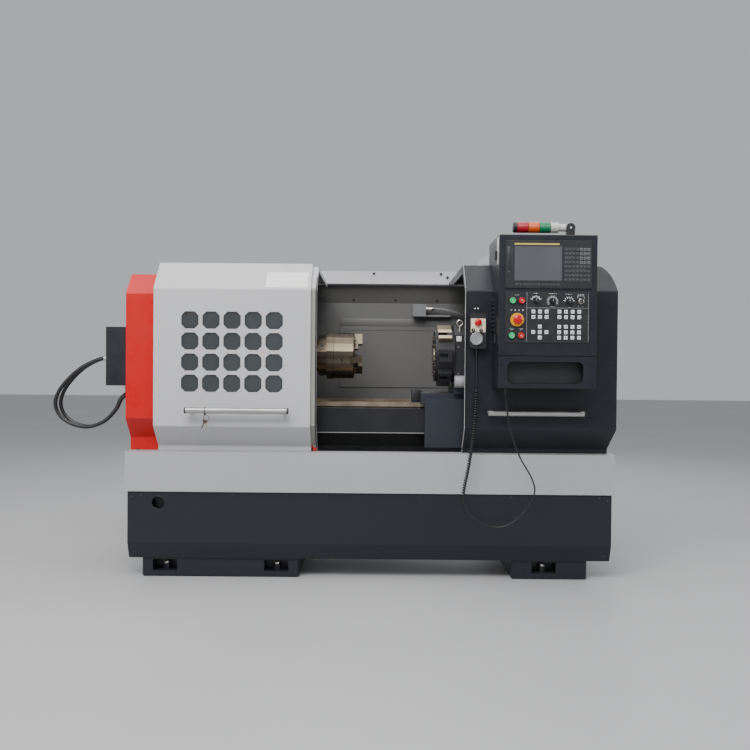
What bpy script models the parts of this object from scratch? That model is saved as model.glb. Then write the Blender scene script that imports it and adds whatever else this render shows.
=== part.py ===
"""A CNC turning lathe: flat bed, hydraulic chuck, turret, tailstock and two sliding doors.

+X runs along the spindle towards the tailstock, +Y to the back, +Z up.
The origin is the middle of the footprint, on the floor.
Lengths along X are counted from the left end of the chip tray.
"""
import math

import bmesh
import bpy
from mathutils import Matrix, Vector

# Clearances and sheet
GAP = 0.0003
RUN = 0.0003
SHEET = 0.003

# Chip tray
TRAY_LENGTH = 2.35
TRAY_FRONT_Y = -0.54
TRAY_DEPTH = 0.99
TRAY_BOTTOM = 0.42
TRAY_HEIGHT = 0.192
TRAY_SHEET = 0.004
TRAY_RIM = 0.09

# Pedestals, (start, length) along the tray
LEFT_PEDESTAL = (0.073, 0.76)
RIGHT_PEDESTAL = (1.867, 0.366)
PEDESTAL_FRONT_Y = -0.49
PEDESTAL_DEPTH = 0.84
PEDESTAL_WALL = 0.02
PEDESTAL_EDGE = 0.006
POCKET_SIZE = (0.118, 0.07, 0.055)
POCKET_FLOOR = 0.028
POCKET_WALL = 0.015
LEFT_POCKETS = (0.124, 0.665)
RIGHT_POCKETS = (1.965,)
FOOT_BOLT_RADIUS = 0.015
FOOT_BOLT_HEIGHT = 0.03

# Skirt below the front of the tray
SKIRT_INSET = 0.013
SKIRT_FRONT_Y = -0.53
SKIRT_FOLD_Z = 0.172
SKIRT_BOTTOM = 0.095
SKIRT_SLANT = 0.03
SKIRT_FLANGE = 0.02
SKIRT_LIP = 0.007
SKIRT_HOLE_RADIUS = 0.031
SKIRT_HOLE = (0.159, 0.366)

# Bed
BED_START = 0.115
BED_LENGTH = 2.17
BED_FRONT_Y = -0.27
BED_WIDTH = 0.40
WAY_WIDTH = 0.08
WAY_THICKNESS = 0.022
WAY_OVERHANG = 0.01
WAY_TOP = 0.845
BED_UNDERSIDE = 0.62
BED_WEB_COUNT = 4
BED_WINDOW_START = 0.93
BED_WINDOW_LENGTH = 0.27
BED_WEB = 0.045

# Feed screw along the front of the bed
SCREW_Y = -0.312
SCREW_Z = 0.752
SCREW_RADIUS = 0.016
SCREW_START = 0.90
SCREW_LENGTH = 1.31
SCREW_SHANK_RADIUS = 0.011
SCREW_SHANK = 0.03
SCREW_LEAD = 0.010
COVER_FRONT_Y = -0.362
COVER_BOTTOM = 0.695
COVER_TOP = 0.8145
COVER_LIP = 0.008

# Spindle line
SPINDLE_Y = -0.07
CENTRE_HEIGHT = 0.238
SPINDLE_BORE = 0.026
SPINDLE_NOSE_RADIUS = 0.085
SPINDLE_NOSE = 0.018
SPINDLE_BODY_RADIUS = 0.055
SPINDLE_REAR_RADIUS = 0.042
HEADSTOCK_START = 0.155
HEADSTOCK_LENGTH = 0.71
HEADSTOCK_WIDTH = 0.38
HEADSTOCK_OVER_AXIS = 0.197
HEADSTOCK_BOSS_RADIUS = 0.105
HEADSTOCK_BOSS = 0.012
HEADSTOCK_CHAMFER = 0.04

# Chuck
ADAPTER_RADIUS = 0.107
ADAPTER_LENGTH = 0.046
CHUCK_BASE_RADIUS = 0.125
CHUCK_BASE_LENGTH = 0.039
CHUCK_RADIUS = 0.122
CHUCK_LENGTH = 0.105
CHUCK_GROOVE = 0.004
JAW_WIDTH = 0.03
JAW_INNER = 0.034
JAW_OUTER = 0.118
JAW_PROUD = 0.041
JAW_ROOT = 0.018
JAW_ROOT_WIDTH = 0.038
JAW_STROKE = 0.006
JAW_FIRST_ANGLE = 72.0
JAW_COUNT = 3

# Belt drive and motor
PULLEY_START = 0.036
PULLEY_WIDTH = 0.06
PULLEY_RIM = 0.004
SPINDLE_PULLEY_RADIUS = 0.10
MOTOR_PULLEY_RADIUS = 0.0625
BELT_THICKNESS = 0.006
MOTOR_Y = 0.27
MOTOR_Z = 0.75
MOTOR_RADIUS = 0.115
MOTOR_LENGTH = 0.36
MOTOR_SHAFT_RADIUS = 0.02
MOTOR_STAND = (0.05, 0.20, 0.16)

# Rotary cylinder behind the spindle, and its guard
CYLINDER_RADIUS = 0.085
CYLINDER_LENGTH = 0.075
DISTRIBUTOR_RADIUS = 0.05
DISTRIBUTOR_LENGTH = 0.04
SPINDLE_REAR = -0.068
GUARD_REACH = 0.202
GUARD_FRONT_Y = -0.20
GUARD_DEPTH = 0.26
GUARD_BOTTOM = 0.916
GUARD_HEIGHT = 0.305
GUARD_SHEET = 0.002
HOSE_RADIUS = 0.010
HOSE_EXIT_Z = 1.058
HOSES = {
    "clamp_hose": (-0.117, -0.102, 1.045),
    "release_hose": (-0.083, -0.124, 0.955),
}
HOSE_LOOP_MIDDLE = -0.31
GLAND_LENGTH = 0.018
GLAND_RADIUS = 0.014

# Left end cover
END_COVER_START = 0.005
END_COVER_WIDTH = 0.135
END_COVER_FACE_Y = -0.545
END_COVER_HOLE_RADIUS = 0.06
END_COVER_LIP = 0.063
END_COVER_LOWER_SLOPE = (0.085, 0.095)
END_COVER_FACE = 0.60
END_COVER_UPPER_SLOPE = (0.095, 0.098)
END_COVER_REAR_Y = 0.43
END_COVER_REAR_SLOPE = 0.06

# Doors, outer face
DOOR_FACE_Y = -0.57
DOOR_LIP = 0.023
DOOR_LOWER_SLOPE = (0.10, 0.102)
DOOR_FACE = 0.656
DOOR_UPPER_SLOPE = (0.12, 0.134)
ROOF_DROP = 0.013
ROOF_REAR_Y = 0.36
ROOF_SEAT = 0.06
DOOR_FOLD_RADIUS = 0.016
DOOR_FLANGE = 0.04
LEFT_DOOR = (0.143, 0.745)
EDGE_STRIP = 0.028
EDGE_STEP = 0.015
EDGE_FLANGE = 0.02
RIGHT_DOOR = (1.622, 0.723)
RIGHT_CORNER = 0.067
RIGHT_LOWER_TAPER = 0.016

# Door window
WINDOW_COLUMNS = 5
WINDOW_ROWS = 4
WINDOW_SIZE = 0.082
WINDOW_PITCH = 0.10
WINDOW_CHAMFER = 0.019
WINDOW_LEFT = 0.132
WINDOW_TOP = 1.283
PANE_MARGIN = 0.018
PANE_THICKNESS = 0.006

# Door handles, (start, length)
HANDLE_RADIUS = 0.014
HANDLE_STAND = 0.05
HANDLE_POST_RADIUS = 0.011
HANDLE_POST_INSET = 0.025
LEFT_HANDLE = (0.16, 0.487)
RIGHT_HANDLE = (0.099, 0.464)
HANDLE_Z = 0.815

# Rear splash guard and beam
REAR_WALL_Y = 0.437
REAR_WALL_TOP_Y = 0.38
REAR_SLANT_Z = 1.40
REAR_FLANGE = 0.025
REAR_START = 0.141
END_WALL_X = 2.30
END_WALL_INSET = 0.055
PANEL_START = 0.985
PANEL_LENGTH = 1.05
PANEL_BOTTOM = 0.90
PANEL_TOP = 1.264
PANEL_PROUD = 0.005
PANEL_STEP = 0.025
BEAM_FRONT_Y = 0.373
BEAM_DEPTH = 0.077
BEAM_BOTTOM = 1.503
BEAM_HEIGHT = 0.08
BEAM_LEDGE = 0.033
BEAM_LEDGE_THICKNESS = 0.006

# Work light on the rear wall
LIGHT_START = 1.414
LIGHT_SIZE = (0.078, 0.055, 0.073)
LIGHT_BOTTOM = 1.319
LIGHT_STAND = 0.02
LIGHT_BAR = 0.145
LIGHT_BAR_HEIGHT = 0.012
CONDUIT_RADIUS = 0.011
CONDUIT_ROUTE = ((0.05, 0.0), (0.10, -0.004), (0.15, -0.014), (0.20, -0.029))
CONDUIT_END = (0.25, 0.010, -0.042)
CONDUIT_TAIL = 0.003

# Carriage
SADDLE_START = 1.426
SADDLE_LENGTH = 0.42
SADDLE_HEIGHT = 0.052
SADDLE_FRONT_Y = -0.40
SADDLE_REAR_Y = 0.16
WIPER_LENGTH = 0.04
WIPER_WIDTH = 0.07
APRON_FRONT_Y = -0.42
APRON_BACK_Y = -0.376
APRON_INSET = 0.018
APRON_BOTTOM = 0.63
KEEPER_THICKNESS = 0.012
NUT_SIZE = (0.09, 0.056, 0.056)
NUT_ARM = 0.036
NUT_INSET = 0.16
X_SERVO = (0.10, 0.15, 0.09)

# Cross slide and turret
CROSS_SLIDE_INSET = 0.159
CROSS_SLIDE_LENGTH = 0.235
CROSS_SLIDE_FRONT_Y = -0.44
CROSS_SLIDE_DEPTH = 0.34
CROSS_SLIDE_HEIGHT = 0.028
DOVETAIL_WIDTH = 0.10
DOVETAIL_FLARE = 0.02
DOVETAIL_HEIGHT = 0.016
TURRET_Y = -0.33
TURRET_RADIUS = 0.128
TURRET_OVER_TOOLS = 0.152
TURRET_THICKNESS = 0.092
TURRET_STATIONS = 8
TURRET_SHAFT_RADIUS = 0.04
TURRET_SHAFT = 0.03
TOOL_BLOCK_WIDTH = 0.06
TOOL_BLOCK_INSET = 0.014
HOUSING_DEPTH = 0.20
HOUSING_LENGTH = 0.215
HOUSING_OVER_AXIS = 0.152
HOUSING_CHAMFER = 0.05
EYEBOLT_RADIUS = 0.016
EYEBOLT_WIRE = 0.005
TURRET_MOTOR_RADIUS = 0.029
TURRET_MOTOR_LENGTH = 0.19
TURRET_MOTOR_Z = 0.957
TURRET_MOTOR_Y = -0.4603

# Tailstock
TAILSTOCK_START = 2.0
TAILSTOCK_LENGTH = 0.21
TAILSTOCK_WIDTH = 0.26
TAILSTOCK_BARREL_RADIUS = 0.075
QUILL_RADIUS = 0.038
QUILL_PROUD = 0.04
QUILL_SHORT = 0.012
CENTER_RADIUS = 0.032
CENTER_SHANK_RADIUS = 0.012
CENTER_SHANK = 0.05
CENTER_LENGTH = 0.075
QUILL_STROKE = 0.12

# Electrical cabinet at the back
CABINET_START = 0.305
CABINET_LENGTH = 1.10
CABINET_BOTTOM = 0.50
CABINET_HEIGHT = 0.95
CABINET_DEPTH = 0.32
CABINET_SHEET = 0.002
CABINET_DOOR_DEPTH = 0.018
CABINET_LATCH = 0.0114
CABINET_PLATE = 0.03
CABINET_MARGIN = 0.05
CABINET_ROWS = ((0.62, 0.17, 3), (0.30, 0.09, 4), (0.06, 0.06, 5))
CABINET_ROW_HEIGHT = 0.17

# Control cabinet on the right door
CONTROL_START = 0.1295
CONTROL_WIDTH = 0.4425
CONTROL_FACE_Y = -0.765
CONTROL_BOTTOM = 0.937
CONTROL_LOWER = 0.145
PANEL_MARGINS = (0.061, 0.013, 0.027)
CONTROL_REAR_Y = -0.43
CONTROL_SHEET = 0.002
PANEL_DOOR_DEPTH = 0.073
PANEL_DOOR_EDGE = 0.003
DUCT_WIDTH = 0.20
DUCT_REAR_Y = -0.12
DUCT_DROP = 0.045
SHELF_INSET = 0.0355
SHELF_SIZE = (0.353, 0.107)
SHELF_FLOOR = 0.954
SHELF_DEPTH = 0.055
SHELF_CORNER = 0.03
HINGE_RADIUS = 0.005
HINGE_LENGTH = 0.04
HINGE_HEIGHTS = (0.06, 0.44)
CORD_GLAND = (0.047, -0.68)
CORD_GLAND_RADIUS = 0.009
CORD_GLAND_LENGTH = 0.016

# Display unit and operator panel, (from the left of the control cabinet, width, height)
DISPLAY = (0.0265, 0.391, 0.216)
DISPLAY_EDGE = 0.0015
DISPLAY_BEZEL = 0.005
DISPLAY_BODY_INSET = 0.014
DISPLAY_BODY_DEPTH = 0.05
SCREEN = (0.041, 0.035, 0.214, 0.156)
SCREEN_RECESS = 0.0015
OPERATOR = (0.0285, 0.38, 0.231)
OPERATOR_THICKNESS = 0.003
OPERATOR_CUTOUT_INSET = 0.012

# Keys, (column start, row start, columns, rows) in metres from the operator panel's corner
KEY_SIZE = 0.018
KEY_HEIGHT = 0.002
KEY_PITCH = (0.0298, 0.0245)
KEY_FIELDS = (
    (0.1175, 0.107, 3, 2),
    (0.2345, 0.107, 4, 2),
    (0.2345, 0.0145, 4, 3),
)
KEY_CROSS = (0.1473, 0.039)

# Push buttons, (right of the control cabinet's left side, above the operator panel's bottom)
BUTTON_RADIUS = 0.014
BUTTON_LENGTH = 0.024
BUTTON_PROUD = 0.010
BUTTON_RING_RADIUS = 0.0175
BUTTON_RING = 0.004
BUTTONS = {
    "power_on_button": (0.0615, 0.189),
    "power_off_button": (0.1025, 0.189),
    "cycle_start_button": (0.0585, 0.032),
    "feed_hold_button": (0.1005, 0.032),
}
ESTOP = (0.0825, 0.103)
ESTOP_PROUD = 0.0317
ESTOP_RADIUS = 0.02
ESTOP_STEM_RADIUS = 0.011
ESTOP_PLATE_RADIUS = 0.030
ESTOP_PLATE = 0.0025
DIALS = {
    "spindle_override_dial": (0.1665, 0.188),
    "feed_override_dial": (0.2415, 0.187),
    "mode_dial": (0.3155, 0.185),
}
DIAL_RADIUS = 0.0115
DIAL_HEIGHT = 0.018
DIAL_STEM_RADIUS = 0.005
DIAL_STEM = 0.02
DIAL_GAP = 0.0006
KEY_SWITCH = (0.3685, 0.187)
KEY_BARREL_RADIUS = 0.009
KEY_BARREL_HEIGHT = 0.008
KEY_BLADE = (0.003, 0.016, 0.014)

# Hand pendant on the right door
PENDANT_START = 0.017
PENDANT_SIZE = (0.077, 0.048, 0.166)
PENDANT_BOTTOM = 1.117
PENDANT_ROUND = 0.012
PENDANT_STOP = (0.037, 0.122)
PENDANT_STOP_RADIUS = 0.016
PENDANT_STEM_RADIUS = 0.007
PENDANT_WHEEL = (0.031, 0.046)
PENDANT_WHEEL_RADIUS = 0.029
PENDANT_WHEEL_HEIGHT = 0.012
PENDANT_KNOBS = ((0.015, 0.086), (0.052, 0.0855))
PENDANT_KNOB_RADIUS = 0.007
PENDANT_CORD_X = 0.036
PENDANT_BOOT = 0.024
PENDANT_BOOT_RADII = (0.009, 0.006)

# Pendant cord, (right of the right door's left end, y, z)
CORD_RADIUS = 0.0035
CURL_RADIUS = 0.0095
LEAD_LENGTH = 0.16
CURL_LENGTH = 0.525
CORD_ROUTE = (
    (0.053, -0.5943, 1.0),
    (0.050, -0.597, 0.86),
    (0.042, -0.60, 0.7335),
    (0.020, -0.60, 0.565),
    (-0.0045, -0.60, 0.425),
    (0.001, -0.601, 0.375),
    (0.028, -0.603, 0.33),
    (0.087, -0.607, 0.293),
    (0.162, -0.611, 0.276),
    (0.220, -0.616, 0.296),
    (0.296, -0.624, 0.372),
    (0.327, -0.631, 0.447),
    (0.314, -0.638, 0.505),
    (0.250, -0.650, 0.617),
    (0.207, -0.658, 0.733),
    (0.188, -0.667, 0.83),
    (0.1785, -0.677, 0.88),
)

# Signal lamp, folded down on top of the control cabinet
LAMP_HINGE_X = 0.3395
LAMP_Y = -0.67
LAMP_OVER_TOP = 0.046
LAMP_RADIUS = 0.0245
LAMP_HINGE_RADIUS = 0.021
LAMP_ARM_WIDTH = 0.014
LAMP_EAR = 0.006
LAMP_PIN_RADIUS = 0.005
LAMP_STEM_RADIUS = 0.017
LAMP_STEM = 0.035
LAMP_BASE = 0.037
LENS_LENGTH = 0.0515
LENS_GROOVE = 0.0015
LENS_COUNT = 3
LAMP_CAP = 0.018
LAMP_SPIGOT_RADIUS = 0.018
LAMP_SPIGOT = 0.012

# Places that follow from the sizes above
TRAY_LEFT = GUARD_REACH - (TRAY_LENGTH + GUARD_REACH) / 2
TRAY_TOP = TRAY_BOTTOM + TRAY_HEIGHT
TRAY_REAR_Y = TRAY_FRONT_Y + TRAY_DEPTH
SPINDLE_Z = WAY_TOP + CENTRE_HEIGHT
BED_REAR_Y = BED_FRONT_Y + BED_WIDTH
HEADSTOCK_END = HEADSTOCK_START + HEADSTOCK_LENGTH + HEADSTOCK_BOSS
CHUCK_START = HEADSTOCK_END + GAP + SPINDLE_NOSE + GAP
CHUCK_FACE = CHUCK_START + ADAPTER_LENGTH + CHUCK_BASE_LENGTH + CHUCK_LENGTH
SADDLE_TOP = WAY_TOP + SADDLE_HEIGHT
CROSS_START = SADDLE_START + CROSS_SLIDE_INSET
CROSS_TOP = SADDLE_TOP + GAP + CROSS_SLIDE_HEIGHT
LEFT_DOOR_X = LEFT_DOOR[0]
RIGHT_DOOR_X = RIGHT_DOOR[0]
DOOR_BOTTOM = TRAY_TOP + GAP
LOWER_FOLD_Z = TRAY_TOP + DOOR_LIP + DOOR_LOWER_SLOPE[1]
UPPER_FOLD_Z = LOWER_FOLD_Z + DOOR_FACE
DOOR_TOP = UPPER_FOLD_Z + DOOR_UPPER_SLOPE[1]
ROOF_FRONT_Y = DOOR_FACE_Y + DOOR_UPPER_SLOPE[0]
CONTROL_X = RIGHT_DOOR_X + CONTROL_START
PANEL_DOOR_REAR_Y = CONTROL_FACE_Y + PANEL_DOOR_DEPTH
PANEL_FRONT_Y = CONTROL_FACE_Y - GAP - OPERATOR_THICKNESS
PENDANT_X = RIGHT_DOOR_X + PENDANT_START
PENDANT_BACK_Y = DOOR_FACE_Y - GAP
PENDANT_FACE_Y = PENDANT_BACK_Y - PENDANT_SIZE[1]
CONTROL_SEAM = CONTROL_BOTTOM + CONTROL_LOWER
OPERATOR_BOTTOM = CONTROL_SEAM + PANEL_MARGINS[0]
DISPLAY_BOTTOM = OPERATOR_BOTTOM + OPERATOR[2] + PANEL_MARGINS[1]
CONTROL_TOP = DISPLAY_BOTTOM + DISPLAY[2] + PANEL_MARGINS[2]
DUCT_TOP = CONTROL_TOP - DUCT_DROP
LAMP_Z = CONTROL_TOP + LAMP_OVER_TOP

# Finishes: colour, roughness, metallic
FINISHES = {
    "charcoal": ((0.027, 0.030, 0.042), 0.45, 0.0),
    "light_grey": ((0.48, 0.48, 0.50), 0.45, 0.0),
    "red": ((0.62, 0.035, 0.03), 0.40, 0.0),
    "dark_grey": ((0.045, 0.045, 0.05), 0.50, 0.0),
    "cast": ((0.10, 0.11, 0.13), 0.60, 0.0),
    "steel": ((0.55, 0.54, 0.52), 0.30, 1.0),
    "dark_steel": ((0.10, 0.10, 0.10), 0.35, 1.0),
    "aluminium": ((0.60, 0.60, 0.62), 0.35, 1.0),
    "black": ((0.015, 0.015, 0.017), 0.50, 0.0),
    "rubber": ((0.02, 0.02, 0.02), 0.70, 0.0),
    "glass": ((0.10, 0.11, 0.12), 0.10, 0.0),
    "green": ((0.02, 0.35, 0.12), 0.35, 0.0),
    "button_red": ((0.60, 0.03, 0.03), 0.35, 0.0),
    "white": ((0.75, 0.75, 0.73), 0.40, 0.0),
    "lens": ((0.70, 0.15, 0.03), 0.20, 0.0),
}

FINE = 36
ROUND = 24
SMALL = 16
TINY = 12
SMOOTH_ANGLE = math.radians(35)


def along(distance):
    """World X of a place counted from the left end of the tray."""
    return TRAY_LEFT + distance


# Scene

def clear_scene():
    """Remove every object of the start scene."""
    for item in list(bpy.data.objects):
        bpy.data.objects.remove(item, do_unlink=True)


def collection(name):
    """New collection in the scene."""
    group = bpy.data.collections.new(name)
    bpy.context.scene.collection.children.link(group)
    return group


def finish_material(name):
    """Material of a finish, made once."""
    found = bpy.data.materials.get(name)
    if found:
        return found
    colour, roughness, metallic = FINISHES[name]
    made = bpy.data.materials.new(name)
    made.use_nodes = True
    shader = made.node_tree.nodes["Principled BSDF"]
    shader.inputs["Base Color"].default_value = (*colour, 1.0)
    shader.inputs["Roughness"].default_value = roughness
    shader.inputs["Metallic"].default_value = metallic
    made.diffuse_color = (*colour, 1.0)
    return made


# Shapes, as meshes in world coordinates

def mesh_of(bm, name):
    """Mesh with its faces pointing out, from a bmesh."""
    bmesh.ops.recalc_face_normals(bm, faces=bm.faces)
    mesh = bpy.data.meshes.new(name)
    bm.to_mesh(mesh)
    bm.free()
    return mesh


def axis_matrix(axis):
    """Rotation that lays local Z along a world axis."""
    if axis == "X":
        return Matrix.Rotation(math.pi / 2, 4, "Y")
    if axis == "Y":
        return Matrix.Rotation(-math.pi / 2, 4, "X")
    return Matrix.Identity(4)


def block(low, high):
    """Box between two corners."""
    bm = bmesh.new()
    bmesh.ops.create_cube(bm, size=1.0)
    size = [b - a for a, b in zip(low, high)]
    middle = [(a + b) / 2 for a, b in zip(low, high)]
    bmesh.ops.scale(bm, vec=size, verts=bm.verts)
    bmesh.ops.translate(bm, vec=middle, verts=bm.verts)
    return mesh_of(bm, "block")


def rod(axis, start, end, centre, radius, sides=ROUND, end_radius=None):
    """Cylinder or cone along an axis; centre gives the other two coordinates."""
    bm = bmesh.new()
    far = radius if end_radius is None else end_radius
    bmesh.ops.create_cone(
        bm, cap_ends=True, segments=sides, radius1=radius, radius2=far, depth=end - start
    )
    place = placed(axis, (start + end) / 2, centre)
    bmesh.ops.transform(bm, matrix=place, verts=bm.verts)
    return mesh_of(bm, "rod")


def placed(axis, position, centre):
    """Matrix that puts a shape made along local Z on an axis at a position."""
    a, b = centre
    spots = {"X": (position, a, b), "Y": (a, position, b), "Z": (a, b, position)}
    return Matrix.Translation(spots[axis]) @ axis_matrix(axis)


def turned(axis, centre, profile, sides=ROUND):
    """Turned shape: (position, radius) points along an axis, by a Screw modifier.

    A profile that starts and ends on the axis is solid; any other is closed into a ring.
    """
    bm = bmesh.new()
    verts = [bm.verts.new((radius, 0.0, position)) for position, radius in profile]
    for first, second in zip(verts, verts[1:]):
        bm.edges.new((first, second))
    if profile[0][1] > 0 or profile[-1][1] > 0:
        bm.edges.new((verts[-1], verts[0]))
    mesh = bpy.data.meshes.new("profile")
    bm.to_mesh(mesh)
    bm.free()
    shape = bpy.data.objects.new("profile", mesh)
    bpy.context.scene.collection.objects.link(shape)
    screw = shape.modifiers.new("turn", "SCREW")
    screw.steps = sides
    screw.render_steps = sides
    screw.use_merge_vertices = True
    screw.merge_threshold = 0.00001
    made = evaluated_mesh(shape)
    bpy.data.objects.remove(shape)
    return moved(made, placed(axis, 0.0, centre))


def evaluated_mesh(shape):
    """Mesh of an object with its modifiers applied, welded."""
    bpy.context.view_layer.update()
    graph = bpy.context.evaluated_depsgraph_get()
    mesh = bpy.data.meshes.new_from_object(shape.evaluated_get(graph))
    bm = bmesh.new()
    bm.from_mesh(mesh)
    bmesh.ops.remove_doubles(bm, verts=bm.verts, dist=0.00001)
    return mesh_of(bm, "evaluated")


def moved(mesh, matrix):
    """The same mesh, moved."""
    mesh.transform(matrix)
    return mesh


def prism(axis, low, high, outline):
    """Flat closed outline, swept along an axis.

    The outline is (y, z) for X, (x, z) for Y and (x, y) for Z.
    """
    spots = {
        "X": lambda a, b: (low, a, b),
        "Y": lambda a, b: (a, low, b),
        "Z": lambda a, b: (a, b, low),
    }
    step = {"X": (1, 0, 0), "Y": (0, 1, 0), "Z": (0, 0, 1)}[axis]
    bm = bmesh.new()
    face = bm.faces.new([bm.verts.new(spots[axis](a, b)) for a, b in outline])
    swept = bmesh.ops.extrude_face_region(bm, geom=[face])
    verts = [item for item in swept["geom"] if isinstance(item, bmesh.types.BMVert)]
    bmesh.ops.translate(bm, vec=Vector(step) * (high - low), verts=verts)
    return mesh_of(bm, "prism")


def joined(*meshes):
    """Several separate shapes as one tool."""
    bm = bmesh.new()
    for mesh in meshes:
        bm.from_mesh(mesh)
    return mesh_of(bm, "joined")


def tube(points, radius, resolution=2):
    """Round tube through points, from a curve with a bevel and filled caps."""
    curve = bpy.data.curves.new("tube", "CURVE")
    curve.dimensions = "3D"
    spline = curve.splines.new("POLY")
    spline.points.add(len(points) - 1)
    for point, spot in zip(spline.points, points):
        point.co = (*spot, 1.0)
    curve.bevel_depth = radius
    curve.bevel_resolution = resolution
    curve.use_fill_caps = True
    shape = bpy.data.objects.new("tube", curve)
    bpy.context.scene.collection.objects.link(shape)
    mesh = evaluated_mesh(shape)
    bpy.data.objects.remove(shape)
    return mesh


# Outlines

def arc(centre, radius, start, end, count):
    """Points on an arc, angles in degrees."""
    spots = []
    for i in range(count + 1):
        angle = math.radians(start + (end - start) * i / count)
        spots.append((centre[0] + radius * math.cos(angle), centre[1] + radius * math.sin(angle)))
    return spots


def filleted(points, radius, count=3):
    """Open outline with its folds rounded, and for each point the fold it belongs to."""
    rounded = [tuple(points[0])]
    folds = [0]
    for index in range(1, len(points) - 1):
        corner = Vector(points[index])
        back = (Vector(points[index - 1]) - corner).normalized()
        ahead = (Vector(points[index + 1]) - corner).normalized()
        half = back.angle(ahead) / 2
        if half > math.radians(87):
            rounded.append(tuple(corner))
            folds.append(index)
            continue
        reach = radius / math.tan(half)
        middle = corner + (back + ahead).normalized() * radius / math.sin(half)
        start = corner + back * reach - middle
        turn = (corner + ahead * reach - middle).angle_signed(start)
        for i in range(count + 1):
            rounded.append(tuple(middle + turned_by(start, turn * i / count)))
            folds.append(index)
    rounded.append(tuple(points[-1]))
    folds.append(len(points) - 1)
    return rounded, folds


def turned_by(vector, angle):
    """Flat vector turned by an angle."""
    return Vector((
        vector.x * math.cos(angle) - vector.y * math.sin(angle),
        vector.x * math.sin(angle) + vector.y * math.cos(angle),
    ))


def inset(points, distance):
    """Open outline moved to its left-hand side by a distance."""
    vectors = [Vector(point) for point in points]
    normals = []
    for first, second in zip(vectors, vectors[1:]):
        run = (second - first).normalized()
        normals.append(Vector((-run.y, run.x)))
    shifted = []
    for i, point in enumerate(vectors):
        before = normals[max(i - 1, 0)]
        after = normals[min(i, len(normals) - 1)]
        shifted.append(tuple(point + (before + after) * distance / (1 + before.dot(after))))
    return shifted


def rounded_rectangle(low, high, radius, count=3):
    """Closed rectangle outline with round corners."""
    spots = []
    corners = (
        (high[0] - radius, high[1] - radius, 0),
        (low[0] + radius, high[1] - radius, 90),
        (low[0] + radius, low[1] + radius, 180),
        (high[0] - radius, low[1] + radius, 270),
    )
    for x, z, angle in corners:
        spots += arc((x, z), radius, angle, angle + 90, count)
    return spots


def bore_radius(radius, sides):
    """Radius of a faceted bore that clears a faceted shaft as it turns."""
    return (radius + RUN) / math.cos(math.pi / sides)


# Pieces

class Piece:
    """One named sub-part; its tools are Boolean operands that follow it."""

    def __init__(self, name, mesh, finish, origin=(0, 0, 0), parent=None, smooth=False):
        self.origin = Vector(origin)
        mesh.transform(Matrix.Translation(-self.origin))
        mesh.name = name
        self.finish = finish_material(finish)
        mesh.materials.clear()
        mesh.materials.append(self.finish)
        if smooth:
            mesh.shade_smooth()
            mesh.set_sharp_from_angle(angle=SMOOTH_ANGLE)
        self.object = bpy.data.objects.new(name, mesh)
        PARTS.objects.link(self.object)
        place_under(self.object, self.origin, parent)

    def tool(self, mesh, operation):
        """Boolean step with a shape given in world coordinates."""
        mesh.transform(Matrix.Translation(-self.origin))
        mesh.materials.clear()
        mesh.materials.append(self.finish)
        count = len(self.object.modifiers)
        cutter = bpy.data.objects.new(f"{self.object.name}_tool_{count}", mesh)
        CUTTERS.objects.link(cutter)
        cutter.parent = self.object
        cutter.hide_render = True
        cutter.display_type = "WIRE"
        step = self.object.modifiers.new(operation.lower(), "BOOLEAN")
        step.operation = operation
        step.solver = "EXACT"
        step.object = cutter
        return self

    def add(self, *meshes):
        """Join shapes that reach into the piece."""
        return self.tool(joined(*meshes), "UNION")

    def cut(self, *meshes):
        """Take shapes away from the piece."""
        return self.tool(joined(*meshes), "DIFFERENCE")

    def bevel(self, width, segments=1, angle=40.0):
        """Round or chamfer the sharp edges made so far."""
        step = self.object.modifiers.new("bevel", "BEVEL")
        step.width = width
        step.segments = segments
        step.limit_method = "ANGLE"
        step.angle_limit = math.radians(angle)
        return self


def place_under(item, origin, parent):
    """Place an object by its world origin, under a parent empty when it has one."""
    if parent is None:
        item.location = origin
        return
    item.parent = parent
    item.location = Vector(origin) - world_of(parent)


def world_of(item):
    """World place of an empty whose parents are only moved, never turned."""
    spot = Vector(item.location)
    while item.parent:
        item = item.parent
        spot += Vector(item.location)
    return spot


def pivot(name, origin, parent=None):
    """Empty on a joint's axis, which carries the pieces that move on it."""
    empty = bpy.data.objects.new(name, None)
    empty.empty_display_size = 0.05
    PARTS.objects.link(empty)
    place_under(empty, Vector(origin), parent)
    return empty


# Base

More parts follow.
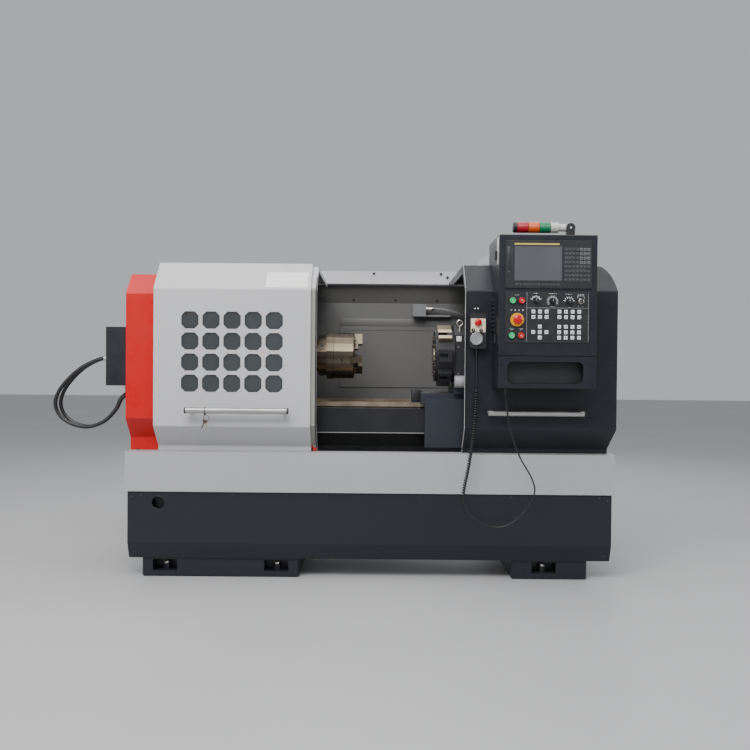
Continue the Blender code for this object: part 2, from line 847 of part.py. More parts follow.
def make_pedestal(name, span, pockets):
    """Cast pedestal, open below, with a pocket for a levelling bolt at each foot."""
    start, length = along(span[0]), span[1]
    rear = PEDESTAL_FRONT_Y + PEDESTAL_DEPTH
    top = TRAY_BOTTOM - GAP
    wall = PEDESTAL_WALL
    piece = Piece(
        name,
        block((start, PEDESTAL_FRONT_Y, 0), (start + length, rear, top)),
        "charcoal",
        origin=(start + length / 2, (PEDESTAL_FRONT_Y + rear) / 2, 0),
    )
    piece.bevel(PEDESTAL_EDGE, 1)
    piece.cut(block((start + wall, PEDESTAL_FRONT_Y + wall, -wall), (start + length - wall, rear - wall, top - wall)))
    width, depth, height = POCKET_SIZE
    shells, holes, bolts = [], [], []
    reach = wall / 2
    for place in pockets:
        low = along(place)
        for face, inward in ((PEDESTAL_FRONT_Y, 1), (rear, -1)):
            outer = face + inward * reach
            inner = face + inward * (depth + POCKET_WALL)
            shells.append(block(
                (low - POCKET_WALL, min(outer, inner), 0.001),
                (low + width + POCKET_WALL, max(outer, inner), POCKET_FLOOR + height + POCKET_WALL),
            ))
            mouth = face - inward * reach
            end = face + inward * depth
            holes.append(block(
                (low, min(mouth, end), POCKET_FLOOR),
                (low + width, max(mouth, end), POCKET_FLOOR + height),
            ))
            middle = (low + width / 2, face + inward * depth * 0.55)
            bolts.append(rod("Z", POCKET_FLOOR - 0.01, POCKET_FLOOR + FOOT_BOLT_HEIGHT, middle, FOOT_BOLT_RADIUS, 6))
    piece.add(*shells)
    piece.cut(*holes)
    piece.add(*bolts)


def make_tray():
    """Open chip tray with its rim folded in."""
    left, right = along(0), along(TRAY_LENGTH)
    wall, rim = TRAY_SHEET, TRAY_RIM
    piece = Piece(
        "chip_tray",
        block((left, TRAY_FRONT_Y, TRAY_BOTTOM), (right, TRAY_REAR_Y, TRAY_TOP)),
        "light_grey",
        origin=((left + right) / 2, (TRAY_FRONT_Y + TRAY_REAR_Y) / 2, TRAY_BOTTOM),
    )
    piece.cut(block(
        (left + wall, TRAY_FRONT_Y + wall, TRAY_BOTTOM + wall),
        (right - wall, TRAY_REAR_Y - wall, TRAY_TOP - wall),
    ))
    piece.cut(block(
        (left + rim, TRAY_FRONT_Y + rim, TRAY_TOP - 2 * wall),
        (right - rim, TRAY_REAR_Y - rim, TRAY_TOP + wall),
    ))


def sheet_along(outline, low, high, fold=0.0):
    """Open sheet: an outline in (y, z) swept along X, its two ends folded in by a distance."""
    bm = bmesh.new()
    rows = [[bm.verts.new((x, y, z)) for y, z in outline] for x in (low, high)]
    if fold:
        edge = inset(outline, fold)
        rows.insert(0, [bm.verts.new((low, y, z)) for y, z in edge])
        rows.append([bm.verts.new((high, y, z)) for y, z in edge])
    for row, after in zip(rows, rows[1:]):
        for i in range(len(outline) - 1):
            bm.faces.new((row[i], row[i + 1], after[i + 1], after[i]))
    return mesh_of(bm, "sheet")


def thickened(piece, thickness):
    """Solidify on an open sheet, half to each side."""
    step = piece.object.modifiers.new("thickness", "SOLIDIFY")
    step.thickness = thickness
    step.offset = 0.0
    step.use_even_offset = True
    return piece


def make_skirt():
    """Front skirt under the tray: one folded sheet with a round access hole."""
    low, high = along(SKIRT_INSET), along(TRAY_LENGTH - SKIRT_INSET)
    top = TRAY_BOTTOM - GAP - SHEET / 2
    foot = SKIRT_FRONT_Y + SKIRT_SLANT
    outline = [
        (SKIRT_FRONT_Y + SKIRT_FLANGE, top),
        (SKIRT_FRONT_Y, top),
        (SKIRT_FRONT_Y, SKIRT_FOLD_Z),
        (foot, SKIRT_BOTTOM),
        (foot + SKIRT_LIP, SKIRT_BOTTOM),
    ]
    piece = Piece(
        "front_skirt",
        sheet_along(outline, low, high, SKIRT_FLANGE * 0.5),
        "charcoal",
        origin=((low + high) / 2, SKIRT_FRONT_Y, SKIRT_BOTTOM),
    )
    thickened(piece, SHEET)
    hole_x, hole_z = SKIRT_HOLE
    piece.cut(rod("Y", SKIRT_FRONT_Y - SHEET, SKIRT_FRONT_Y + SHEET, (along(hole_x), hole_z), SKIRT_HOLE_RADIUS, SMALL))


def make_bed():
    """Cast bed with two ground ways, feet over the pedestals and the screw's cover."""
    start, end = along(BED_START), along(BED_START + BED_LENGTH)
    rear = BED_REAR_Y
    edge, thick = WAY_OVERHANG, WAY_THICKNESS
    outline = [
        (BED_FRONT_Y, WAY_TOP),
        (BED_FRONT_Y, WAY_TOP - thick),
        (BED_FRONT_Y + edge, WAY_TOP - thick),
        (BED_FRONT_Y + edge, BED_UNDERSIDE),
        (rear - edge, BED_UNDERSIDE),
        (rear - edge, WAY_TOP - thick),
        (rear, WAY_TOP - thick),
        (rear, WAY_TOP),
        (rear - WAY_WIDTH, WAY_TOP),
        (rear - WAY_WIDTH, WAY_TOP - thick),
        (BED_FRONT_Y + WAY_WIDTH, WAY_TOP - thick),
        (BED_FRONT_Y + WAY_WIDTH, WAY_TOP),
    ]
    piece = Piece(
        "bed",
        prism("X", start, end, outline),
        "cast",
        origin=((start + end) / 2, (BED_FRONT_Y + rear) / 2, WAY_TOP),
    )
    floor = TRAY_BOTTOM + TRAY_SHEET + GAP
    feet = []
    for first, length in (LEFT_PEDESTAL, RIGHT_PEDESTAL):
        feet.append(block(
            (max(along(first) + PEDESTAL_WALL, start + edge), BED_FRONT_Y + 2 * edge, floor),
            (along(first) + length - PEDESTAL_WALL, rear - 2 * edge, BED_UNDERSIDE + thick),
        ))
    piece.add(*feet)
    windows = []
    for i in range(BED_WEB_COUNT):
        low = along(BED_WINDOW_START) + i * (BED_WINDOW_LENGTH + BED_WEB)
        windows.append(block(
            (low, BED_FRONT_Y + WAY_WIDTH + edge, BED_UNDERSIDE - 0.2),
            (low + BED_WINDOW_LENGTH, rear - WAY_WIDTH - edge, WAY_TOP),
        ))
    piece.cut(*windows)
    first, last = along(SCREW_START), along(SCREW_START + SCREW_LENGTH)
    wall = BED_FRONT_Y + edge + SHEET
    cover = [
        (wall, COVER_TOP),
        (COVER_FRONT_Y, COVER_TOP),
        (COVER_FRONT_Y, COVER_BOTTOM),
        (COVER_FRONT_Y - COVER_LIP, COVER_BOTTOM),
        (COVER_FRONT_Y - COVER_LIP, COVER_BOTTOM + SHEET),
        (COVER_FRONT_Y - SHEET, COVER_BOTTOM + SHEET),
        (COVER_FRONT_Y - SHEET, COVER_TOP + SHEET),
        (wall, COVER_TOP + SHEET),
    ]
    bearings = []
    for low, high in ((first - 2 * SCREW_SHANK, first - GAP), (last + GAP, last + 2 * SCREW_SHANK)):
        bearings.append(block(
            (low, COVER_FRONT_Y, SCREW_Z - 2 * SCREW_RADIUS),
            (high, wall, COVER_TOP + SHEET / 2),
        ))
    piece.add(prism("X", first - 2 * SCREW_SHANK, last + 2 * SCREW_SHANK, cover))
    piece.add(*bearings)
    hole = bore_radius(SCREW_SHANK_RADIUS, TINY)
    deep = SCREW_SHANK + 2 * GAP
    piece.cut(
        rod("X", first - deep, first, (SCREW_Y, SCREW_Z), hole, TINY),
        rod("X", last, last + deep, (SCREW_Y, SCREW_Z), hole, TINY),
    )


def make_screw():
    """Feed screw of the carriage, in its two bearings."""
    first, last = along(SCREW_START), along(SCREW_START + SCREW_LENGTH)
    step = SCREW_RADIUS * 0.12
    profile = [(first - SCREW_SHANK, 0.0), (first - SCREW_SHANK, SCREW_SHANK_RADIUS)]
    profile += [(first + GAP, SCREW_SHANK_RADIUS), (first + GAP, SCREW_RADIUS - step)]
    profile += [(first + SCREW_SHANK, SCREW_RADIUS)]
    profile += [(last - SCREW_SHANK, SCREW_RADIUS), (last - GAP, SCREW_RADIUS - step)]
    profile += [(last - GAP, SCREW_SHANK_RADIUS), (last + SCREW_SHANK, SCREW_SHANK_RADIUS)]
    profile += [(last + SCREW_SHANK, 0.0)]
    spot = (first, SCREW_Y, SCREW_Z)
    carrier = pivot("screw_axis", spot)
    Piece("feed_screw", turned("X", (SCREW_Y, SCREW_Z), profile, TINY), "steel", spot, carrier, True)


# Spindle line

def make_headstock():
    """Cast headstock, bored for the spindle, with a boss round the nose."""
    start, end = along(HEADSTOCK_START), along(HEADSTOCK_START + HEADSTOCK_LENGTH)
    half = HEADSTOCK_WIDTH / 2
    top = SPINDLE_Z + HEADSTOCK_OVER_AXIS
    cut = HEADSTOCK_CHAMFER
    low = WAY_TOP + GAP
    outline = [
        (SPINDLE_Y - half, low),
        (SPINDLE_Y + half, low),
        (SPINDLE_Y + half, top - cut),
        (SPINDLE_Y + half - cut, top),
        (SPINDLE_Y - half + cut, top),
        (SPINDLE_Y - half, top - cut),
    ]
    piece = Piece(
        "headstock",
        prism("X", start, end, outline),
        "cast",
        origin=((start + end) / 2, SPINDLE_Y, WAY_TOP),
    )
    centre = (SPINDLE_Y, SPINDLE_Z)
    boss = HEADSTOCK_BOSS
    piece.add(rod("X", end - boss, end + boss, centre, HEADSTOCK_BOSS_RADIUS, ROUND))
    piece.cut(rod("X", start - boss, end + 2 * boss, centre, bore_radius(SPINDLE_BODY_RADIUS, ROUND), ROUND))


def make_spindle(carrier):
    """Hollow spindle: nose flange, body in the headstock and a thin rear end."""
    rear = along(SPINDLE_REAR)
    inner = along(HEADSTOCK_START - HEADSTOCK_BOSS)
    nose = along(HEADSTOCK_END) + GAP
    profile = [
        (rear, SPINDLE_BORE),
        (rear, SPINDLE_REAR_RADIUS),
        (inner, SPINDLE_REAR_RADIUS),
        (inner, SPINDLE_BODY_RADIUS),
        (nose, SPINDLE_BODY_RADIUS),
        (nose, SPINDLE_NOSE_RADIUS),
        (nose + SPINDLE_NOSE, SPINDLE_NOSE_RADIUS),
        (nose + SPINDLE_NOSE, SPINDLE_BORE),
    ]
    centre = (SPINDLE_Y, SPINDLE_Z)
    Piece("spindle", turned("X", centre, profile, ROUND), "steel", world_of(carrier), carrier, True)


def make_chuck(carrier):
    """Chuck with its adapter; three slots in the face guide the jaws."""
    start = along(CHUCK_START)
    seat = start + ADAPTER_LENGTH
    body = seat + CHUCK_BASE_LENGTH
    face = along(CHUCK_FACE)
    groove = CHUCK_GROOVE
    profile = [
        (start, SPINDLE_BORE),
        (start, ADAPTER_RADIUS),
        (seat, ADAPTER_RADIUS),
        (seat, CHUCK_BASE_RADIUS),
        (body - groove, CHUCK_BASE_RADIUS),
        (body - groove, CHUCK_RADIUS - groove),
        (body, CHUCK_RADIUS - groove),
        (body, CHUCK_RADIUS),
        (face - groove, CHUCK_RADIUS),
        (face, CHUCK_RADIUS - groove),
        (face, SPINDLE_BORE),
    ]
    centre = (SPINDLE_Y, SPINDLE_Z)
    piece = Piece("chuck_body", turned("X", centre, profile, FINE), "steel", world_of(carrier), carrier, True)
    half = JAW_ROOT_WIDTH / 2 + GAP
    slots = []
    for i in range(JAW_COUNT):
        slot = block(
            (face - JAW_ROOT - GAP, -half, JAW_INNER - 0.02),
            (face + groove, half, CHUCK_BASE_RADIUS + 2 * groove),
        )
        slots.append(moved(slot, jaw_turn(i)))
    for slot in slots:
        piece.cut(slot)


def jaw_turn(index):
    """Matrix that turns a shape from straight up on the X axis to a jaw's place."""
    angle = math.radians(JAW_FIRST_ANGLE - 90.0 + 360.0 / JAW_COUNT * index)
    return Matrix.Translation((0, SPINDLE_Y, SPINDLE_Z)) @ Matrix.Rotation(angle, 4, "X")


def make_jaws(carrier):
    """Stepped soft jaws, each in its slot."""
    face = along(CHUCK_FACE)
    for i in range(JAW_COUNT):
        turn = jaw_turn(i)
        radial = (JAW_INNER + JAW_OUTER) / 2
        spot = turn @ Vector((face, 0, radial))
        slide = pivot(f"jaw_slide_{i + 1}", spot, carrier)
        root = block(
            (face - JAW_ROOT, -JAW_ROOT_WIDTH / 2, JAW_INNER - 0.008),
            (face - GAP, JAW_ROOT_WIDTH / 2, JAW_OUTER - 0.008),
        )
        head = block(
            (face - JAW_ROOT / 2, -JAW_WIDTH / 2, JAW_INNER),
            (face + JAW_PROUD, JAW_WIDTH / 2, JAW_OUTER),
        )
        step = block(
            (face + JAW_PROUD * 0.45, -JAW_WIDTH, JAW_INNER - 0.01),
            (face + JAW_PROUD * 1.5, JAW_WIDTH, JAW_INNER + 0.028),
        )
        piece = Piece(f"chuck_jaw_{i + 1}", moved(root, turn), "steel", spot, slide)
        piece.add(moved(head, turn))
        piece.cut(moved(step, turn))


def make_pulleys(carrier):
    """Belt pulleys on the spindle and on the motor, and the belt round them."""
    spindle_axis = (SPINDLE_Y, SPINDLE_Z)
    motor_axis = (MOTOR_Y, MOTOR_Z)
    start, end = along(PULLEY_START), along(PULLEY_START + PULLEY_WIDTH)
    bore = SPINDLE_REAR_RADIUS + GAP
    Piece(
        "spindle_pulley",
        turned("X", spindle_axis, pulley_profile(start, end, SPINDLE_PULLEY_RADIUS, bore), ROUND),
        "cast", world_of(carrier), carrier, True,
    )
    seat = along(HEADSTOCK_START) + MOTOR_SHAFT_RADIUS
    profile = pulley_profile(start, end, MOTOR_PULLEY_RADIUS, MOTOR_SHAFT_RADIUS)
    profile = [(start, 0.0)] + profile[1:-1] + [(end, MOTOR_SHAFT_RADIUS), (seat, MOTOR_SHAFT_RADIUS), (seat, 0.0)]
    spot = (start, MOTOR_Y, MOTOR_Z)
    shaft = pivot("motor_axis", spot)
    Piece("motor_pulley", turned("X", motor_axis, profile, ROUND), "cast", spot, shaft, True)
    inner_spindle = bore_radius(SPINDLE_PULLEY_RADIUS, ROUND)
    inner_motor = bore_radius(MOTOR_PULLEY_RADIUS, ROUND)
    low, high = start + PULLEY_RIM + 2 * GAP, end - PULLEY_RIM - 2 * GAP
    thick = BELT_THICKNESS
    outer = belt_outline(spindle_axis, inner_spindle + thick, motor_axis, inner_motor + thick)
    inner = belt_outline(spindle_axis, inner_spindle, motor_axis, inner_motor)
    piece = Piece("drive_belt", prism("X", low, high, outer), "rubber", (start, SPINDLE_Y, SPINDLE_Z), None, True)
    piece.cut(prism("X", low - thick, high + thick, inner))


def pulley_profile(start, end, radius, bore):
    """Flanged pulley with a bore."""
    rim, edge = PULLEY_RIM, BELT_THICKNESS + PULLEY_RIM / 2
    return [
        (start, bore),
        (start, radius + edge),
        (start + rim, radius + edge),
        (start + rim, radius),
        (end - rim, radius),
        (end - rim, radius + edge),
        (end, radius + edge),
        (end, bore),
    ]


def belt_outline(first, first_radius, second, second_radius):
    """Outline of a belt round two circles."""
    line = Vector(second) - Vector(first)
    heading = math.degrees(math.atan2(line.y, line.x))
    wrap = math.degrees(math.acos((first_radius - second_radius) / line.length))
    spots = arc(first, first_radius, heading + wrap, heading + 360 - wrap, ROUND)
    return spots + arc(second, second_radius, heading - wrap, heading + wrap, ROUND // 2)


def make_motor():
    """Main motor on its stand, with a terminal box and a bore for its shaft."""
    start = along(HEADSTOCK_START)
    end = start + MOTOR_LENGTH
    centre = (MOTOR_Y, MOTOR_Z)
    inset_x, length, width = MOTOR_STAND
    floor = TRAY_BOTTOM + TRAY_SHEET + GAP
    edge = MOTOR_RADIUS * 0.08
    profile = [
        (start, 0.0),
        (start, MOTOR_RADIUS),
        (start + 2 * edge, MOTOR_RADIUS),
        (start + 2 * edge, MOTOR_RADIUS - edge),
        (end - 4 * edge, MOTOR_RADIUS - edge),
        (end - 4 * edge, MOTOR_RADIUS),
        (end - edge, MOTOR_RADIUS),
        (end, MOTOR_RADIUS - edge),
        (end, 0.0),
    ]
    piece = Piece("main_motor", turned("X", centre, profile, ROUND), "dark_grey", (start, MOTOR_Y, MOTOR_Z), None, True)
    piece.add(block(
        (start + inset_x, MOTOR_Y - width / 2, floor),
        (start + inset_x + length, MOTOR_Y + width / 2, MOTOR_Z - MOTOR_RADIUS / 2),
    ))
    piece.add(block(
        (start + inset_x, MOTOR_Y - width / 4, MOTOR_Z + MOTOR_RADIUS / 2),
        (start + inset_x + length / 2, MOTOR_Y + width / 4, MOTOR_Z + MOTOR_RADIUS * 1.35),
    ))
    hole = bore_radius(MOTOR_SHAFT_RADIUS, ROUND)
    piece.cut(rod("X", start - edge, start + MOTOR_SHAFT_RADIUS + 2 * GAP, centre, hole, ROUND))


def make_cylinder(carrier):
    """Rotary cylinder that draws the chuck, on the spindle's rear end."""
    seat = along(SPINDLE_REAR) - GAP
    step = seat - CYLINDER_LENGTH
    end = step - DISTRIBUTOR_LENGTH
    edge = CYLINDER_RADIUS * 0.06
    profile = [
        (end, SPINDLE_BORE),
        (end, DISTRIBUTOR_RADIUS),
        (step, DISTRIBUTOR_RADIUS),
        (step, CYLINDER_RADIUS - edge),
        (step + edge, CYLINDER_RADIUS),
        (seat - edge, CYLINDER_RADIUS),
        (seat, CYLINDER_RADIUS - edge),
        (seat, SPINDLE_BORE),
    ]
    Piece("chuck_cylinder", turned("X", (SPINDLE_Y, SPINDLE_Z), profile, ROUND), "aluminium",
          world_of(carrier), carrier, True)


def make_guard():
    """Box over the rotary cylinder, open to the end cover, with two hose glands."""
    left, right = along(-GUARD_REACH), along(END_COVER_START) - GAP
    rear, top = GUARD_FRONT_Y + GUARD_DEPTH, GUARD_BOTTOM + GUARD_HEIGHT
    wall = GUARD_SHEET
    piece = Piece(
        "cylinder_guard",
        block((left, GUARD_FRONT_Y, GUARD_BOTTOM), (right, rear, top)),
        "charcoal",
        origin=(right, (GUARD_FRONT_Y + rear) / 2, GUARD_BOTTOM),
    )
    piece.cut(block(
        (left + wall, GUARD_FRONT_Y + wall, GUARD_BOTTOM + wall),
        (right + wall, rear - wall, top - wall),
    ))
    sink = wall / 2
    for y, place, _ in HOSES.values():
        piece.add(
            rod("X", left - GLAND_LENGTH, left + sink, (y, HOSE_EXIT_Z), GLAND_RADIUS, TINY),
            rod("Z", GUARD_BOTTOM - GLAND_LENGTH, GUARD_BOTTOM + sink, (along(place), y), GLAND_RADIUS, TINY),
        )


def smooth_route(points, spacing):
    """Smooth curve through a route's own points, with the length to each of its fine points."""
    knots = [Vector(point) for point in points]
    knots = [2 * knots[0] - knots[1]] + knots + [2 * knots[-1] - knots[-2]]
    fine = []
    for a, b, c, d in zip(knots, knots[1:], knots[2:], knots[3:]):
        for i in range(12):
            fine.append(between(a, b, c, d, i / 12))
    fine.append(knots[-2])
    lengths = [0.0]
    for a, b in zip(fine, fine[1:]):
        lengths.append(lengths[-1] + (b - a).length)
    return fine, lengths, spacing


def between(a, b, c, d, part):
    """Point of a centripetal Catmull-Rom curve from b to c."""
    t0 = 0.0
    t1 = t0 + math.sqrt((b - a).length)
    t2 = t1 + math.sqrt((c - b).length)
    t3 = t2 + math.sqrt((d - c).length)
    t = t1 + (t2 - t1) * part
    ab = a.lerp(b, (t - t0) / (t1 - t0))
    bc = b.lerp(c, (t - t1) / (t2 - t1))
    cd = c.lerp(d, (t - t2) / (t3 - t2))
    return ab.lerp(bc, (t - t0) / (t2 - t0)).lerp(bc.lerp(cd, (t - t1) / (t3 - t1)), part)


def spot_at(route, goal):
    """Point and direction of a smooth route at a length along it."""
    fine, lengths, _ = route
    index = 0
    while index < len(lengths) - 2 and lengths[index + 1] < goal:
        index += 1
    part = (goal - lengths[index]) / (lengths[index + 1] - lengths[index])
    return fine[index].lerp(fine[index + 1], part), (fine[index + 1] - fine[index]).normalized()


def stretch(route, start, end, gap=(0.0, 0.0)):
    """Points of a smooth route between two lengths; each end runs straight, off by its gap."""
    spacing = route[2]
    first, ahead = spot_at(route, start)
    last, behind = spot_at(route, end)
    spots = [first + ahead * gap[0], first + ahead * (gap[0] + spacing / 2)]
    count = max(1, round((end - start - 2 * spacing) / spacing))
    for i in range(count + 1):
        spots.append(spot_at(route, start + spacing + (end - start - 2 * spacing) * i / count)[0])
    spots += [last - behind * (gap[1] + spacing / 2), last - behind * gap[1]]
    return spots


HOSE_ROUTE = (
    (-0.281, 1.046),
    (-0.338, 1.018),
    (-0.387, 0.981),
    (-0.435, 0.931),
    (-0.468, 0.884),
    (-0.486, 0.836),
    (-0.486, 0.80),
    (-0.468, 0.758),
    (-0.431, 0.723),
    (-0.378, 0.70),
    (-0.325, 0.693),
    (-0.281, 0.703),
    (-0.237, 0.726),
    (-0.202, 0.759),
    (-0.173, 0.798),
    (-0.151, 0.845),
)


def make_hoses():
    """Two hoses that loop from the guard's left side back to its underside, side by side."""
    first = along(-GUARD_REACH) - GLAND_LENGTH - GAP
    last = GUARD_BOTTOM - GLAND_LENGTH - GAP
    for name, (y, place, width) in HOSES.items():
        end = along(place)
        points = [(first - i * HOSE_RADIUS, y, HOSE_EXIT_Z) for i in (0, 1, 2)]
        for x, z in HOSE_ROUTE:
            points.append((along(HOSE_LOOP_MIDDLE + (x - HOSE_LOOP_MIDDLE) * width), y, z))
        points += [(end, y, last - i * HOSE_RADIUS) for i in (2, 1, 0)]
        route = smooth_route(points, 3 * HOSE_RADIUS)
        spots = stretch(route, 0.0, route[1][-1])
        Piece(name, tube(spots, HOSE_RADIUS, 2), "rubber", points[0], None, True)


def make_end_cover():
    """Red hood over the belt drive, its left end closed by a plate with a round hole."""
    low, high = along(END_COVER_START), along(END_COVER_START + END_COVER_WIDTH)
    foot_y = END_COVER_FACE_Y + END_COVER_LOWER_SLOPE[0]
    bottom = TRAY_TOP + GAP
    lip = TRAY_TOP + END_COVER_LIP
    lower = lip + END_COVER_LOWER_SLOPE[1]
    upper = lower + END_COVER_FACE
    top = upper + END_COVER_UPPER_SLOPE[1]
    roof_y = END_COVER_FACE_Y + END_COVER_UPPER_SLOPE[0]
    outline = [
        (END_COVER_REAR_Y, bottom),
        (END_COVER_REAR_Y, top - END_COVER_REAR_SLOPE),
        (END_COVER_REAR_Y - END_COVER_REAR_SLOPE, top),
        (roof_y, top),
        (END_COVER_FACE_Y, upper),
        (END_COVER_FACE_Y, lower),
        (foot_y, lip),
        (foot_y, bottom),
    ]
    outer = filleted(outline, 0.01, 2)[0]
    inner = inset(outer, SHEET)
    inner[0] = (inner[0][0], bottom - SHEET)
    inner[-1] = (inner[-1][0], bottom - SHEET)
    piece = Piece(
        "left_end_cover",
        prism("X", low, high, outer),
        "red",
        origin=(low, END_COVER_FACE_Y, bottom),
    )
    piece.cut(prism("X", low + SHEET, high + SHEET, inner))
    piece.cut(rod("X", low - SHEET, low + 2 * SHEET, (SPINDLE_Y, SPINDLE_Z), END_COVER_HOLE_RADIUS, ROUND))


# Enclosure

def door_corners(slope_points=0):
    """Outer face of a door in (y, z) before its folds are rounded, from the roof's rear down."""
    lip_y = DOOR_FACE_Y + DOOR_LOWER_SLOPE[0]
    roof = (ROOF_FRONT_Y, DOOR_TOP)
    fold = (DOOR_FACE_Y, UPPER_FOLD_Z)
    points = [(ROOF_REAR_Y, DOOR_TOP - ROOF_DROP), (ROOF_REAR_Y - ROOF_SEAT, DOOR_TOP - ROOF_DROP), roof]
    for i in range(1, slope_points + 1):
        part = i / (slope_points + 1)
        points.append((roof[0] + (fold[0] - roof[0]) * part, roof[1] + (fold[1] - roof[1]) * part))
    points += [fold, (DOOR_FACE_Y, LOWER_FOLD_Z), (lip_y, TRAY_TOP + DOOR_LIP), (lip_y, DOOR_BOTTOM)]
    return points


def folded_shell(corners, low, high, contour):
    """Sheet-metal shell: a contour of (end, shift, depth) points swept down an outline.

    End 0 is the left end and 1 the right; depth is inward from the outer face.
    """
    outline, folds = filleted(corners, DOOR_FOLD_RADIUS)
    layers = {}
    for _, _, depth in contour:
        if depth < DOOR_FOLD_RADIUS:
            layers[depth] = inset(outline, depth)
        else:
            sharp = inset(corners, depth)
            layers[depth] = [sharp[fold] for fold in folds]
    bm = bmesh.new()
    rings = []
    for i in range(len(outline)):
        ring = []
        for end, shift, depth in contour:
            y, z = layers[depth][i]
            x = high(z) if end else low
            ring.append(bm.verts.new((x + shift, y, z)))
        rings.append(ring)
    count = len(contour)
    for ring, after in zip(rings, rings[1:]):
        for k in range(count):
            following = (k + 1) % count
            bm.faces.new((ring[k], ring[following], after[following], after[k]))
    bm.faces.new(rings[0])
    bm.faces.new(rings[-1])
    bmesh.ops.remove_doubles(bm, verts=bm.verts, dist=0.00001)
    return mesh_of(bm, "shell")


def roof_relief(low, high):
    """Space of the beam's ledge, below the rear of a door's roof."""
    underside = DOOR_TOP - ROOF_DROP - SHEET
    return block(
        (low, ROOF_REAR_Y - ROOF_SEAT, underside - 2 * DOOR_FLANGE),
        (high, ROOF_REAR_Y + SHEET, underside),
    )


def make_left_door(carrier):
    """Sliding door with a window grid, its pane, and an edge strip on the right."""
    low = along(LEFT_DOOR_X)
    high = low + LEFT_DOOR[1]
    step, strip, flange = EDGE_STEP, EDGE_STRIP, EDGE_STEP + EDGE_FLANGE
    contour = (
        (0, 0.0, 0.0),
        (1, 0.0, 0.0),
        (1, 0.0, step),
        (1, strip, step),
        (1, strip, flange),
        (1, strip - SHEET, flange),
        (1, strip - SHEET, step + SHEET),
        (1, -SHEET, step + SHEET),
        (1, -SHEET, SHEET),
        (0, SHEET, SHEET),
        (0, SHEET, DOOR_FLANGE),
        (0, 0.0, DOOR_FLANGE),
    )
    spot = world_of(carrier)
    shell = folded_shell(door_corners(), low, lambda z: high, contour)
    piece = Piece("left_door_shell", shell, "light_grey", spot, carrier)
    piece.cut(roof_relief(low - SHEET, high + strip + SHEET))
    holes = []
    left = low + WINDOW_LEFT
    for column in range(WINDOW_COLUMNS):
        for row in range(WINDOW_ROWS):
            x = left + column * WINDOW_PITCH
            z = WINDOW_TOP - row * WINDOW_PITCH
            holes.append(prism(
                "Y", DOOR_FACE_Y - SHEET, DOOR_FACE_Y + 2 * SHEET,
                rounded_rectangle((x, z - WINDOW_SIZE), (x + WINDOW_SIZE, z), WINDOW_CHAMFER, 1),
            ))
    piece.cut(*holes)
    width = (WINDOW_COLUMNS - 1) * WINDOW_PITCH + WINDOW_SIZE
    height = (WINDOW_ROWS - 1) * WINDOW_PITCH + WINDOW_SIZE
    front = DOOR_FACE_Y + SHEET + GAP
    Piece(
        "left_door_window",
        block(
            (left - PANE_MARGIN, front, WINDOW_TOP - height - PANE_MARGIN),
            (left + width + PANE_MARGIN, front + PANE_THICKNESS, WINDOW_TOP + PANE_MARGIN),
        ),
        "glass", spot, carrier,
    )
    make_handle("left_door_handle", low + LEFT_HANDLE[0], LEFT_HANDLE[1], spot, carrier)


def make_handle(name, start, length, spot, carrier):
    """Tube handle on two posts."""
    y = DOOR_FACE_Y - HANDLE_STAND
    piece = Piece(name, rod("X", start, start + length, (y, HANDLE_Z), HANDLE_RADIUS, SMALL), "aluminium",
                  spot, carrier, True)
    posts = []
    for x in (start + HANDLE_POST_INSET, start + length - HANDLE_POST_INSET):
        posts.append(rod("Y", y, DOOR_FACE_Y - GAP, (x, HANDLE_Z), HANDLE_POST_RADIUS, TINY))
    piece.add(*posts)


def right_door_end(z):
    """Right end of the right door at a height, drawn in round the upper corner and below."""
    end = along(RIGHT_DOOR_X) + RIGHT_DOOR[1]
    lip = TRAY_TOP + DOOR_LIP
    rise = min(max((z - UPPER_FOLD_Z) / DOOR_UPPER_SLOPE[1], 0.0), 1.0)
    fall = min(max((LOWER_FOLD_Z - z) / (LOWER_FOLD_Z - lip), 0.0), 1.0)
    pull = RIGHT_CORNER * (1.0 - math.sqrt(1.0 - 0.98 * rise * rise))
    return end - pull - RIGHT_LOWER_TAPER * fall


def make_right_door(carrier):
    """Sliding door that carries the control cabinet; its right end is drawn in."""
    low = along(RIGHT_DOOR_X)
    contour = (
        (0, 0.0, 0.0),
        (1, 0.0, 0.0),
        (1, 0.0, DOOR_FLANGE),
        (1, -SHEET, DOOR_FLANGE),
        (1, -SHEET, SHEET),
        (0, SHEET, SHEET),
        (0, SHEET, DOOR_FLANGE),
        (0, 0.0, DOOR_FLANGE),
    )
    spot = world_of(carrier)
    shell = folded_shell(door_corners(4), low, right_door_end, contour)
    piece = Piece("right_door_shell", shell, "charcoal", spot, carrier)
    piece.cut(roof_relief(low - SHEET, low + RIGHT_DOOR[1] + SHEET))
    make_handle("right_door_handle", low + RIGHT_HANDLE[0], RIGHT_HANDLE[1], spot, carrier)


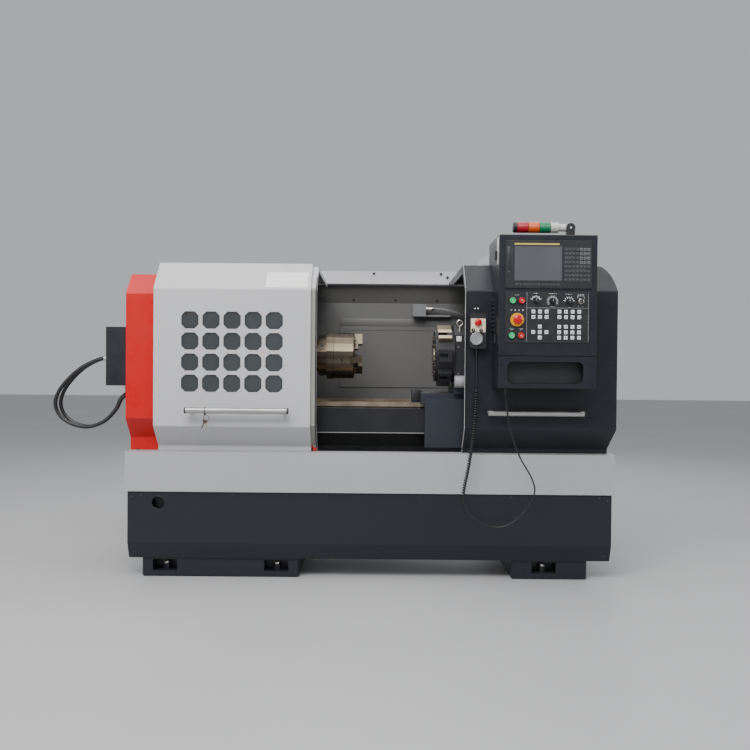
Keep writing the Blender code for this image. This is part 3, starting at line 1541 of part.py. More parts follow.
def make_rear_guard():
    """Rear splash guard: folded sheet with a raised panel and the right end wall."""
    low, high = along(REAR_START), along(END_WALL_X)
    top = BEAM_BOTTOM - GAP - SHEET
    bottom = TRAY_TOP + GAP + SHEET / 2
    y = REAR_WALL_Y + SHEET / 2
    outline = [
        (REAR_WALL_TOP_Y, top),
        (y, REAR_SLANT_Z),
        (y, bottom),
        (y - REAR_FLANGE, bottom),
    ]
    piece = Piece(
        "rear_splash_guard",
        sheet_along(outline, low, high),
        "dark_grey",
        origin=(low, REAR_WALL_Y, bottom),
    )
    thickened(piece, SHEET)
    face = inset(door_corners()[1:], END_WALL_INSET)
    slope = (REAR_WALL_TOP_Y - y) / (top - REAR_SLANT_Z)
    limit = face[0][1]
    wall = [
        (y, TRAY_TOP + 2 * GAP),
        (y, REAR_SLANT_Z),
        (y + slope * (limit - REAR_SLANT_Z), limit),
    ] + face[:-1] + [(face[-1][0], TRAY_TOP + 2 * GAP)]
    piece.add(prism("X", high - SHEET, high + GAP, wall))
    start, end = along(PANEL_START), along(PANEL_START + PANEL_LENGTH)
    step = PANEL_STEP
    front = REAR_WALL_Y - PANEL_PROUD
    frame = block((start, front, PANEL_BOTTOM), (end, y, PANEL_TOP))
    piece.add(frame)
    piece.cut(block(
        (start + step, front - SHEET, PANEL_BOTTOM + step),
        (end - step, front + PANEL_PROUD / 2, PANEL_TOP - step),
    ))


def make_beam():
    """Top beam at the back, with the ledge on which the doors' roofs slide."""
    low, high = along(REAR_START), along(END_WALL_X)
    rear = BEAM_FRONT_Y + BEAM_DEPTH
    seat = DOOR_TOP - ROOF_DROP - SHEET - GAP
    ledge = BEAM_LEDGE_THICKNESS
    outline = [
        (rear, BEAM_BOTTOM),
        (rear, BEAM_BOTTOM + BEAM_HEIGHT),
        (BEAM_FRONT_Y, BEAM_BOTTOM + BEAM_HEIGHT),
        (BEAM_FRONT_Y, seat),
        (BEAM_FRONT_Y - BEAM_LEDGE, seat),
        (BEAM_FRONT_Y - BEAM_LEDGE, seat - ledge),
        (BEAM_FRONT_Y, seat - ledge),
        (BEAM_FRONT_Y, BEAM_BOTTOM),
    ]
    Piece("top_beam", prism("X", low, high, outline), "light_grey", (low, BEAM_FRONT_Y, BEAM_BOTTOM))


def make_work_light():
    """Work light on the rear wall with its bar, plug and conduit."""
    left = along(LIGHT_START)
    width, depth, height = LIGHT_SIZE
    rear = REAR_WALL_Y - GAP
    front = rear - LIGHT_STAND - depth
    piece = Piece(
        "work_light",
        block((left, front, LIGHT_BOTTOM), (left + width, front + depth, LIGHT_BOTTOM + height)),
        "light_grey",
        origin=(left, rear, LIGHT_BOTTOM),
    )
    bar_y = front + depth / 2
    rise = LIGHT_BOTTOM + height * 0.62
    piece.add(block(
        (left + width - GAP * 10, bar_y, LIGHT_BOTTOM),
        (left + width + LIGHT_BAR, rear, LIGHT_BOTTOM + LIGHT_BAR_HEIGHT),
    ))
    start = left + width
    middle = bar_y
    points = [(start - CONDUIT_RADIUS, middle, rise)]
    for x, z in CONDUIT_ROUTE:
        points.append((start + x, middle, rise + z))
    x, y, z = CONDUIT_END
    points.append((start + x - CONDUIT_RADIUS - 4 * CONDUIT_TAIL / 3, middle + y, rise + z))
    end = start + x
    points += [
        (end - CONDUIT_TAIL, rear - 2 * CONDUIT_RADIUS, rise + z - 4 * CONDUIT_TAIL / 3),
        (end, rear - CONDUIT_RADIUS, rise + z - 4 * CONDUIT_TAIL / 3),
        (end, rear, rise + z - 4 * CONDUIT_TAIL / 3),
    ]
    route = smooth_route(points, 2 * CONDUIT_RADIUS)
    piece.add(tube(stretch(route, 0.0, route[1][-1]), CONDUIT_RADIUS, 1))


# Carriage, turret and tailstock

def make_saddle(carrier):
    """Saddle on the ways, with apron, screw nut, rear keeper and cross-feed motor."""
    left = along(SADDLE_START)
    right = left + SADDLE_LENGTH
    low, top = WAY_TOP + GAP, SADDLE_TOP
    spot = world_of(carrier)
    piece = Piece("saddle", block((left, SADDLE_FRONT_Y, low), (right, SADDLE_REAR_Y, top)), "cast", spot, carrier)
    inset_x = APRON_INSET
    hang = WAY_TOP - WAY_THICKNESS
    keep = KEEPER_THICKNESS
    piece.add(block(
        (left + inset_x, APRON_FRONT_Y, APRON_BOTTOM),
        (right - inset_x, APRON_BACK_Y, low + SADDLE_HEIGHT / 2),
    ))
    piece.add(block((left + inset_x, BED_REAR_Y + GAP, hang - keep - GAP), (right - inset_x, SADDLE_REAR_Y, low + keep)))
    piece.add(block(
        (left + inset_x, BED_REAR_Y - WAY_OVERHANG + 2 * GAP, hang - keep - GAP),
        (right - inset_x, BED_REAR_Y + 2 * GAP, hang - GAP),
    ))
    length, width, height = NUT_SIZE
    nut = left + NUT_INSET
    half = NUT_ARM / 2
    under = COVER_BOTTOM - 2 * keep
    piece.add(block(
        (nut, SCREW_Y - half, under - keep),
        (nut + length, SCREW_Y + half, SCREW_Z),
    ))
    piece.add(block(
        (nut, SCREW_Y - width / 2, SCREW_Z - height / 2),
        (nut + length, SCREW_Y + width / 2, SCREW_Z + height / 2),
    ))
    piece.add(block((nut, APRON_BACK_Y - keep, under - keep), (nut + length, SCREW_Y, under)))
    piece.cut(rod("X", nut - keep, nut + length + keep, (SCREW_Y, SCREW_Z), bore_radius(SCREW_RADIUS, TINY), TINY))
    servo_length, servo_depth, servo_height = X_SERVO
    servo = left + CROSS_SLIDE_INSET + (CROSS_SLIDE_LENGTH - servo_length) / 2
    piece.add(block(
        (servo, SADDLE_REAR_Y - keep, low + keep / 2),
        (servo + servo_length, SADDLE_REAR_Y + servo_depth, low + servo_height),
    ))
    piece.add(block(
        (left - WIPER_LENGTH, BED_FRONT_Y, low),
        (left + keep, BED_FRONT_Y + WIPER_WIDTH, top + keep),
    ))
    piece.cut(dovetail(left + CROSS_SLIDE_INSET + CROSS_SLIDE_LENGTH / 2, SADDLE_FRONT_Y - keep, SADDLE_REAR_Y - keep, GAP))


def dovetail(middle, low, high, spare):
    """Dovetail along Y below the saddle's top face; spare widens it into a slot."""
    top = SADDLE_TOP + 4 * GAP
    bottom = SADDLE_TOP - DOVETAIL_HEIGHT - spare
    lean = DOVETAIL_FLARE / DOVETAIL_HEIGHT
    half = DOVETAIL_WIDTH / 2 + spare * (1 + lean)
    foot = half + lean * (top - bottom)
    return prism("Y", low, high, [
        (middle - half, top),
        (middle - foot, bottom),
        (middle + foot, bottom),
        (middle + half, top),
    ])


def make_cross_slide(carrier):
    """Cross slide with its dovetail, under the turret."""
    left = along(CROSS_START)
    right = left + CROSS_SLIDE_LENGTH
    low = SADDLE_TOP + GAP
    rear = CROSS_SLIDE_FRONT_Y + CROSS_SLIDE_DEPTH
    spot = world_of(carrier)
    piece = Piece(
        "cross_slide",
        block((left, CROSS_SLIDE_FRONT_Y, low), (right, rear, CROSS_TOP)),
        "steel", spot, carrier,
    )
    piece.add(dovetail((left + right) / 2, SADDLE_FRONT_Y, rear, 0.0))


def make_turret(carrier):
    """Turret: housing on the cross slide with its motor in front, and the tool disc."""
    left = along(CROSS_START)
    right = left + HOUSING_LENGTH
    front, rear = TURRET_Y - HOUSING_DEPTH / 2, TURRET_Y + HOUSING_DEPTH / 2
    low, top = CROSS_TOP + GAP, SPINDLE_Z + HOUSING_OVER_AXIS
    cut = HOUSING_CHAMFER
    outline = [
        (front, low),
        (rear, low),
        (rear, top - cut),
        (rear - cut, top),
        (front + cut, top),
        (front, top - cut),
    ]
    centre = (TURRET_Y, SPINDLE_Z)
    spot = world_of(carrier)
    housing = Piece("turret_housing", prism("X", left, right, outline), "dark_grey", spot, carrier)
    middle = left + HOUSING_LENGTH / 2
    wire = EYEBOLT_WIRE
    ring_z = top + EYEBOLT_RADIUS + wire
    housing.add(rod("Z", top - wire, top + 1.5 * wire, (middle, TURRET_Y), 2 * wire, TINY))
    housing.add(eye_ring((middle, TURRET_Y, ring_z)))
    housing.cut(rod("X", left - wire, left + TURRET_SHAFT + 2 * GAP, centre,
                    bore_radius(TURRET_SHAFT_RADIUS, ROUND), ROUND))
    housing.add(rod("X", left + wire, left + TURRET_MOTOR_LENGTH, (TURRET_MOTOR_Y, TURRET_MOTOR_Z),
                    TURRET_MOTOR_RADIUS, SMALL))
    housing.add(block(
        (left + 2 * wire, TURRET_MOTOR_Y, TURRET_MOTOR_Z - 2 * wire),
        (left + TURRET_MOTOR_LENGTH - wire, front + wire, TURRET_MOTOR_Z + 2 * wire),
    ))
    make_turret_disc(left - 2 * GAP, centre, carrier)


def eye_ring(centre):
    """Ring of a lifting eye, standing across X."""
    spots = []
    for i in range(TINY):
        angle = 2 * math.pi * i / TINY
        spots.append((centre[0], centre[1] + EYEBOLT_RADIUS * math.cos(angle), centre[2] + EYEBOLT_RADIUS * math.sin(angle)))
    curve = bpy.data.curves.new("ring", "CURVE")
    curve.dimensions = "3D"
    spline = curve.splines.new("POLY")
    spline.points.add(len(spots) - 1)
    for point, spot in zip(spline.points, spots):
        point.co = (*spot, 1.0)
    spline.use_cyclic_u = True
    curve.bevel_depth = EYEBOLT_WIRE
    curve.bevel_resolution = 1
    shape = bpy.data.objects.new("ring", curve)
    bpy.context.scene.collection.objects.link(shape)
    mesh = evaluated_mesh(shape)
    bpy.data.objects.remove(shape)
    return mesh


def make_turret_disc(right, centre, carrier):
    """Tool disc with a flat and a tool block at each station, on its shaft."""
    left = right - TURRET_THICKNESS
    spot = (right, *centre)
    disc_axis = pivot("turret_axis", spot, carrier)
    piece = Piece(
        "turret_disc",
        rod("X", left, right, centre, TURRET_RADIUS, TURRET_STATIONS * 4),
        "dark_steel", spot, disc_axis,
    )
    piece.add(rod("X", right - TURRET_SHAFT, right + TURRET_SHAFT, centre, TURRET_SHAFT_RADIUS, ROUND))
    half = TOOL_BLOCK_WIDTH / 2
    edge = TOOL_BLOCK_INSET
    blocks, slots = [], []
    for i in range(TURRET_STATIONS):
        turn = Matrix.Translation((0, *centre)) @ Matrix.Rotation(2 * math.pi * i / TURRET_STATIONS, 4, "X")
        blocks.append(moved(block(
            (left + edge, -half, TURRET_RADIUS - 2 * edge),
            (right - edge, half, TURRET_OVER_TOOLS),
        ), turn))
        slots.append(moved(block(
            (left - edge, -half / 3, TURRET_RADIUS + edge / 2),
            (right - 2.5 * edge, half / 3, TURRET_OVER_TOOLS + edge),
        ), turn))
    for item in blocks:
        piece.add(item)
    piece.cut(*slots)


def make_tailstock(carrier):
    """Tailstock body with a round barrel, its quill and the live centre."""
    left = along(TAILSTOCK_START)
    right = left + TAILSTOCK_LENGTH
    low = WAY_TOP + GAP
    half = TAILSTOCK_WIDTH / 2
    barrel = TAILSTOCK_BARREL_RADIUS
    waist = half * 0.45
    outline = [
        (SPINDLE_Y - half, low),
        (SPINDLE_Y + half, low),
        (SPINDLE_Y + half, low + 0.05),
        (SPINDLE_Y + waist, SPINDLE_Z),
        (SPINDLE_Y - waist, SPINDLE_Z),
        (SPINDLE_Y - half, low + 0.05),
    ]
    centre = (SPINDLE_Y, SPINDLE_Z)
    spot = world_of(carrier)
    body = Piece("tailstock_body", prism("X", left, right, outline), "cast", spot, carrier)
    body.add(rod("X", left - QUILL_SHORT, right - QUILL_SHORT, centre, barrel, ROUND))
    body.cut(rod("X", left - 2 * QUILL_SHORT, right - 3 * QUILL_SHORT, centre, bore_radius(QUILL_RADIUS, ROUND), ROUND))
    nose = left - QUILL_SHORT - QUILL_PROUD
    quill_slide = pivot("quill_slide", (nose, *centre), carrier)
    quill = Piece(
        "tailstock_quill",
        rod("X", nose, right - 4 * QUILL_SHORT, centre, QUILL_RADIUS, ROUND),
        "steel", (nose, *centre), quill_slide, True,
    )
    quill.cut(rod("X", nose - GAP, nose + CENTER_SHANK + 2 * GAP, centre,
                  bore_radius(CENTER_SHANK_RADIUS, SMALL), SMALL))
    face = nose - GAP
    tip = face - CENTER_LENGTH
    profile = [
        (face + CENTER_SHANK, 0.0),
        (face + CENTER_SHANK, CENTER_SHANK_RADIUS),
        (face, CENTER_SHANK_RADIUS),
        (face, CENTER_RADIUS),
        (face - CENTER_LENGTH * 0.55, CENTER_RADIUS),
        (face - CENTER_LENGTH * 0.6, CENTER_RADIUS * 0.62),
        (tip, 0.0),
    ]
    center_axis = pivot("center_axis", (face, *centre), quill_slide)
    Piece("live_center", turned("X", centre, profile, SMALL), "steel", (face, *centre), center_axis, True)


# Electrical cabinet

def make_cabinet():
    """Electrical cabinet behind the tray, open at the back behind its hinged door."""
    left, right = along(CABINET_START), along(CABINET_START + CABINET_LENGTH)
    front = TRAY_REAR_Y + GAP
    rear = front + CABINET_DEPTH
    low, high = CABINET_BOTTOM, CABINET_BOTTOM + CABINET_HEIGHT
    wall = CABINET_SHEET
    piece = Piece(
        "electrical_cabinet",
        block((left, front, low), (right, rear, high)),
        "light_grey",
        origin=((left + right) / 2, front, low),
    )
    piece.cut(block((left + wall, front + wall, low + wall), (right - wall, rear + wall, high - wall)))
    plate = front + CABINET_PLATE
    margin = CABINET_MARGIN
    piece.add(
        block((left + margin, front + wall / 2, low + margin), (right - margin, plate, high - margin)),
    )
    rows = []
    for height, depth, count in CABINET_ROWS:
        pitch = (CABINET_LENGTH - 4 * margin) / count
        for i in range(count):
            x = left + 2 * margin + i * pitch
            z = low + margin + height
            rows.append(block((x, plate - wall, z), (x + pitch * 0.8, plate + depth, z + CABINET_ROW_HEIGHT)))
    piece.add(*rows)
    hinge_x = right
    carrier = pivot("cabinet_hinge", (hinge_x, rear, low))
    face = rear + GAP
    back = face + CABINET_DOOR_DEPTH
    door = Piece(
        "cabinet_door",
        block((left, face, low), (right, back, high)),
        "light_grey",
        origin=(hinge_x, rear, low),
        parent=carrier,
    )
    door.cut(block((left + wall, face - wall, low + wall), (right - wall, back - wall, high - wall)))
    middle = low + CABINET_HEIGHT / 2
    door.add(block(
        (left + margin, back - wall / 2, middle - margin),
        (left + margin * 1.6, back + CABINET_LATCH, middle + margin),
    ))


# Control cabinet and what is on it

def make_control_cabinet(carrier):
    """Control cabinet seated on the door's face, slope and roof, with a storage shelf."""
    left = along(CONTROL_X)
    right = left + CONTROL_WIDTH
    outline = filleted(door_corners(), DOOR_FOLD_RADIUS)[0][1:]
    seat = [point for point in inset(outline, -GAP) if point[1] > CONTROL_BOTTOM]
    seat_bottom = (seat[-1][0], CONTROL_BOTTOM)
    rear = CONTROL_REAR_Y
    roof = on_line(seat[0], seat[1], rear)
    front = PANEL_DOOR_REAR_Y + GAP
    upper = CONTROL_SEAM - GAP
    behind = [point for point in seat if point[0] < rear]
    outline = [
        (CONTROL_FACE_Y, CONTROL_BOTTOM),
        (CONTROL_FACE_Y, upper),
        (front, upper),
        (front, CONTROL_TOP),
        (rear, CONTROL_TOP),
        (rear, roof),
    ] + behind + [seat_bottom]
    spot = world_of(carrier)
    piece = Piece("control_cabinet", prism("X", left, right, outline), "charcoal", spot, carrier)
    wall = CONTROL_SHEET
    piece.cut(block(
        (left + wall, front - wall, CONTROL_SEAM + wall),
        (right - wall, DOOR_FACE_Y - 4 * wall, UPPER_FOLD_Z),
    ))
    middle = (left + right) / 2
    duct_end = on_line(seat[0], seat[1], DUCT_REAR_Y)
    piece.add(prism("X", middle - DUCT_WIDTH / 2, middle + DUCT_WIDTH / 2, [
        (rear - 2 * wall, DUCT_TOP),
        (DUCT_REAR_Y, DUCT_TOP),
        (DUCT_REAR_Y, duct_end),
        (rear - 2 * wall, on_line(seat[0], seat[1], rear - 2 * wall)),
    ]))
    shelf_width, shelf_height = SHELF_SIZE
    shelf = left + SHELF_INSET
    piece.cut(prism(
        "Y", CONTROL_FACE_Y - wall, CONTROL_FACE_Y + SHELF_DEPTH,
        rounded_rectangle((shelf, SHELF_FLOOR), (shelf + shelf_width, SHELF_FLOOR + shelf_height), SHELF_CORNER),
    ))
    gland_x, gland_y = CORD_GLAND
    piece.add(rod("Z", CONTROL_BOTTOM - CORD_GLAND_LENGTH, CONTROL_BOTTOM + wall,
                  (left + gland_x, gland_y), CORD_GLAND_RADIUS, TINY))


def on_line(first, second, y):
    """Height of the line through two (y, z) points at a depth."""
    return first[1] + (second[1] - first[1]) * (y - first[0]) / (second[0] - first[0])


def make_panel_door(carrier):
    """Hinged front of the control cabinet: a deep pan with two cut-outs and its hinges."""
    left = along(CONTROL_X)
    right = left + CONTROL_WIDTH
    rear = PANEL_DOOR_REAR_Y
    hinge = (left - HINGE_RADIUS, rear - HINGE_RADIUS, CONTROL_SEAM)
    swing = pivot("panel_door_hinge", hinge, carrier)
    wall = CONTROL_SHEET
    piece = Piece(
        "control_panel_door",
        block((left, CONTROL_FACE_Y, CONTROL_SEAM), (right, rear, CONTROL_TOP)),
        "charcoal", hinge, swing,
    )
    piece.bevel(PANEL_DOOR_EDGE, 1)
    piece.cut(block(
        (left + wall, CONTROL_FACE_Y + wall, CONTROL_SEAM + wall),
        (right - wall, rear + wall, CONTROL_TOP - wall),
    ))
    piece.cut(
        panel_hole(DISPLAY, DISPLAY_BOTTOM, DISPLAY_BODY_INSET - GAP),
        panel_hole(OPERATOR, OPERATOR_BOTTOM, OPERATOR_CUTOUT_INSET),
    )
    knuckles = []
    for height in HINGE_HEIGHTS:
        low = CONTROL_SEAM + height
        knuckles.append(rod("Z", low, low + HINGE_LENGTH, hinge[:2], HINGE_RADIUS * 1.15, TINY))
    piece.add(*knuckles)
    return swing, hinge


def panel_hole(field, z, margin):
    """Cut-out in the front of the panel door behind a field at a height."""
    x, width, height = field
    left = along(CONTROL_X) + x
    return block(
        (left + margin, CONTROL_FACE_Y - SHEET, z + margin),
        (left + width - margin, CONTROL_FACE_Y + 2 * SHEET, z + height - margin),
    )


def make_display(swing, hinge):
    """Display unit: bezel in front of the panel door, body through it, recessed screen."""
    x, width, height = DISPLAY
    z = DISPLAY_BOTTOM
    left = along(CONTROL_X) + x
    back = CONTROL_FACE_Y - GAP
    front = back - DISPLAY_BEZEL
    edge = DISPLAY_BODY_INSET
    piece = Piece("display_unit", block((left, front, z), (left + width, back, z + height)), "black", hinge, swing)
    piece.bevel(DISPLAY_EDGE, 1)
    piece.add(block(
        (left + edge, back - DISPLAY_BEZEL / 2, z + edge),
        (left + width - edge, back + DISPLAY_BODY_DEPTH, z + height - edge),
    ))
    screen_x, screen_z, screen_width, screen_height = SCREEN
    piece.cut(block(
        (left + screen_x, front - SHEET, z + screen_z),
        (left + screen_x + screen_width, front + SCREEN_RECESS, z + screen_z + screen_height),
    ))


def key_places():
    """Lower left corner of each key on the operator panel."""
    places = []
    for x, z, columns, rows in KEY_FIELDS:
        for column in range(columns):
            for row in range(rows):
                places.append((x + column * KEY_PITCH[0], z + row * KEY_PITCH[1]))
    for column, row in ((0, 0), (1, 0), (-1, 0), (0, 1), (0, -1)):
        places.append((KEY_CROSS[0] + column * KEY_PITCH[0], KEY_CROSS[1] + row * KEY_PITCH[1]))
    return places


def make_operator_panel(swing, hinge):
    """Operator panel plate with rings, holes and the raised membrane keys."""
    x, width, height = OPERATOR
    z = OPERATOR_BOTTOM
    left = along(CONTROL_X) + x
    back = CONTROL_FACE_Y - GAP
    front = PANEL_FRONT_Y
    piece = Piece("operator_panel", block((left, front, z), (left + width, back, z + height)), "black", hinge, swing)
    keys = []
    for key_x, key_z in key_places():
        keys.append(block(
            (left + key_x, front - KEY_HEIGHT, z + key_z),
            (left + key_x + KEY_SIZE, front + KEY_HEIGHT / 2, z + key_z + KEY_SIZE),
        ))
    rings, holes = [], []
    origin = along(CONTROL_X)
    for place in BUTTONS.values():
        middle = (origin + place[0], z + place[1])
        rings.append(rod("Y", front - BUTTON_RING, back - GAP, middle, BUTTON_RING_RADIUS, SMALL))
        holes.append(rod("Y", front - 2 * BUTTON_RING, back + GAP, middle, bore_radius(BUTTON_RADIUS, SMALL), SMALL))
    middle = (origin + ESTOP[0], z + ESTOP[1])
    rings.append(rod("Y", front - ESTOP_PLATE, back - GAP, middle, ESTOP_PLATE_RADIUS, ROUND))
    holes.append(rod("Y", front - 2 * ESTOP_PLATE, back + GAP, middle, bore_radius(ESTOP_STEM_RADIUS, SMALL), SMALL))
    for place in (*DIALS.values(), KEY_SWITCH):
        middle = (origin + place[0], z + place[1])
        holes.append(rod("Y", front - SHEET, back + GAP, middle, bore_radius(DIAL_STEM_RADIUS, TINY), TINY))
    piece.add(*keys, *rings)
    piece.cut(*holes)


def make_buttons(swing):
    """Push buttons and the emergency stop; each slides straight in."""
    origin = along(CONTROL_X)
    front = PANEL_FRONT_Y - BUTTON_PROUD
    for name, (x, z) in BUTTONS.items():
        centre = (origin + x, OPERATOR_BOTTOM + z)
        spot = (centre[0], front, centre[1])
        slide = pivot(f"{name}_slide", spot, swing)
        edge = BUTTON_RADIUS * 0.12
        profile = [
            (front, 0.0),
            (front, BUTTON_RADIUS - edge),
            (front + edge, BUTTON_RADIUS),
            (front + BUTTON_LENGTH, BUTTON_RADIUS),
            (front + BUTTON_LENGTH, 0.0),
        ]
        finish = "green" if name in ("power_on_button", "cycle_start_button") else "button_red"
        Piece(name, turned("Y", centre, profile, SMALL), finish, spot, slide, True)
    centre = (origin + ESTOP[0], OPERATOR_BOTTOM + ESTOP[1])
    head = PANEL_FRONT_Y - ESTOP_PROUD
    spot = (centre[0], head, centre[1])
    slide = pivot("estop_slide", spot, swing)
    neck = PANEL_FRONT_Y - ESTOP_PLATE - 0.011
    profile = [
        (head, 0.0),
        (head + 0.0008, ESTOP_RADIUS * 0.55),
        (head + 0.004, ESTOP_RADIUS * 0.9),
        (head + 0.009, ESTOP_RADIUS),
        (neck, ESTOP_RADIUS),
        (neck, ESTOP_STEM_RADIUS),
        (PANEL_FRONT_Y + BUTTON_LENGTH, ESTOP_STEM_RADIUS),
        (PANEL_FRONT_Y + BUTTON_LENGTH, 0.0),
    ]
    Piece("estop_button", turned("Y", centre, profile, SMALL), "button_red", spot, slide, True)


def make_dials(swing):
    """Rotary dials with a pointer ridge, and the key switch."""
    origin = along(CONTROL_X)
    back = PANEL_FRONT_Y - DIAL_GAP
    front = back - DIAL_HEIGHT
    for name, (x, z) in DIALS.items():
        centre = (origin + x, OPERATOR_BOTTOM + z)
        spot = (centre[0], back, centre[1])
        turn = pivot(f"{name}_axis", spot, swing)
        profile = [
            (front, 0.0),
            (front, DIAL_RADIUS * 0.78),
            (back - DIAL_HEIGHT * 0.3, DIAL_RADIUS * 0.86),
            (back - DIAL_HEIGHT * 0.3, DIAL_RADIUS),
            (back, DIAL_RADIUS),
            (back, DIAL_STEM_RADIUS),
            (back + DIAL_STEM, DIAL_STEM_RADIUS),
            (back + DIAL_STEM, 0.0),
        ]
        piece = Piece(name, turned("Y", centre, profile, TINY), "dark_grey", spot, turn, True)
        ridge = DIAL_RADIUS * 0.16
        piece.add(block(
            (centre[0] - ridge, front - ridge, centre[1]),
            (centre[0] + ridge, back - ridge, centre[1] + DIAL_RADIUS * 0.97),
        ))
    centre = (origin + KEY_SWITCH[0], OPERATOR_BOTTOM + KEY_SWITCH[1])
    spot = (centre[0], back, centre[1])
    turn = pivot("key_switch_axis", spot, swing)
    front = back - KEY_BARREL_HEIGHT
    profile = [
        (front, 0.0),
        (front, KEY_BARREL_RADIUS),
        (back, KEY_BARREL_RADIUS),
        (back, DIAL_STEM_RADIUS),
        (back + DIAL_STEM, DIAL_STEM_RADIUS),
        (back + DIAL_STEM, 0.0),
    ]
    piece = Piece("key_switch", turned("Y", centre, profile, TINY), "steel", spot, turn, True)
    thick, wide, proud = KEY_BLADE
    piece.add(block(
        (centre[0] - thick / 2, front - proud, centre[1] - wide / 2),
        (centre[0] + thick / 2, front + thick / 2, centre[1] + wide / 2),
    ))


# Hand pendant

def make_pendant(carrier):
    """Hand pendant on the door: case, stop button, hand wheel and its boot."""
    left = along(PENDANT_X)
    width, depth, height = PENDANT_SIZE
    low = PENDANT_BOTTOM
    back, front = PENDANT_BACK_Y, PENDANT_FACE_Y
    spot = world_of(carrier)
    piece = Piece(
        "pendant_body",
        prism("Y", front, back, rounded_rectangle((left, low), (left + width, low + height), PENDANT_ROUND)),
        "black", spot, carrier,
    )
    stop = (left + PENDANT_STOP[0], low + PENDANT_STOP[1])
    wheel = (left + PENDANT_WHEEL[0], low + PENDANT_WHEEL[1])
    knobs = []
    for x, z in PENDANT_KNOBS:
        centre = (left + x, low + z)
        knobs.append(rod("Y", front - PENDANT_WHEEL_HEIGHT * 0.8, front + SHEET, centre, PENDANT_KNOB_RADIUS, TINY))
    boot_top, boot_end = PENDANT_BOOT_RADII
    boot = rod("Z", low - PENDANT_BOOT, low + SHEET, (left + PENDANT_CORD_X, (front + back) / 2), boot_end, TINY, boot_top)
    piece.add(*knobs, boot)
    stem = bore_radius(PENDANT_STEM_RADIUS, TINY)
    deep = front + 0.02
    piece.cut(
        rod("Y", front - SHEET, deep + 0.006, stop, stem, TINY),
        rod("Y", front - SHEET, deep + 2 * GAP, wheel, stem, TINY),
    )
    head = front - 0.016
    press = pivot("pendant_stop_slide", (stop[0], head, stop[1]), carrier)
    profile = [
        (head, 0.0),
        (head + 0.001, PENDANT_STOP_RADIUS * 0.6),
        (head + 0.004, PENDANT_STOP_RADIUS),
        (head + 0.009, PENDANT_STOP_RADIUS),
        (head + 0.009, PENDANT_STEM_RADIUS),
        (deep, PENDANT_STEM_RADIUS),
        (deep, 0.0),
    ]
    Piece("pendant_stop", turned("Y", stop, profile, SMALL), "button_red", (stop[0], head, stop[1]), press, True)
    face = front - 2 * GAP - PENDANT_WHEEL_HEIGHT
    hub = front - 2 * GAP
    edge = PENDANT_WHEEL_HEIGHT * 0.12
    profile = [
        (face + 2 * edge, 0.0),
        (face + 2 * edge, PENDANT_WHEEL_RADIUS * 0.72),
        (face, PENDANT_WHEEL_RADIUS * 0.78),
        (face, PENDANT_WHEEL_RADIUS - edge),
        (face + edge, PENDANT_WHEEL_RADIUS),
        (hub, PENDANT_WHEEL_RADIUS),
        (hub, PENDANT_STEM_RADIUS),
        (deep, PENDANT_STEM_RADIUS),
        (deep, 0.0),
    ]
    turn = pivot("pendant_wheel_axis", (wheel[0], hub, wheel[1]), carrier)
    wheel_piece = Piece("pendant_wheel", turned("Y", wheel, profile, SMALL), "aluminium",
                        (wheel[0], hub, wheel[1]), turn, True)
    grip = (wheel[0], wheel[1] + PENDANT_WHEEL_RADIUS * 0.52)
    wheel_piece.add(rod("Y", face - 0.004, face + 3 * edge, grip, PENDANT_KNOB_RADIUS * 0.7, TINY))


def cord_route():
    """Smooth route of the pendant cord, from its boot to the gland under the cabinet."""
    left = along(RIGHT_DOOR_X)
    top = (along(PENDANT_X) + PENDANT_CORD_X, (PENDANT_FACE_Y + PENDANT_BACK_Y) / 2)
    first = PENDANT_BOTTOM - PENDANT_BOOT - GAP
    gland = (along(CONTROL_X) + CORD_GLAND[0], CORD_GLAND[1])
    last = CONTROL_BOTTOM - CORD_GLAND_LENGTH - GAP
    points = [(*top, first - i * CORD_RADIUS) for i in (0, 3, 6)]
    points += [(left + x, y, z) for x, y, z in CORD_ROUTE]
    points += [(*gland, last - i * CORD_RADIUS) for i in (6, 3, 0)]
    return smooth_route(points, 3 * 2 * CORD_RADIUS)


def make_pendant_cord(carrier):
    """Pendant cord in three stretches: straight lead, curly part and loose cable."""
    route = cord_route()
    half = GAP / 2
    curl_end = LEAD_LENGTH + CURL_LENGTH
    spans = (
        ("pendant_lead", 0.0, LEAD_LENGTH, (0.0, half), CORD_RADIUS),
        ("pendant_curl", LEAD_LENGTH, curl_end, (half, half), CURL_RADIUS),
        ("pendant_cable", curl_end, route[1][-1], (half, 0.0), CORD_RADIUS),
    )
    spot = world_of(carrier)
    for name, start, end, gap, radius in spans:
        Piece(name, tube(stretch(route, start, end, gap), radius, 2), "rubber", spot, carrier, True)


# Signal lamp

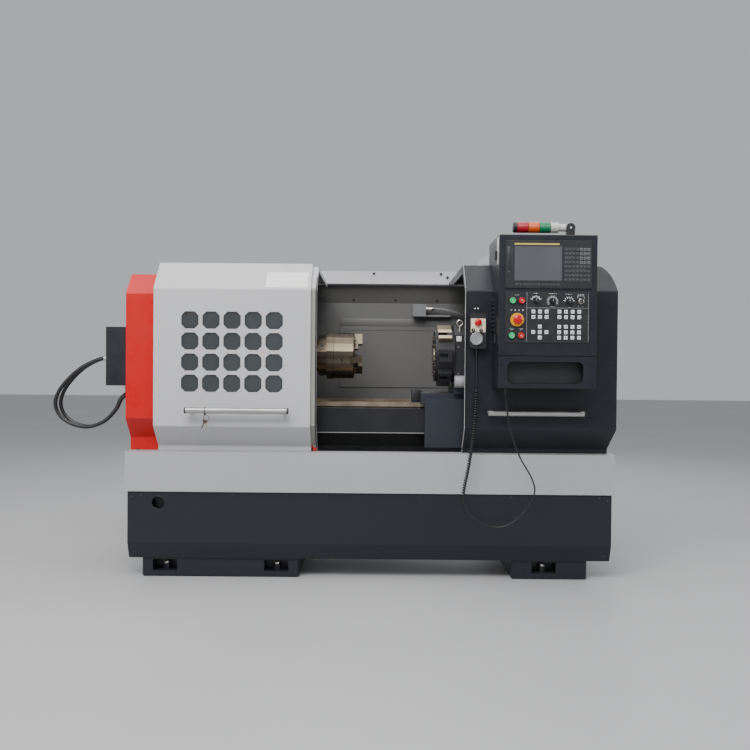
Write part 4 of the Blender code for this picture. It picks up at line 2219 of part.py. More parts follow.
def make_lamp(carrier):
    """Signal lamp folded down: bracket, base with its pin and the stack of lenses."""
    hinge_x = along(CONTROL_X + LAMP_HINGE_X)
    half_arm = LAMP_ARM_WIDTH / 2
    ear = LAMP_EAR
    radius = LAMP_HINGE_RADIUS
    spot = world_of(carrier)
    bottom = CONTROL_TOP + GAP
    bracket = Piece(
        "lamp_bracket",
        block(
            (hinge_x - radius, LAMP_Y - half_arm - GAP - ear - 0.008, bottom),
            (hinge_x + radius, LAMP_Y + half_arm + GAP + ear + 0.008, bottom + ear),
        ),
        "black", spot, carrier,
    )
    ears = []
    for side in (-1, 1):
        near = LAMP_Y + side * (half_arm + GAP)
        far = near + side * ear
        low, high = min(near, far), max(near, far)
        ears.append(rod("Y", low, high, (hinge_x, LAMP_Z), radius, SMALL))
        ears.append(block((hinge_x - radius * 0.9, low, bottom + ear / 2), (hinge_x + radius * 0.9, high, LAMP_Z)))
    for item in ears:
        bracket.add(item)
    pin = LAMP_PIN_RADIUS
    reach = half_arm + GAP + ear
    bracket.cut(rod("Y", LAMP_Y - reach - ear, LAMP_Y + reach + ear, (hinge_x, LAMP_Z), bore_radius(pin, TINY), TINY))
    axis = (hinge_x, LAMP_Y, LAMP_Z)
    fold = pivot("lamp_hinge", axis, carrier)
    stem_end = hinge_x - radius
    base_start = stem_end - LAMP_STEM
    base_end = base_start - LAMP_BASE
    spigot = base_end - LAMP_SPIGOT
    centre = (LAMP_Y, LAMP_Z)
    profile = [
        (spigot, 0.0),
        (spigot, LAMP_SPIGOT_RADIUS),
        (base_end, LAMP_SPIGOT_RADIUS),
        (base_end, LAMP_RADIUS),
        (base_start, LAMP_RADIUS),
        (base_start, LAMP_STEM_RADIUS),
        (stem_end - GAP * 5, LAMP_STEM_RADIUS),
        (stem_end - GAP * 5, 0.0),
    ]
    base = Piece("lamp_base", turned("X", centre, profile, SMALL), "black", axis, fold, True)
    base.add(rod("Y", LAMP_Y - half_arm, LAMP_Y + half_arm, (hinge_x, LAMP_Z), radius * 0.82, SMALL))
    base.add(block(
        (stem_end - LAMP_STEM / 2, LAMP_Y - half_arm, LAMP_Z - half_arm),
        (hinge_x, LAMP_Y + half_arm, LAMP_Z + half_arm),
    ))
    base.add(rod("Y", LAMP_Y - reach, LAMP_Y + reach, (hinge_x, LAMP_Z), pin, TINY))
    seat = base_end - GAP
    groove = LENS_GROOVE
    profile = [(seat, LAMP_SPIGOT_RADIUS + GAP), (seat, LAMP_RADIUS)]
    for i in range(1, LENS_COUNT + 1):
        end = seat - i * LENS_LENGTH
        profile += [(end + groove, LAMP_RADIUS), (end + groove, LAMP_RADIUS - groove)]
        profile += [(end, LAMP_RADIUS - groove), (end, LAMP_RADIUS)]
    tip = seat - LENS_COUNT * LENS_LENGTH - LAMP_CAP
    inner = spigot - GAP
    profile += [(tip + 3 * groove, LAMP_RADIUS), (tip, LAMP_RADIUS - 3 * groove), (tip, 0.0)]
    profile += [(inner, 0.0), (inner, LAMP_SPIGOT_RADIUS + GAP)]
    Piece("lamp_lenses", turned_cup(centre, profile), "lens", axis, fold, True)


def turned_cup(centre, profile):
    """Turned shape whose profile touches the axis twice, once outside and once in its socket."""
    bm = bmesh.new()
    verts = [bm.verts.new((radius, 0.0, position)) for position, radius in profile]
    for i, vert in enumerate(verts):
        after = verts[(i + 1) % len(verts)]
        if vert.co.x > 0 or after.co.x > 0:
            bm.edges.new((vert, after))
    mesh = bpy.data.meshes.new("profile")
    bm.to_mesh(mesh)
    bm.free()
    shape = bpy.data.objects.new("profile", mesh)
    bpy.context.scene.collection.objects.link(shape)
    screw = shape.modifiers.new("turn", "SCREW")
    screw.steps = SMALL
    screw.render_steps = SMALL
    screw.use_merge_vertices = True
    screw.merge_threshold = 0.00001
    made = evaluated_mesh(shape)
    bpy.data.objects.remove(shape)
    return moved(made, placed("X", 0.0, centre))


def main():
    """Build every sub-part."""
    make_pedestal("left_pedestal", LEFT_PEDESTAL, LEFT_POCKETS)
    make_pedestal("right_pedestal", RIGHT_PEDESTAL, RIGHT_POCKETS)
    make_tray()
    make_skirt()
    make_bed()
    make_screw()
    make_headstock()
    spindle_axis = pivot("spindle_axis", (along(CHUCK_START), SPINDLE_Y, SPINDLE_Z))
    make_spindle(spindle_axis)
    make_chuck(spindle_axis)
    make_jaws(spindle_axis)
    make_pulleys(spindle_axis)
    make_cylinder(spindle_axis)
    make_motor()
    make_guard()
    make_hoses()
    make_end_cover()
    left_door = pivot("left_door_slide", (along(LEFT_DOOR_X), DOOR_FACE_Y, TRAY_TOP))
    make_left_door(left_door)
    right_door = pivot("right_door_slide", (along(RIGHT_DOOR_X), DOOR_FACE_Y, TRAY_TOP))
    make_right_door(right_door)
    make_rear_guard()
    make_beam()
    make_work_light()
    carriage = pivot("carriage_slide", (along(SADDLE_START), SPINDLE_Y, WAY_TOP))
    make_saddle(carriage)
    cross = pivot("cross_slide_axis", (along(CROSS_START), TURRET_Y, SADDLE_TOP), carriage)
    make_cross_slide(cross)
    make_turret(cross)
    tailstock = pivot("tailstock_slide", (along(TAILSTOCK_START), SPINDLE_Y, WAY_TOP))
    make_tailstock(tailstock)
    make_cabinet()
    make_control_cabinet(right_door)
    swing, hinge = make_panel_door(right_door)
    make_display(swing, hinge)
    make_operator_panel(swing, hinge)
    make_buttons(swing)
    make_dials(swing)
    make_pendant(right_door)
    make_pendant_cord(right_door)
    make_lamp(right_door)


clear_scene()
PARTS = collection("cnc_turning_lathe")
CUTTERS = collection("cutters")
main()
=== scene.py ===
"""Looks of the CNC turning lathe: camera, cords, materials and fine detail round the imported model.

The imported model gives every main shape. Sizes are in metres, in the model's frame:
+X along the spindle towards the tailstock, +Y to the back, +Z up.
"""
import math

import bmesh
import bpy
from mathutils import Matrix, Vector


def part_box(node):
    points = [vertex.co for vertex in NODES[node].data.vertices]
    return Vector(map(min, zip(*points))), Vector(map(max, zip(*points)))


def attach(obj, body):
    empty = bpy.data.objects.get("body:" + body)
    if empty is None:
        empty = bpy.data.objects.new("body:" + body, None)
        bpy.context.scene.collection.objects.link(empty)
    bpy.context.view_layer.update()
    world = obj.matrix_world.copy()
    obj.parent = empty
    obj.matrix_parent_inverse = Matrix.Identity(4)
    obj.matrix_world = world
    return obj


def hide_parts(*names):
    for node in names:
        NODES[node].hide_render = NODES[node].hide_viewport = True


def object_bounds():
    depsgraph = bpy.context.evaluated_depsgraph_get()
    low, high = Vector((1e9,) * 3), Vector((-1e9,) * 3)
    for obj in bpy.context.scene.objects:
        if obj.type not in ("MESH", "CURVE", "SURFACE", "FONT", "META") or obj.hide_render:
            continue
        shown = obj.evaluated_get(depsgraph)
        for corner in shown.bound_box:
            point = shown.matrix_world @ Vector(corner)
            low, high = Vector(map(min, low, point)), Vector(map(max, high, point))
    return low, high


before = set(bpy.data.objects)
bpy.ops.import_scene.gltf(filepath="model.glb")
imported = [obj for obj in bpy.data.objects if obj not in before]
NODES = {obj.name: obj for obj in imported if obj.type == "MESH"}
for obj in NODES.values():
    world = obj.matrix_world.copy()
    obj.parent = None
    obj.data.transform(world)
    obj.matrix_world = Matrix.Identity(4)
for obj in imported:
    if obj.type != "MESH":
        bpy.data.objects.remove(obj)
CAD_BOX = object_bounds()

# Camera, from the photograph's horizon and folds
CAMERA_PLACE = (0.122, -4.51, 1.05)
CAMERA_LENS = 39.84
CAMERA_SENSOR = 36.0
CAMERA_DOWN = 0.9
CAMERA_ROLL = 0.5

# Places read from the model
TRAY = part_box("chip_tray")
LEFT_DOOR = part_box("left_door_shell")
RIGHT_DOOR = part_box("right_door_shell")
END_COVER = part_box("left_end_cover")
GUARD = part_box("cylinder_guard")
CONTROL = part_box("control_cabinet")
PANEL_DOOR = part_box("control_panel_door")
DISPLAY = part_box("display_unit")
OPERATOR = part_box("operator_panel")
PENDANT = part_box("pendant_body")
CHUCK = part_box("chuck_body")
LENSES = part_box("lamp_lenses")
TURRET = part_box("turret_disc")
TRAY_LEFT = TRAY[0][0]
CHUCK_CENTRE = ((CHUCK[0][1] + CHUCK[1][1]) / 2, (CHUCK[0][2] + CHUCK[1][2]) / 2)
CHUCK_FACE_X = CHUCK[1][0]
TURRET_FACE_X = TURRET[0][0]
TURRET_CENTRE = ((TURRET[0][1] + TURRET[1][1]) / 2, (TURRET[0][2] + TURRET[1][2]) / 2)

# Doors: folds of their contour, and the left one's windows and label
DOOR_FACE_Y = -0.57
DOOR_LOWER_FOLD = 0.737
DOOR_UPPER_FOLD = 1.393
DOOR_ROOF_FRONT = (-0.45, 1.527)
DOOR_LIP = (-0.47, 0.635)
DOOR_FOOT_Z = 0.618
STRIP_START = LEFT_DOOR[1][0] - 0.028
STRIP_STEP = 0.015
CORNER_FOOT_Z = 0.6132
WINDOW_SIZE = 0.082
WINDOW_PITCH = 0.10
WINDOW_CHAMFER = 0.019
WINDOW_SEAL = 0.0016
WINDOW_FIRST = (LEFT_DOOR[0][0] + 0.132, 1.283)
WINDOW_COUNT = (5, 4)
LABEL_WIDTH = 0.20
LABEL_THICKNESS = 0.0006
HANDLE_RADIUS = 0.014

# Key on its cable tie, the outline from the hole in its head
TIE_PLACE = (-0.6745, DOOR_FACE_Y - 0.05, 0.815)
KEY_RING_RADIUS = 0.014
KEY_OUTLINE = (
    (-0.009, 0.0), (-0.010, -0.010), (-0.006, -0.016), (-0.003, -0.017), (-0.003, -0.040), (0.0, -0.044),
    (0.002, -0.041), (0.002, -0.036), (0.0036, -0.034), (0.0022, -0.030), (0.0036, -0.026),
    (0.0028, -0.022), (0.003, -0.017), (0.007, -0.015), (0.010, -0.009), (0.009, 0.0),
)

# Skirt's screws, its lower part on a slant, and the pedestals' pockets from the tray's left end
SKIRT_FACE_Y = -0.53
SKIRT_TOP_SCREWS_X = (-0.998, -0.556, -0.107, 0.341, 0.785, 1.210)
SKIRT_TOP_SCREWS_Z = 0.402
SKIRT_SIDE_SCREWS = ((-1.043, 0.388), (-1.036, 0.120), (1.247, 0.388), (1.233, 0.120))
SKIRT_FOLD_Z = 0.172
SKIRT_SLANT = 0.39
SKIRT_HOLE = (TRAY_LEFT + 0.159, 0.366)
POCKETS = (0.124, 0.665, 1.965)
POCKET_WIDTH = 0.118
POCKET_MIDDLE_Y = -0.455
LEVELLING_NUT_Z = 0.0585
GUARD_FRONT_Y = -0.20
GUARD_WALL = 0.018

# Control on the right door: cabinet, shelf, and parts on the panel from its lower left corner
CONTROL_LEFT = CONTROL[0][0]
CONTROL_LOW = CONTROL[0][2]
CONTROL_FACE_Y = -0.765
CONTROL_RIGHT = CONTROL_LEFT + 0.4425
SHELF_BOX = ((CONTROL_LEFT + 0.0355, 0.954), (CONTROL_LEFT + 0.3885, 1.061))
SHELF_RADIUS = 0.030
SHELF_LIP = 0.003
PANEL_FACE_Y = CONTROL_FACE_Y - 0.0033
DIAL_FRONT_Y = PANEL_FACE_Y - 0.0186
KEY_SWITCH_FRONT_Y = PANEL_FACE_Y - 0.0086
BUTTON_FRONT_Y = PANEL_FACE_Y - 0.010
ESTOP_FRONT_Y = PANEL_FACE_Y - 0.0317
BUTTON_PLACES = {
    "power_on_button": (0.033, 0.189),
    "power_off_button": (0.074, 0.189),
    "cycle_start_button": (0.030, 0.032),
    "feed_hold_button": (0.072, 0.032),
}
ESTOP_PLACE = (0.054, 0.103)
DIAL_PLACES = {
    "spindle_override_dial": (0.138, 0.188),
    "feed_override_dial": (0.213, 0.187),
    "mode_dial": (0.287, 0.185),
}
KEY_SWITCH_PLACE = (0.340, 0.187)

# Dial scales: half the angle they take, number and width of their ticks, and half their captions' width
DIAL_SCALES = {
    "spindle_override_dial": (70, 9, 0.0030),
    "feed_override_dial": (126, 22, 0.0016),
    "mode_dial": (76, 7, 0.0032),
}
DIAL_CAPTIONS = {"spindle_override_dial": 0.011, "feed_override_dial": 0.017, "mode_dial": 0.015}

# Membrane keys: (right, up, columns, rows) of the fields, and the middle of the cross
KEY_SIZE = 0.018
KEY_PITCH = (0.0298, 0.0245)
KEY_FIELDS = ((0.1175, 0.107, 3, 2), (0.2345, 0.107, 4, 2), (0.2345, 0.0145, 4, 3))
KEY_CROSS = (0.1473, 0.039)

# Display unit: screen's left, low, width and height, its frame, and the keys
SCREEN = (0.041, 0.035, 0.214, 0.156)
SCREEN_FRAME = 0.0035
SOFT_KEYS = 12
KEYPAD = (7, 8)

# Hand pendant, one lens of the signal lamp, and the turret's housing
PENDANT_LEFT = PENDANT[0][0]
PENDANT_FACE_Y = PENDANT[1][1] - 0.048
PENDANT_LOW = PENDANT[1][2] - 0.166
LENS_LENGTH = 0.0515
LENS_RIBS = 11
HOUSING_FACE_Y = -0.43

# How far a drawn cord stays from the face it comes out of
GAP = 0.0003

# Drives on the cabinet's plate: (height above the margin, depth, count) of each row, and the cable ducts
CABINET_LATCH = 0.0114
DRIVE_PLATE = 0.030
DRIVE_MARGIN = 0.050
DRIVE_HEIGHT = 0.170
DRIVE_ROWS = ((0.62, 0.17, 3), (0.30, 0.09, 4), (0.06, 0.06, 5))
DRIVE_DUCTS = (0.007, 0.243, 0.515)
DUCT_COMBS = 36

# Wall behind the spindle with its raised panel, and the saddle's wiper on the front way
WALL_Y = 0.437
WALL_PANEL_X = (-0.089, 0.961)
WALL_PANEL_Z = (0.90, 1.264)
WALL_PANEL_STEP = 0.025
WALL_BAND = 0.043
WAY_TOP = 0.845
WIPER_Y = -0.27
WIPER_LENGTH = 0.040
WIPER_WIDTH = 0.070
WIPER_TOP = 0.909

# Hoses of the rotary cylinder, (x, z) for a loop of full width, and each hose's y, end and width
HOSE_DIAMETER = 0.020
HOSE_EXIT_Z = 1.058
HOSE_LOOP_MIDDLE = -0.31
HOSES = {
    "clamp_hose": (-0.117, -0.102, 1.045),
    "release_hose": (-0.083, -0.124, 0.955),
}
HOSE_ROUTE = (
    (-0.281, 1.046),
    (-0.338, 1.018),
    (-0.387, 0.981),
    (-0.435, 0.931),
    (-0.468, 0.884),
    (-0.486, 0.836),
    (-0.486, 0.80),
    (-0.468, 0.758),
    (-0.431, 0.723),
    (-0.378, 0.70),
    (-0.325, 0.693),
    (-0.281, 0.703),
    (-0.237, 0.726),
    (-0.202, 0.759),
    (-0.173, 0.798),
    (-0.151, 0.845),
)

# Pendant cord, (right of the right door's left end, y, z)
CORD_DIAMETER = 0.007
CORD_BOOT = (PENDANT_LEFT + 0.036, (PENDANT_FACE_Y + PENDANT[1][1]) / 2)
CORD_GLAND = (CONTROL_LEFT + 0.047, -0.68)
ROUTE_STEPS = 24
LEAD_LENGTH = 0.16
CURL_LENGTH = 0.525
CURL_RADIUS = 0.006
CURL_TURNS = 43
CURL_POINTS = 14
CURL_EASE = 24
CORD_ROUTE = (
    (0.053, -0.5943, 1.0),
    (0.050, -0.597, 0.86),
    (0.042, -0.60, 0.7335),
    (0.020, -0.60, 0.565),
    (-0.0045, -0.60, 0.425),
    (0.001, -0.601, 0.375),
    (0.028, -0.603, 0.33),
    (0.087, -0.607, 0.293),
    (0.162, -0.611, 0.276),
    (0.220, -0.616, 0.296),
    (0.296, -0.624, 0.372),
    (0.327, -0.631, 0.447),
    (0.314, -0.638, 0.505),
    (0.250, -0.650, 0.617),
    (0.207, -0.658, 0.733),
    (0.188, -0.667, 0.83),
    (0.1785, -0.677, 0.88),
)

# Forms: sides of a ring's wire, how far a mark goes into its face, and the angle that stays sharp
WIRE_SIDES = 12
MARK_SUNK = 0.0004
SHARP_ANGLE = 35

# Colours shaded more than once, where the bed's bare steel begins, and the bright lip under the screw cover,
# part bare steel and part painted highlight
RED = (0.50, 0.003, 0.004)
BED_DARK = (0.0045, 0.0046, 0.0056)
WAY_BOTTOM = 0.8228
LIP_HIGHLIGHT_TOP = 0.7032
LIP_HIGHLIGHT_FRONT_Y = -0.3655


# Camera

def make_camera():
    """Camera at the photograph's viewing angle."""
    data = bpy.data.cameras.new("camera")
    data.lens = CAMERA_LENS
    data.sensor_width = CAMERA_SENSOR
    camera = bpy.data.objects.new("camera", data)
    bpy.context.scene.collection.objects.link(camera)
    camera.location = CAMERA_PLACE
    camera.rotation_euler = (math.radians(90 - CAMERA_DOWN), 0.0, 0.0)
    bpy.context.view_layer.update()
    camera.rotation_euler.rotate_axis("Z", math.radians(CAMERA_ROLL))
    bpy.context.scene.camera = camera


# Materials

def shade(colour, factor):
    """Colour made lighter or darker."""
    return tuple(min(1.0, part * factor) for part in colour)


class Finish:
    """One material, with short ways to add its nodes. Patterns lie in the model's own coordinates."""

    def __init__(self, name):
        self.material = bpy.data.materials.new(name)
        self.material.use_nodes = True
        self.tree = self.material.node_tree
        self.shader = self.tree.nodes["Principled BSDF"]
        self.place = self.tree.nodes.new("ShaderNodeTexCoord").outputs["Object"]

    def set(self, **values):
        """Values of the shader's own sockets."""
        for name, value in values.items():
            self.shader.inputs[name.replace("_", " ")].default_value = value

    def link(self, output, name):
        """An output to one of the shader's sockets."""
        self.tree.links.new(output, self.shader.inputs[name])

    def fill(self, socket, value):
        """A socket's value, or the output that feeds it."""
        if isinstance(value, bpy.types.NodeSocket):
            self.tree.links.new(value, socket)
        else:
            socket.default_value = value

    def node(self, kind, result, values):
        """One output of a new node, its sockets filled by name or number."""
        made = self.tree.nodes.new(kind)
        for name, value in values.items():
            self.fill(made.inputs[name], value)
        return made.outputs[result]

    def noise(self, scale, detail=3.0, stretch=(1.0, 1.0, 1.0), place=None):
        """Noise between 0 and 1; a stretch below 1 draws it out along that axis."""
        spot = self.node("ShaderNodeMapping", "Vector", {"Vector": place or self.place, "Scale": stretch})
        return self.node("ShaderNodeTexNoise", "Fac", {"Vector": spot, "Scale": scale, "Detail": detail})

    def span(self, factor, low, high, start=0.3, end=0.7):
        """A factor spread over a range of values."""
        return self.node("ShaderNodeMapRange", "Result", {
            "Value": factor, "From Min": start, "From Max": end, "To Min": low, "To Max": high,
        })

    def mixed(self, factor, first, second):
        """Blend of two colours, each a plain colour or another node's output."""
        made = self.tree.nodes.new("ShaderNodeMix")
        made.data_type = "RGBA"
        self.tree.links.new(factor, made.inputs["Factor"])
        for name, value in (("A", first), ("B", second)):
            socket = [item for item in made.inputs if item.name == name and item.type == "RGBA"][0]
            self.fill(socket, (*value, 1.0) if isinstance(value, tuple) else value)
        return [item for item in made.outputs if item.type == "RGBA"][0]

    def math(self, operation, first, second=0.0):
        """Result of a Math node on outputs or numbers."""
        result = self.node("ShaderNodeMath", "Value", {0: first, 1: second})
        result.node.operation = operation
        return result

    def parts(self, vector=None):
        """The X, Y and Z of a place."""
        made = self.tree.nodes.new("ShaderNodeSeparateXYZ")
        self.tree.links.new(vector or self.place, made.inputs["Vector"])
        return made.outputs

    def facing_up(self):
        """1 on faces that look up, 0 on the others."""
        normal = self.tree.nodes.new("ShaderNodeNewGeometry").outputs["Normal"]
        return self.span(self.parts(normal)["Z"], 0.0, 1.0, 0.6, 0.95)

    def bumped(self, height, depth, strength=1.0):
        """Bump on the shader's normal, depth in metres."""
        values = {"Height": height, "Distance": depth, "Strength": strength}
        self.link(self.node("ShaderNodeBump", "Normal", values), "Normal")


def painted(name, colour, roughness=0.36, tone=0.05, grain=0.00006, grain_scale=700.0, dust=0.10):
    """Sprayed paint: slight cloudiness, orange peel, and a little dust on what faces up."""
    look = Finish(name)
    cloud = look.noise(2.2, 4.0)
    smudge = look.noise(17.0, 5.0)
    base = look.mixed(cloud, shade(colour, 1 - tone), shade(colour, 1 + tone))
    stained = look.mixed(look.span(smudge, 0.0, 0.35, 0.5, 0.8), base, shade(colour, 1 - 2.2 * tone))
    dusty = look.math("MULTIPLY", look.facing_up(), look.span(smudge, 0.4 * dust, 2.0 * dust))
    look.link(look.mixed(dusty, stained, (0.42, 0.40, 0.37)), "Base Color")
    look.link(look.span(smudge, roughness - 0.05, roughness + 0.10), "Roughness")
    look.bumped(look.noise(grain_scale, 2.0), grain, 0.5)
    look.set(Specular_IOR_Level=0.38)
    return look


def ground_steel(name, colour=(0.58, 0.56, 0.52), roughness=0.24, stretch=(0.02, 1.0, 1.0), oil=0.25,
                 cut=0.00002):
    """Ground or drawn steel with fine lines along one axis and an oily tint in patches."""
    look = Finish(name)
    lines = look.noise(1500.0, 2.0, stretch)
    patch = look.noise(9.0, 4.0)
    base = look.mixed(lines, shade(colour, 0.86), shade(colour, 1.1))
    look.link(look.mixed(look.span(patch, 0.0, oil), base, (0.40, 0.30, 0.17)), "Base Color")
    look.link(look.span(patch, roughness - 0.06, roughness + 0.14), "Roughness")
    look.bumped(lines, cut, 0.4)
    look.set(Metallic=1.0)
    return look


def turned_steel(name, colour, roughness, tint, wear=0.12):
    """Turned steel with fine rings round the spindle's axis, and faint brown from oil and heat."""
    look = Finish(name)
    place = look.parts()
    squares = []
    for item, value in zip("YZ", CHUCK_CENTRE):
        away = look.math("SUBTRACT", place[item], value)
        squares.append(look.math("MULTIPLY", away, away))
    radius = look.math("SQRT", look.math("ADD", *squares))
    round_axis = look.node("ShaderNodeCombineXYZ", "Vector", {"X": place["X"], "Y": radius, "Z": 0.0})
    rings = look.noise(1300.0, 2.0, place=round_axis)
    bands = look.noise(60.0, 2.0, place=round_axis)
    patch = look.noise(14.0, 4.0)
    base = look.mixed(rings, shade(colour, 0.82), shade(colour, 1.12))
    base = look.mixed(look.span(bands, 0.0, 0.35), base, shade(colour, 0.7))
    base = look.mixed(look.span(patch, 0.0, tint), base, (0.30, 0.22, 0.14))
    look.link(base, "Base Color")
    look.link(look.span(patch, roughness - 0.4 * wear, roughness + wear), "Roughness")
    look.bumped(rings, 0.00001, 0.3)
    look.set(Metallic=1.0)
    return look


def moulded(name, colour, roughness=0.42, grain=0.00001, scale=1600.0, tone=0.08):
    """Moulded plastic or rubber with a fine leathery grain."""
    look = Finish(name)
    grained = look.noise(scale, 3.0)
    cloud = look.noise(25.0, 3.0)
    look.link(look.mixed(cloud, shade(colour, 1 - tone), shade(colour, 1 + tone)), "Base Color")
    look.link(look.span(cloud, roughness - 0.05, roughness + 0.08), "Roughness")
    look.bumped(grained, grain, 0.6)
    return look


def glassy(name, colour, alpha, roughness=0.04):
    """Tinted pane that is partly seen through, with faint smears."""
    look = Finish(name)
    smear = look.noise(6.0, 5.0, (1.0, 1.0, 0.35))
    look.link(look.mixed(smear, shade(colour, 0.8), shade(colour, 1.25)), "Base Color")
    look.link(look.span(smear, roughness, roughness + 0.09, 0.45, 0.8), "Roughness")
    look.set(Alpha=alpha, Specular_IOR_Level=0.6)
    return look


def bed_finish():
    """Cast paint on the bed, with oily ground ways on top and a bright steel edge under the screw cover that
    also paints the highlight along that edge.
    """
    look = Finish("bed_paint_and_ways")
    place = look.parts()
    cloud = look.noise(12.0, 4.0)
    lines = look.noise(900.0, 2.0, (0.02, 1.0, 1.0))
    way = look.math("GREATER_THAN", place["Z"], WAY_BOTTOM)
    # Lip under the screw cover: bare steel colour that also paints the highlight along the cover's edge
    front = look.math("LESS_THAN", place["Y"], LIP_HIGHLIGHT_FRONT_Y)
    low = look.math("LESS_THAN", place["Z"], LIP_HIGHLIGHT_TOP)
    lip_highlight = look.math("MULTIPLY", front, low)
    paint = look.mixed(cloud, shade(BED_DARK, 0.7), shade(BED_DARK, 1.4))
    oily = look.mixed(look.span(cloud, 0.0, 1.0), (0.20, 0.145, 0.095), (0.46, 0.36, 0.26))
    ground = look.mixed(look.span(lines, 0.0, 0.5), oily, (0.50, 0.43, 0.35))
    base = look.mixed(way, paint, ground)
    look.link(look.mixed(lip_highlight, base, (0.55, 0.54, 0.52)), "Base Color")
    bare = look.math("MAXIMUM", way, lip_highlight)
    look.link(look.math("MULTIPLY", bare, 0.75), "Metallic")
    shine = look.math("MULTIPLY", bare, 0.14)
    look.link(look.math("SUBTRACT", look.span(cloud, 0.40, 0.52), shine), "Roughness")
    look.bumped(look.noise(260.0, 3.0), 0.00015, 0.5)
    return look


charcoal = painted("charcoal_paint", (0.0118, 0.0126, 0.0190), 0.33, 0.04, 0.00010, 520.0, 0.014)
light_grey = painted("light_grey_paint", (0.46, 0.46, 0.475), 0.36, 0.035, 0.00005, 800.0, 0.06)
tray_grey = painted("tray_paint", (0.36, 0.36, 0.375), 0.40, 0.03, dust=0.08)
red = painted("red_paint", RED, 0.30, 0.012, 0.00005, 800.0, 0.0)
dark_red = painted("dark_red_paint", shade(RED, 0.5), 0.36, 0.05, 0.00005, 800.0, 0.0)
inside = painted("inside_paint", (0.130, 0.127, 0.124), 0.42, 0.10, 0.00008, 600.0)
cast = painted("cast_paint", (0.021, 0.026, 0.037), 0.42, 0.12, 0.00022, 260.0)
dark = painted("dark_paint", (0.024, 0.024, 0.027), 0.42, 0.10, 0.00010, 500.0, 0.05)
disc_black = painted("turret_disc_finish", (0.011, 0.011, 0.013), 0.50, 0.10, 0.00006, 500.0, 0.02)
lamp_grey = painted("work_light_paint", (0.17, 0.175, 0.18), 0.38, 0.06, 0.00005, dust=0.04)
strip_grey = painted("edge_strip_paint", (0.27, 0.265, 0.235), 0.42, 0.05, 0.00005, dust=0.04)
sleeve_grey = painted("motor_sleeve_paint", (0.27, 0.27, 0.28), 0.40, 0.04, 0.00005, dust=0.03)
drive_grey = painted("drive_paint", (0.33, 0.33, 0.34), 0.42, 0.04, 0.00006, 600.0, 0.02)
white_film = painted("bare_plate", (0.74, 0.74, 0.72), 0.35, 0.02, 0.00002, 500.0, 0.02)
bed_paint = bed_finish()
steel = ground_steel("ground_steel")
bright_tube = ground_steel("brushed_tube", (0.46, 0.45, 0.43), 0.30, oil=0.02, cut=0.000002)
chuck_steel = turned_steel("chuck_steel", (0.128, 0.104, 0.076), 0.27, 0.05, 0.03)
jaw_steel = ground_steel("jaw_steel", (0.108, 0.090, 0.068), 0.40, (1.0, 0.03, 1.0), 0.06)
tool_steel = ground_steel("tool_steel", (0.50, 0.43, 0.32), 0.34, (0.05, 1.0, 1.0), 0.35)
dark_steel = turned_steel("blackened_steel", (0.07, 0.068, 0.065), 0.34, 0.3)
black = moulded("black_plastic", (0.013, 0.013, 0.016), grain=0.00004)
rubber = moulded("cord_rubber", (0.011, 0.011, 0.012), 0.36, 0.00003, 900.0)
belt_rubber = moulded("belt_rubber", (0.016, 0.016, 0.016), 0.6, 0.00006, 700.0)
pane = glassy("window_pane", (0.074, 0.083, 0.088), 0.45)
screen_glass = glassy("screen_glass", (0.075, 0.075, 0.085), 1.0, 0.10)
green = moulded("green_plastic", (0.01, 0.26, 0.09), 0.28)
green_lit = moulded("green_button_cap", (0.012, 0.42, 0.13), 0.24)
button_red = moulded("red_plastic", (0.52, 0.010, 0.010), 0.30)
red_lit = moulded("red_button_cap", (0.45, 0.004, 0.006), 0.24)
yellow = moulded("yellow_plate", (0.72, 0.33, 0.006), 0.34)
strip_yellow = moulded("yellow_strip", (0.50, 0.36, 0.09), 0.36)
key_white = moulded("white_key", (0.70, 0.70, 0.72), 0.38)
key_grey = moulded("grey_key", (0.11, 0.11, 0.12), 0.38)
key_dark = moulded("dark_key", (0.030, 0.030, 0.035), 0.36)
line_grey = moulded("printed_grey", (0.26, 0.26, 0.28), 0.5)
panel_text = moulded("printed_white", (0.72, 0.72, 0.72), 0.5)
cream = moulded("cream_label", (0.78, 0.66, 0.50))
lens_red = moulded("red_lens", (0.34, 0.006, 0.014), 0.18)
lens_amber = moulded("amber_lens", (0.60, 0.085, 0.010), 0.18)
lens_green = moulded("green_lens", (0.006, 0.17, 0.07), 0.18)
clear_plastic = moulded("clear_stem", (0.50, 0.50, 0.47), 0.12)
lit_panel = moulded("light_diffuser", (0.70, 0.70, 0.66), 0.35)
aluminium = turned_steel("turned_aluminium", (0.68, 0.68, 0.69), 0.30, 0.0)


def dress(look, *names):
    """Give model nodes a finished material."""
    for name in names:
        for slot in NODES[name].material_slots:
            slot.material = look.material


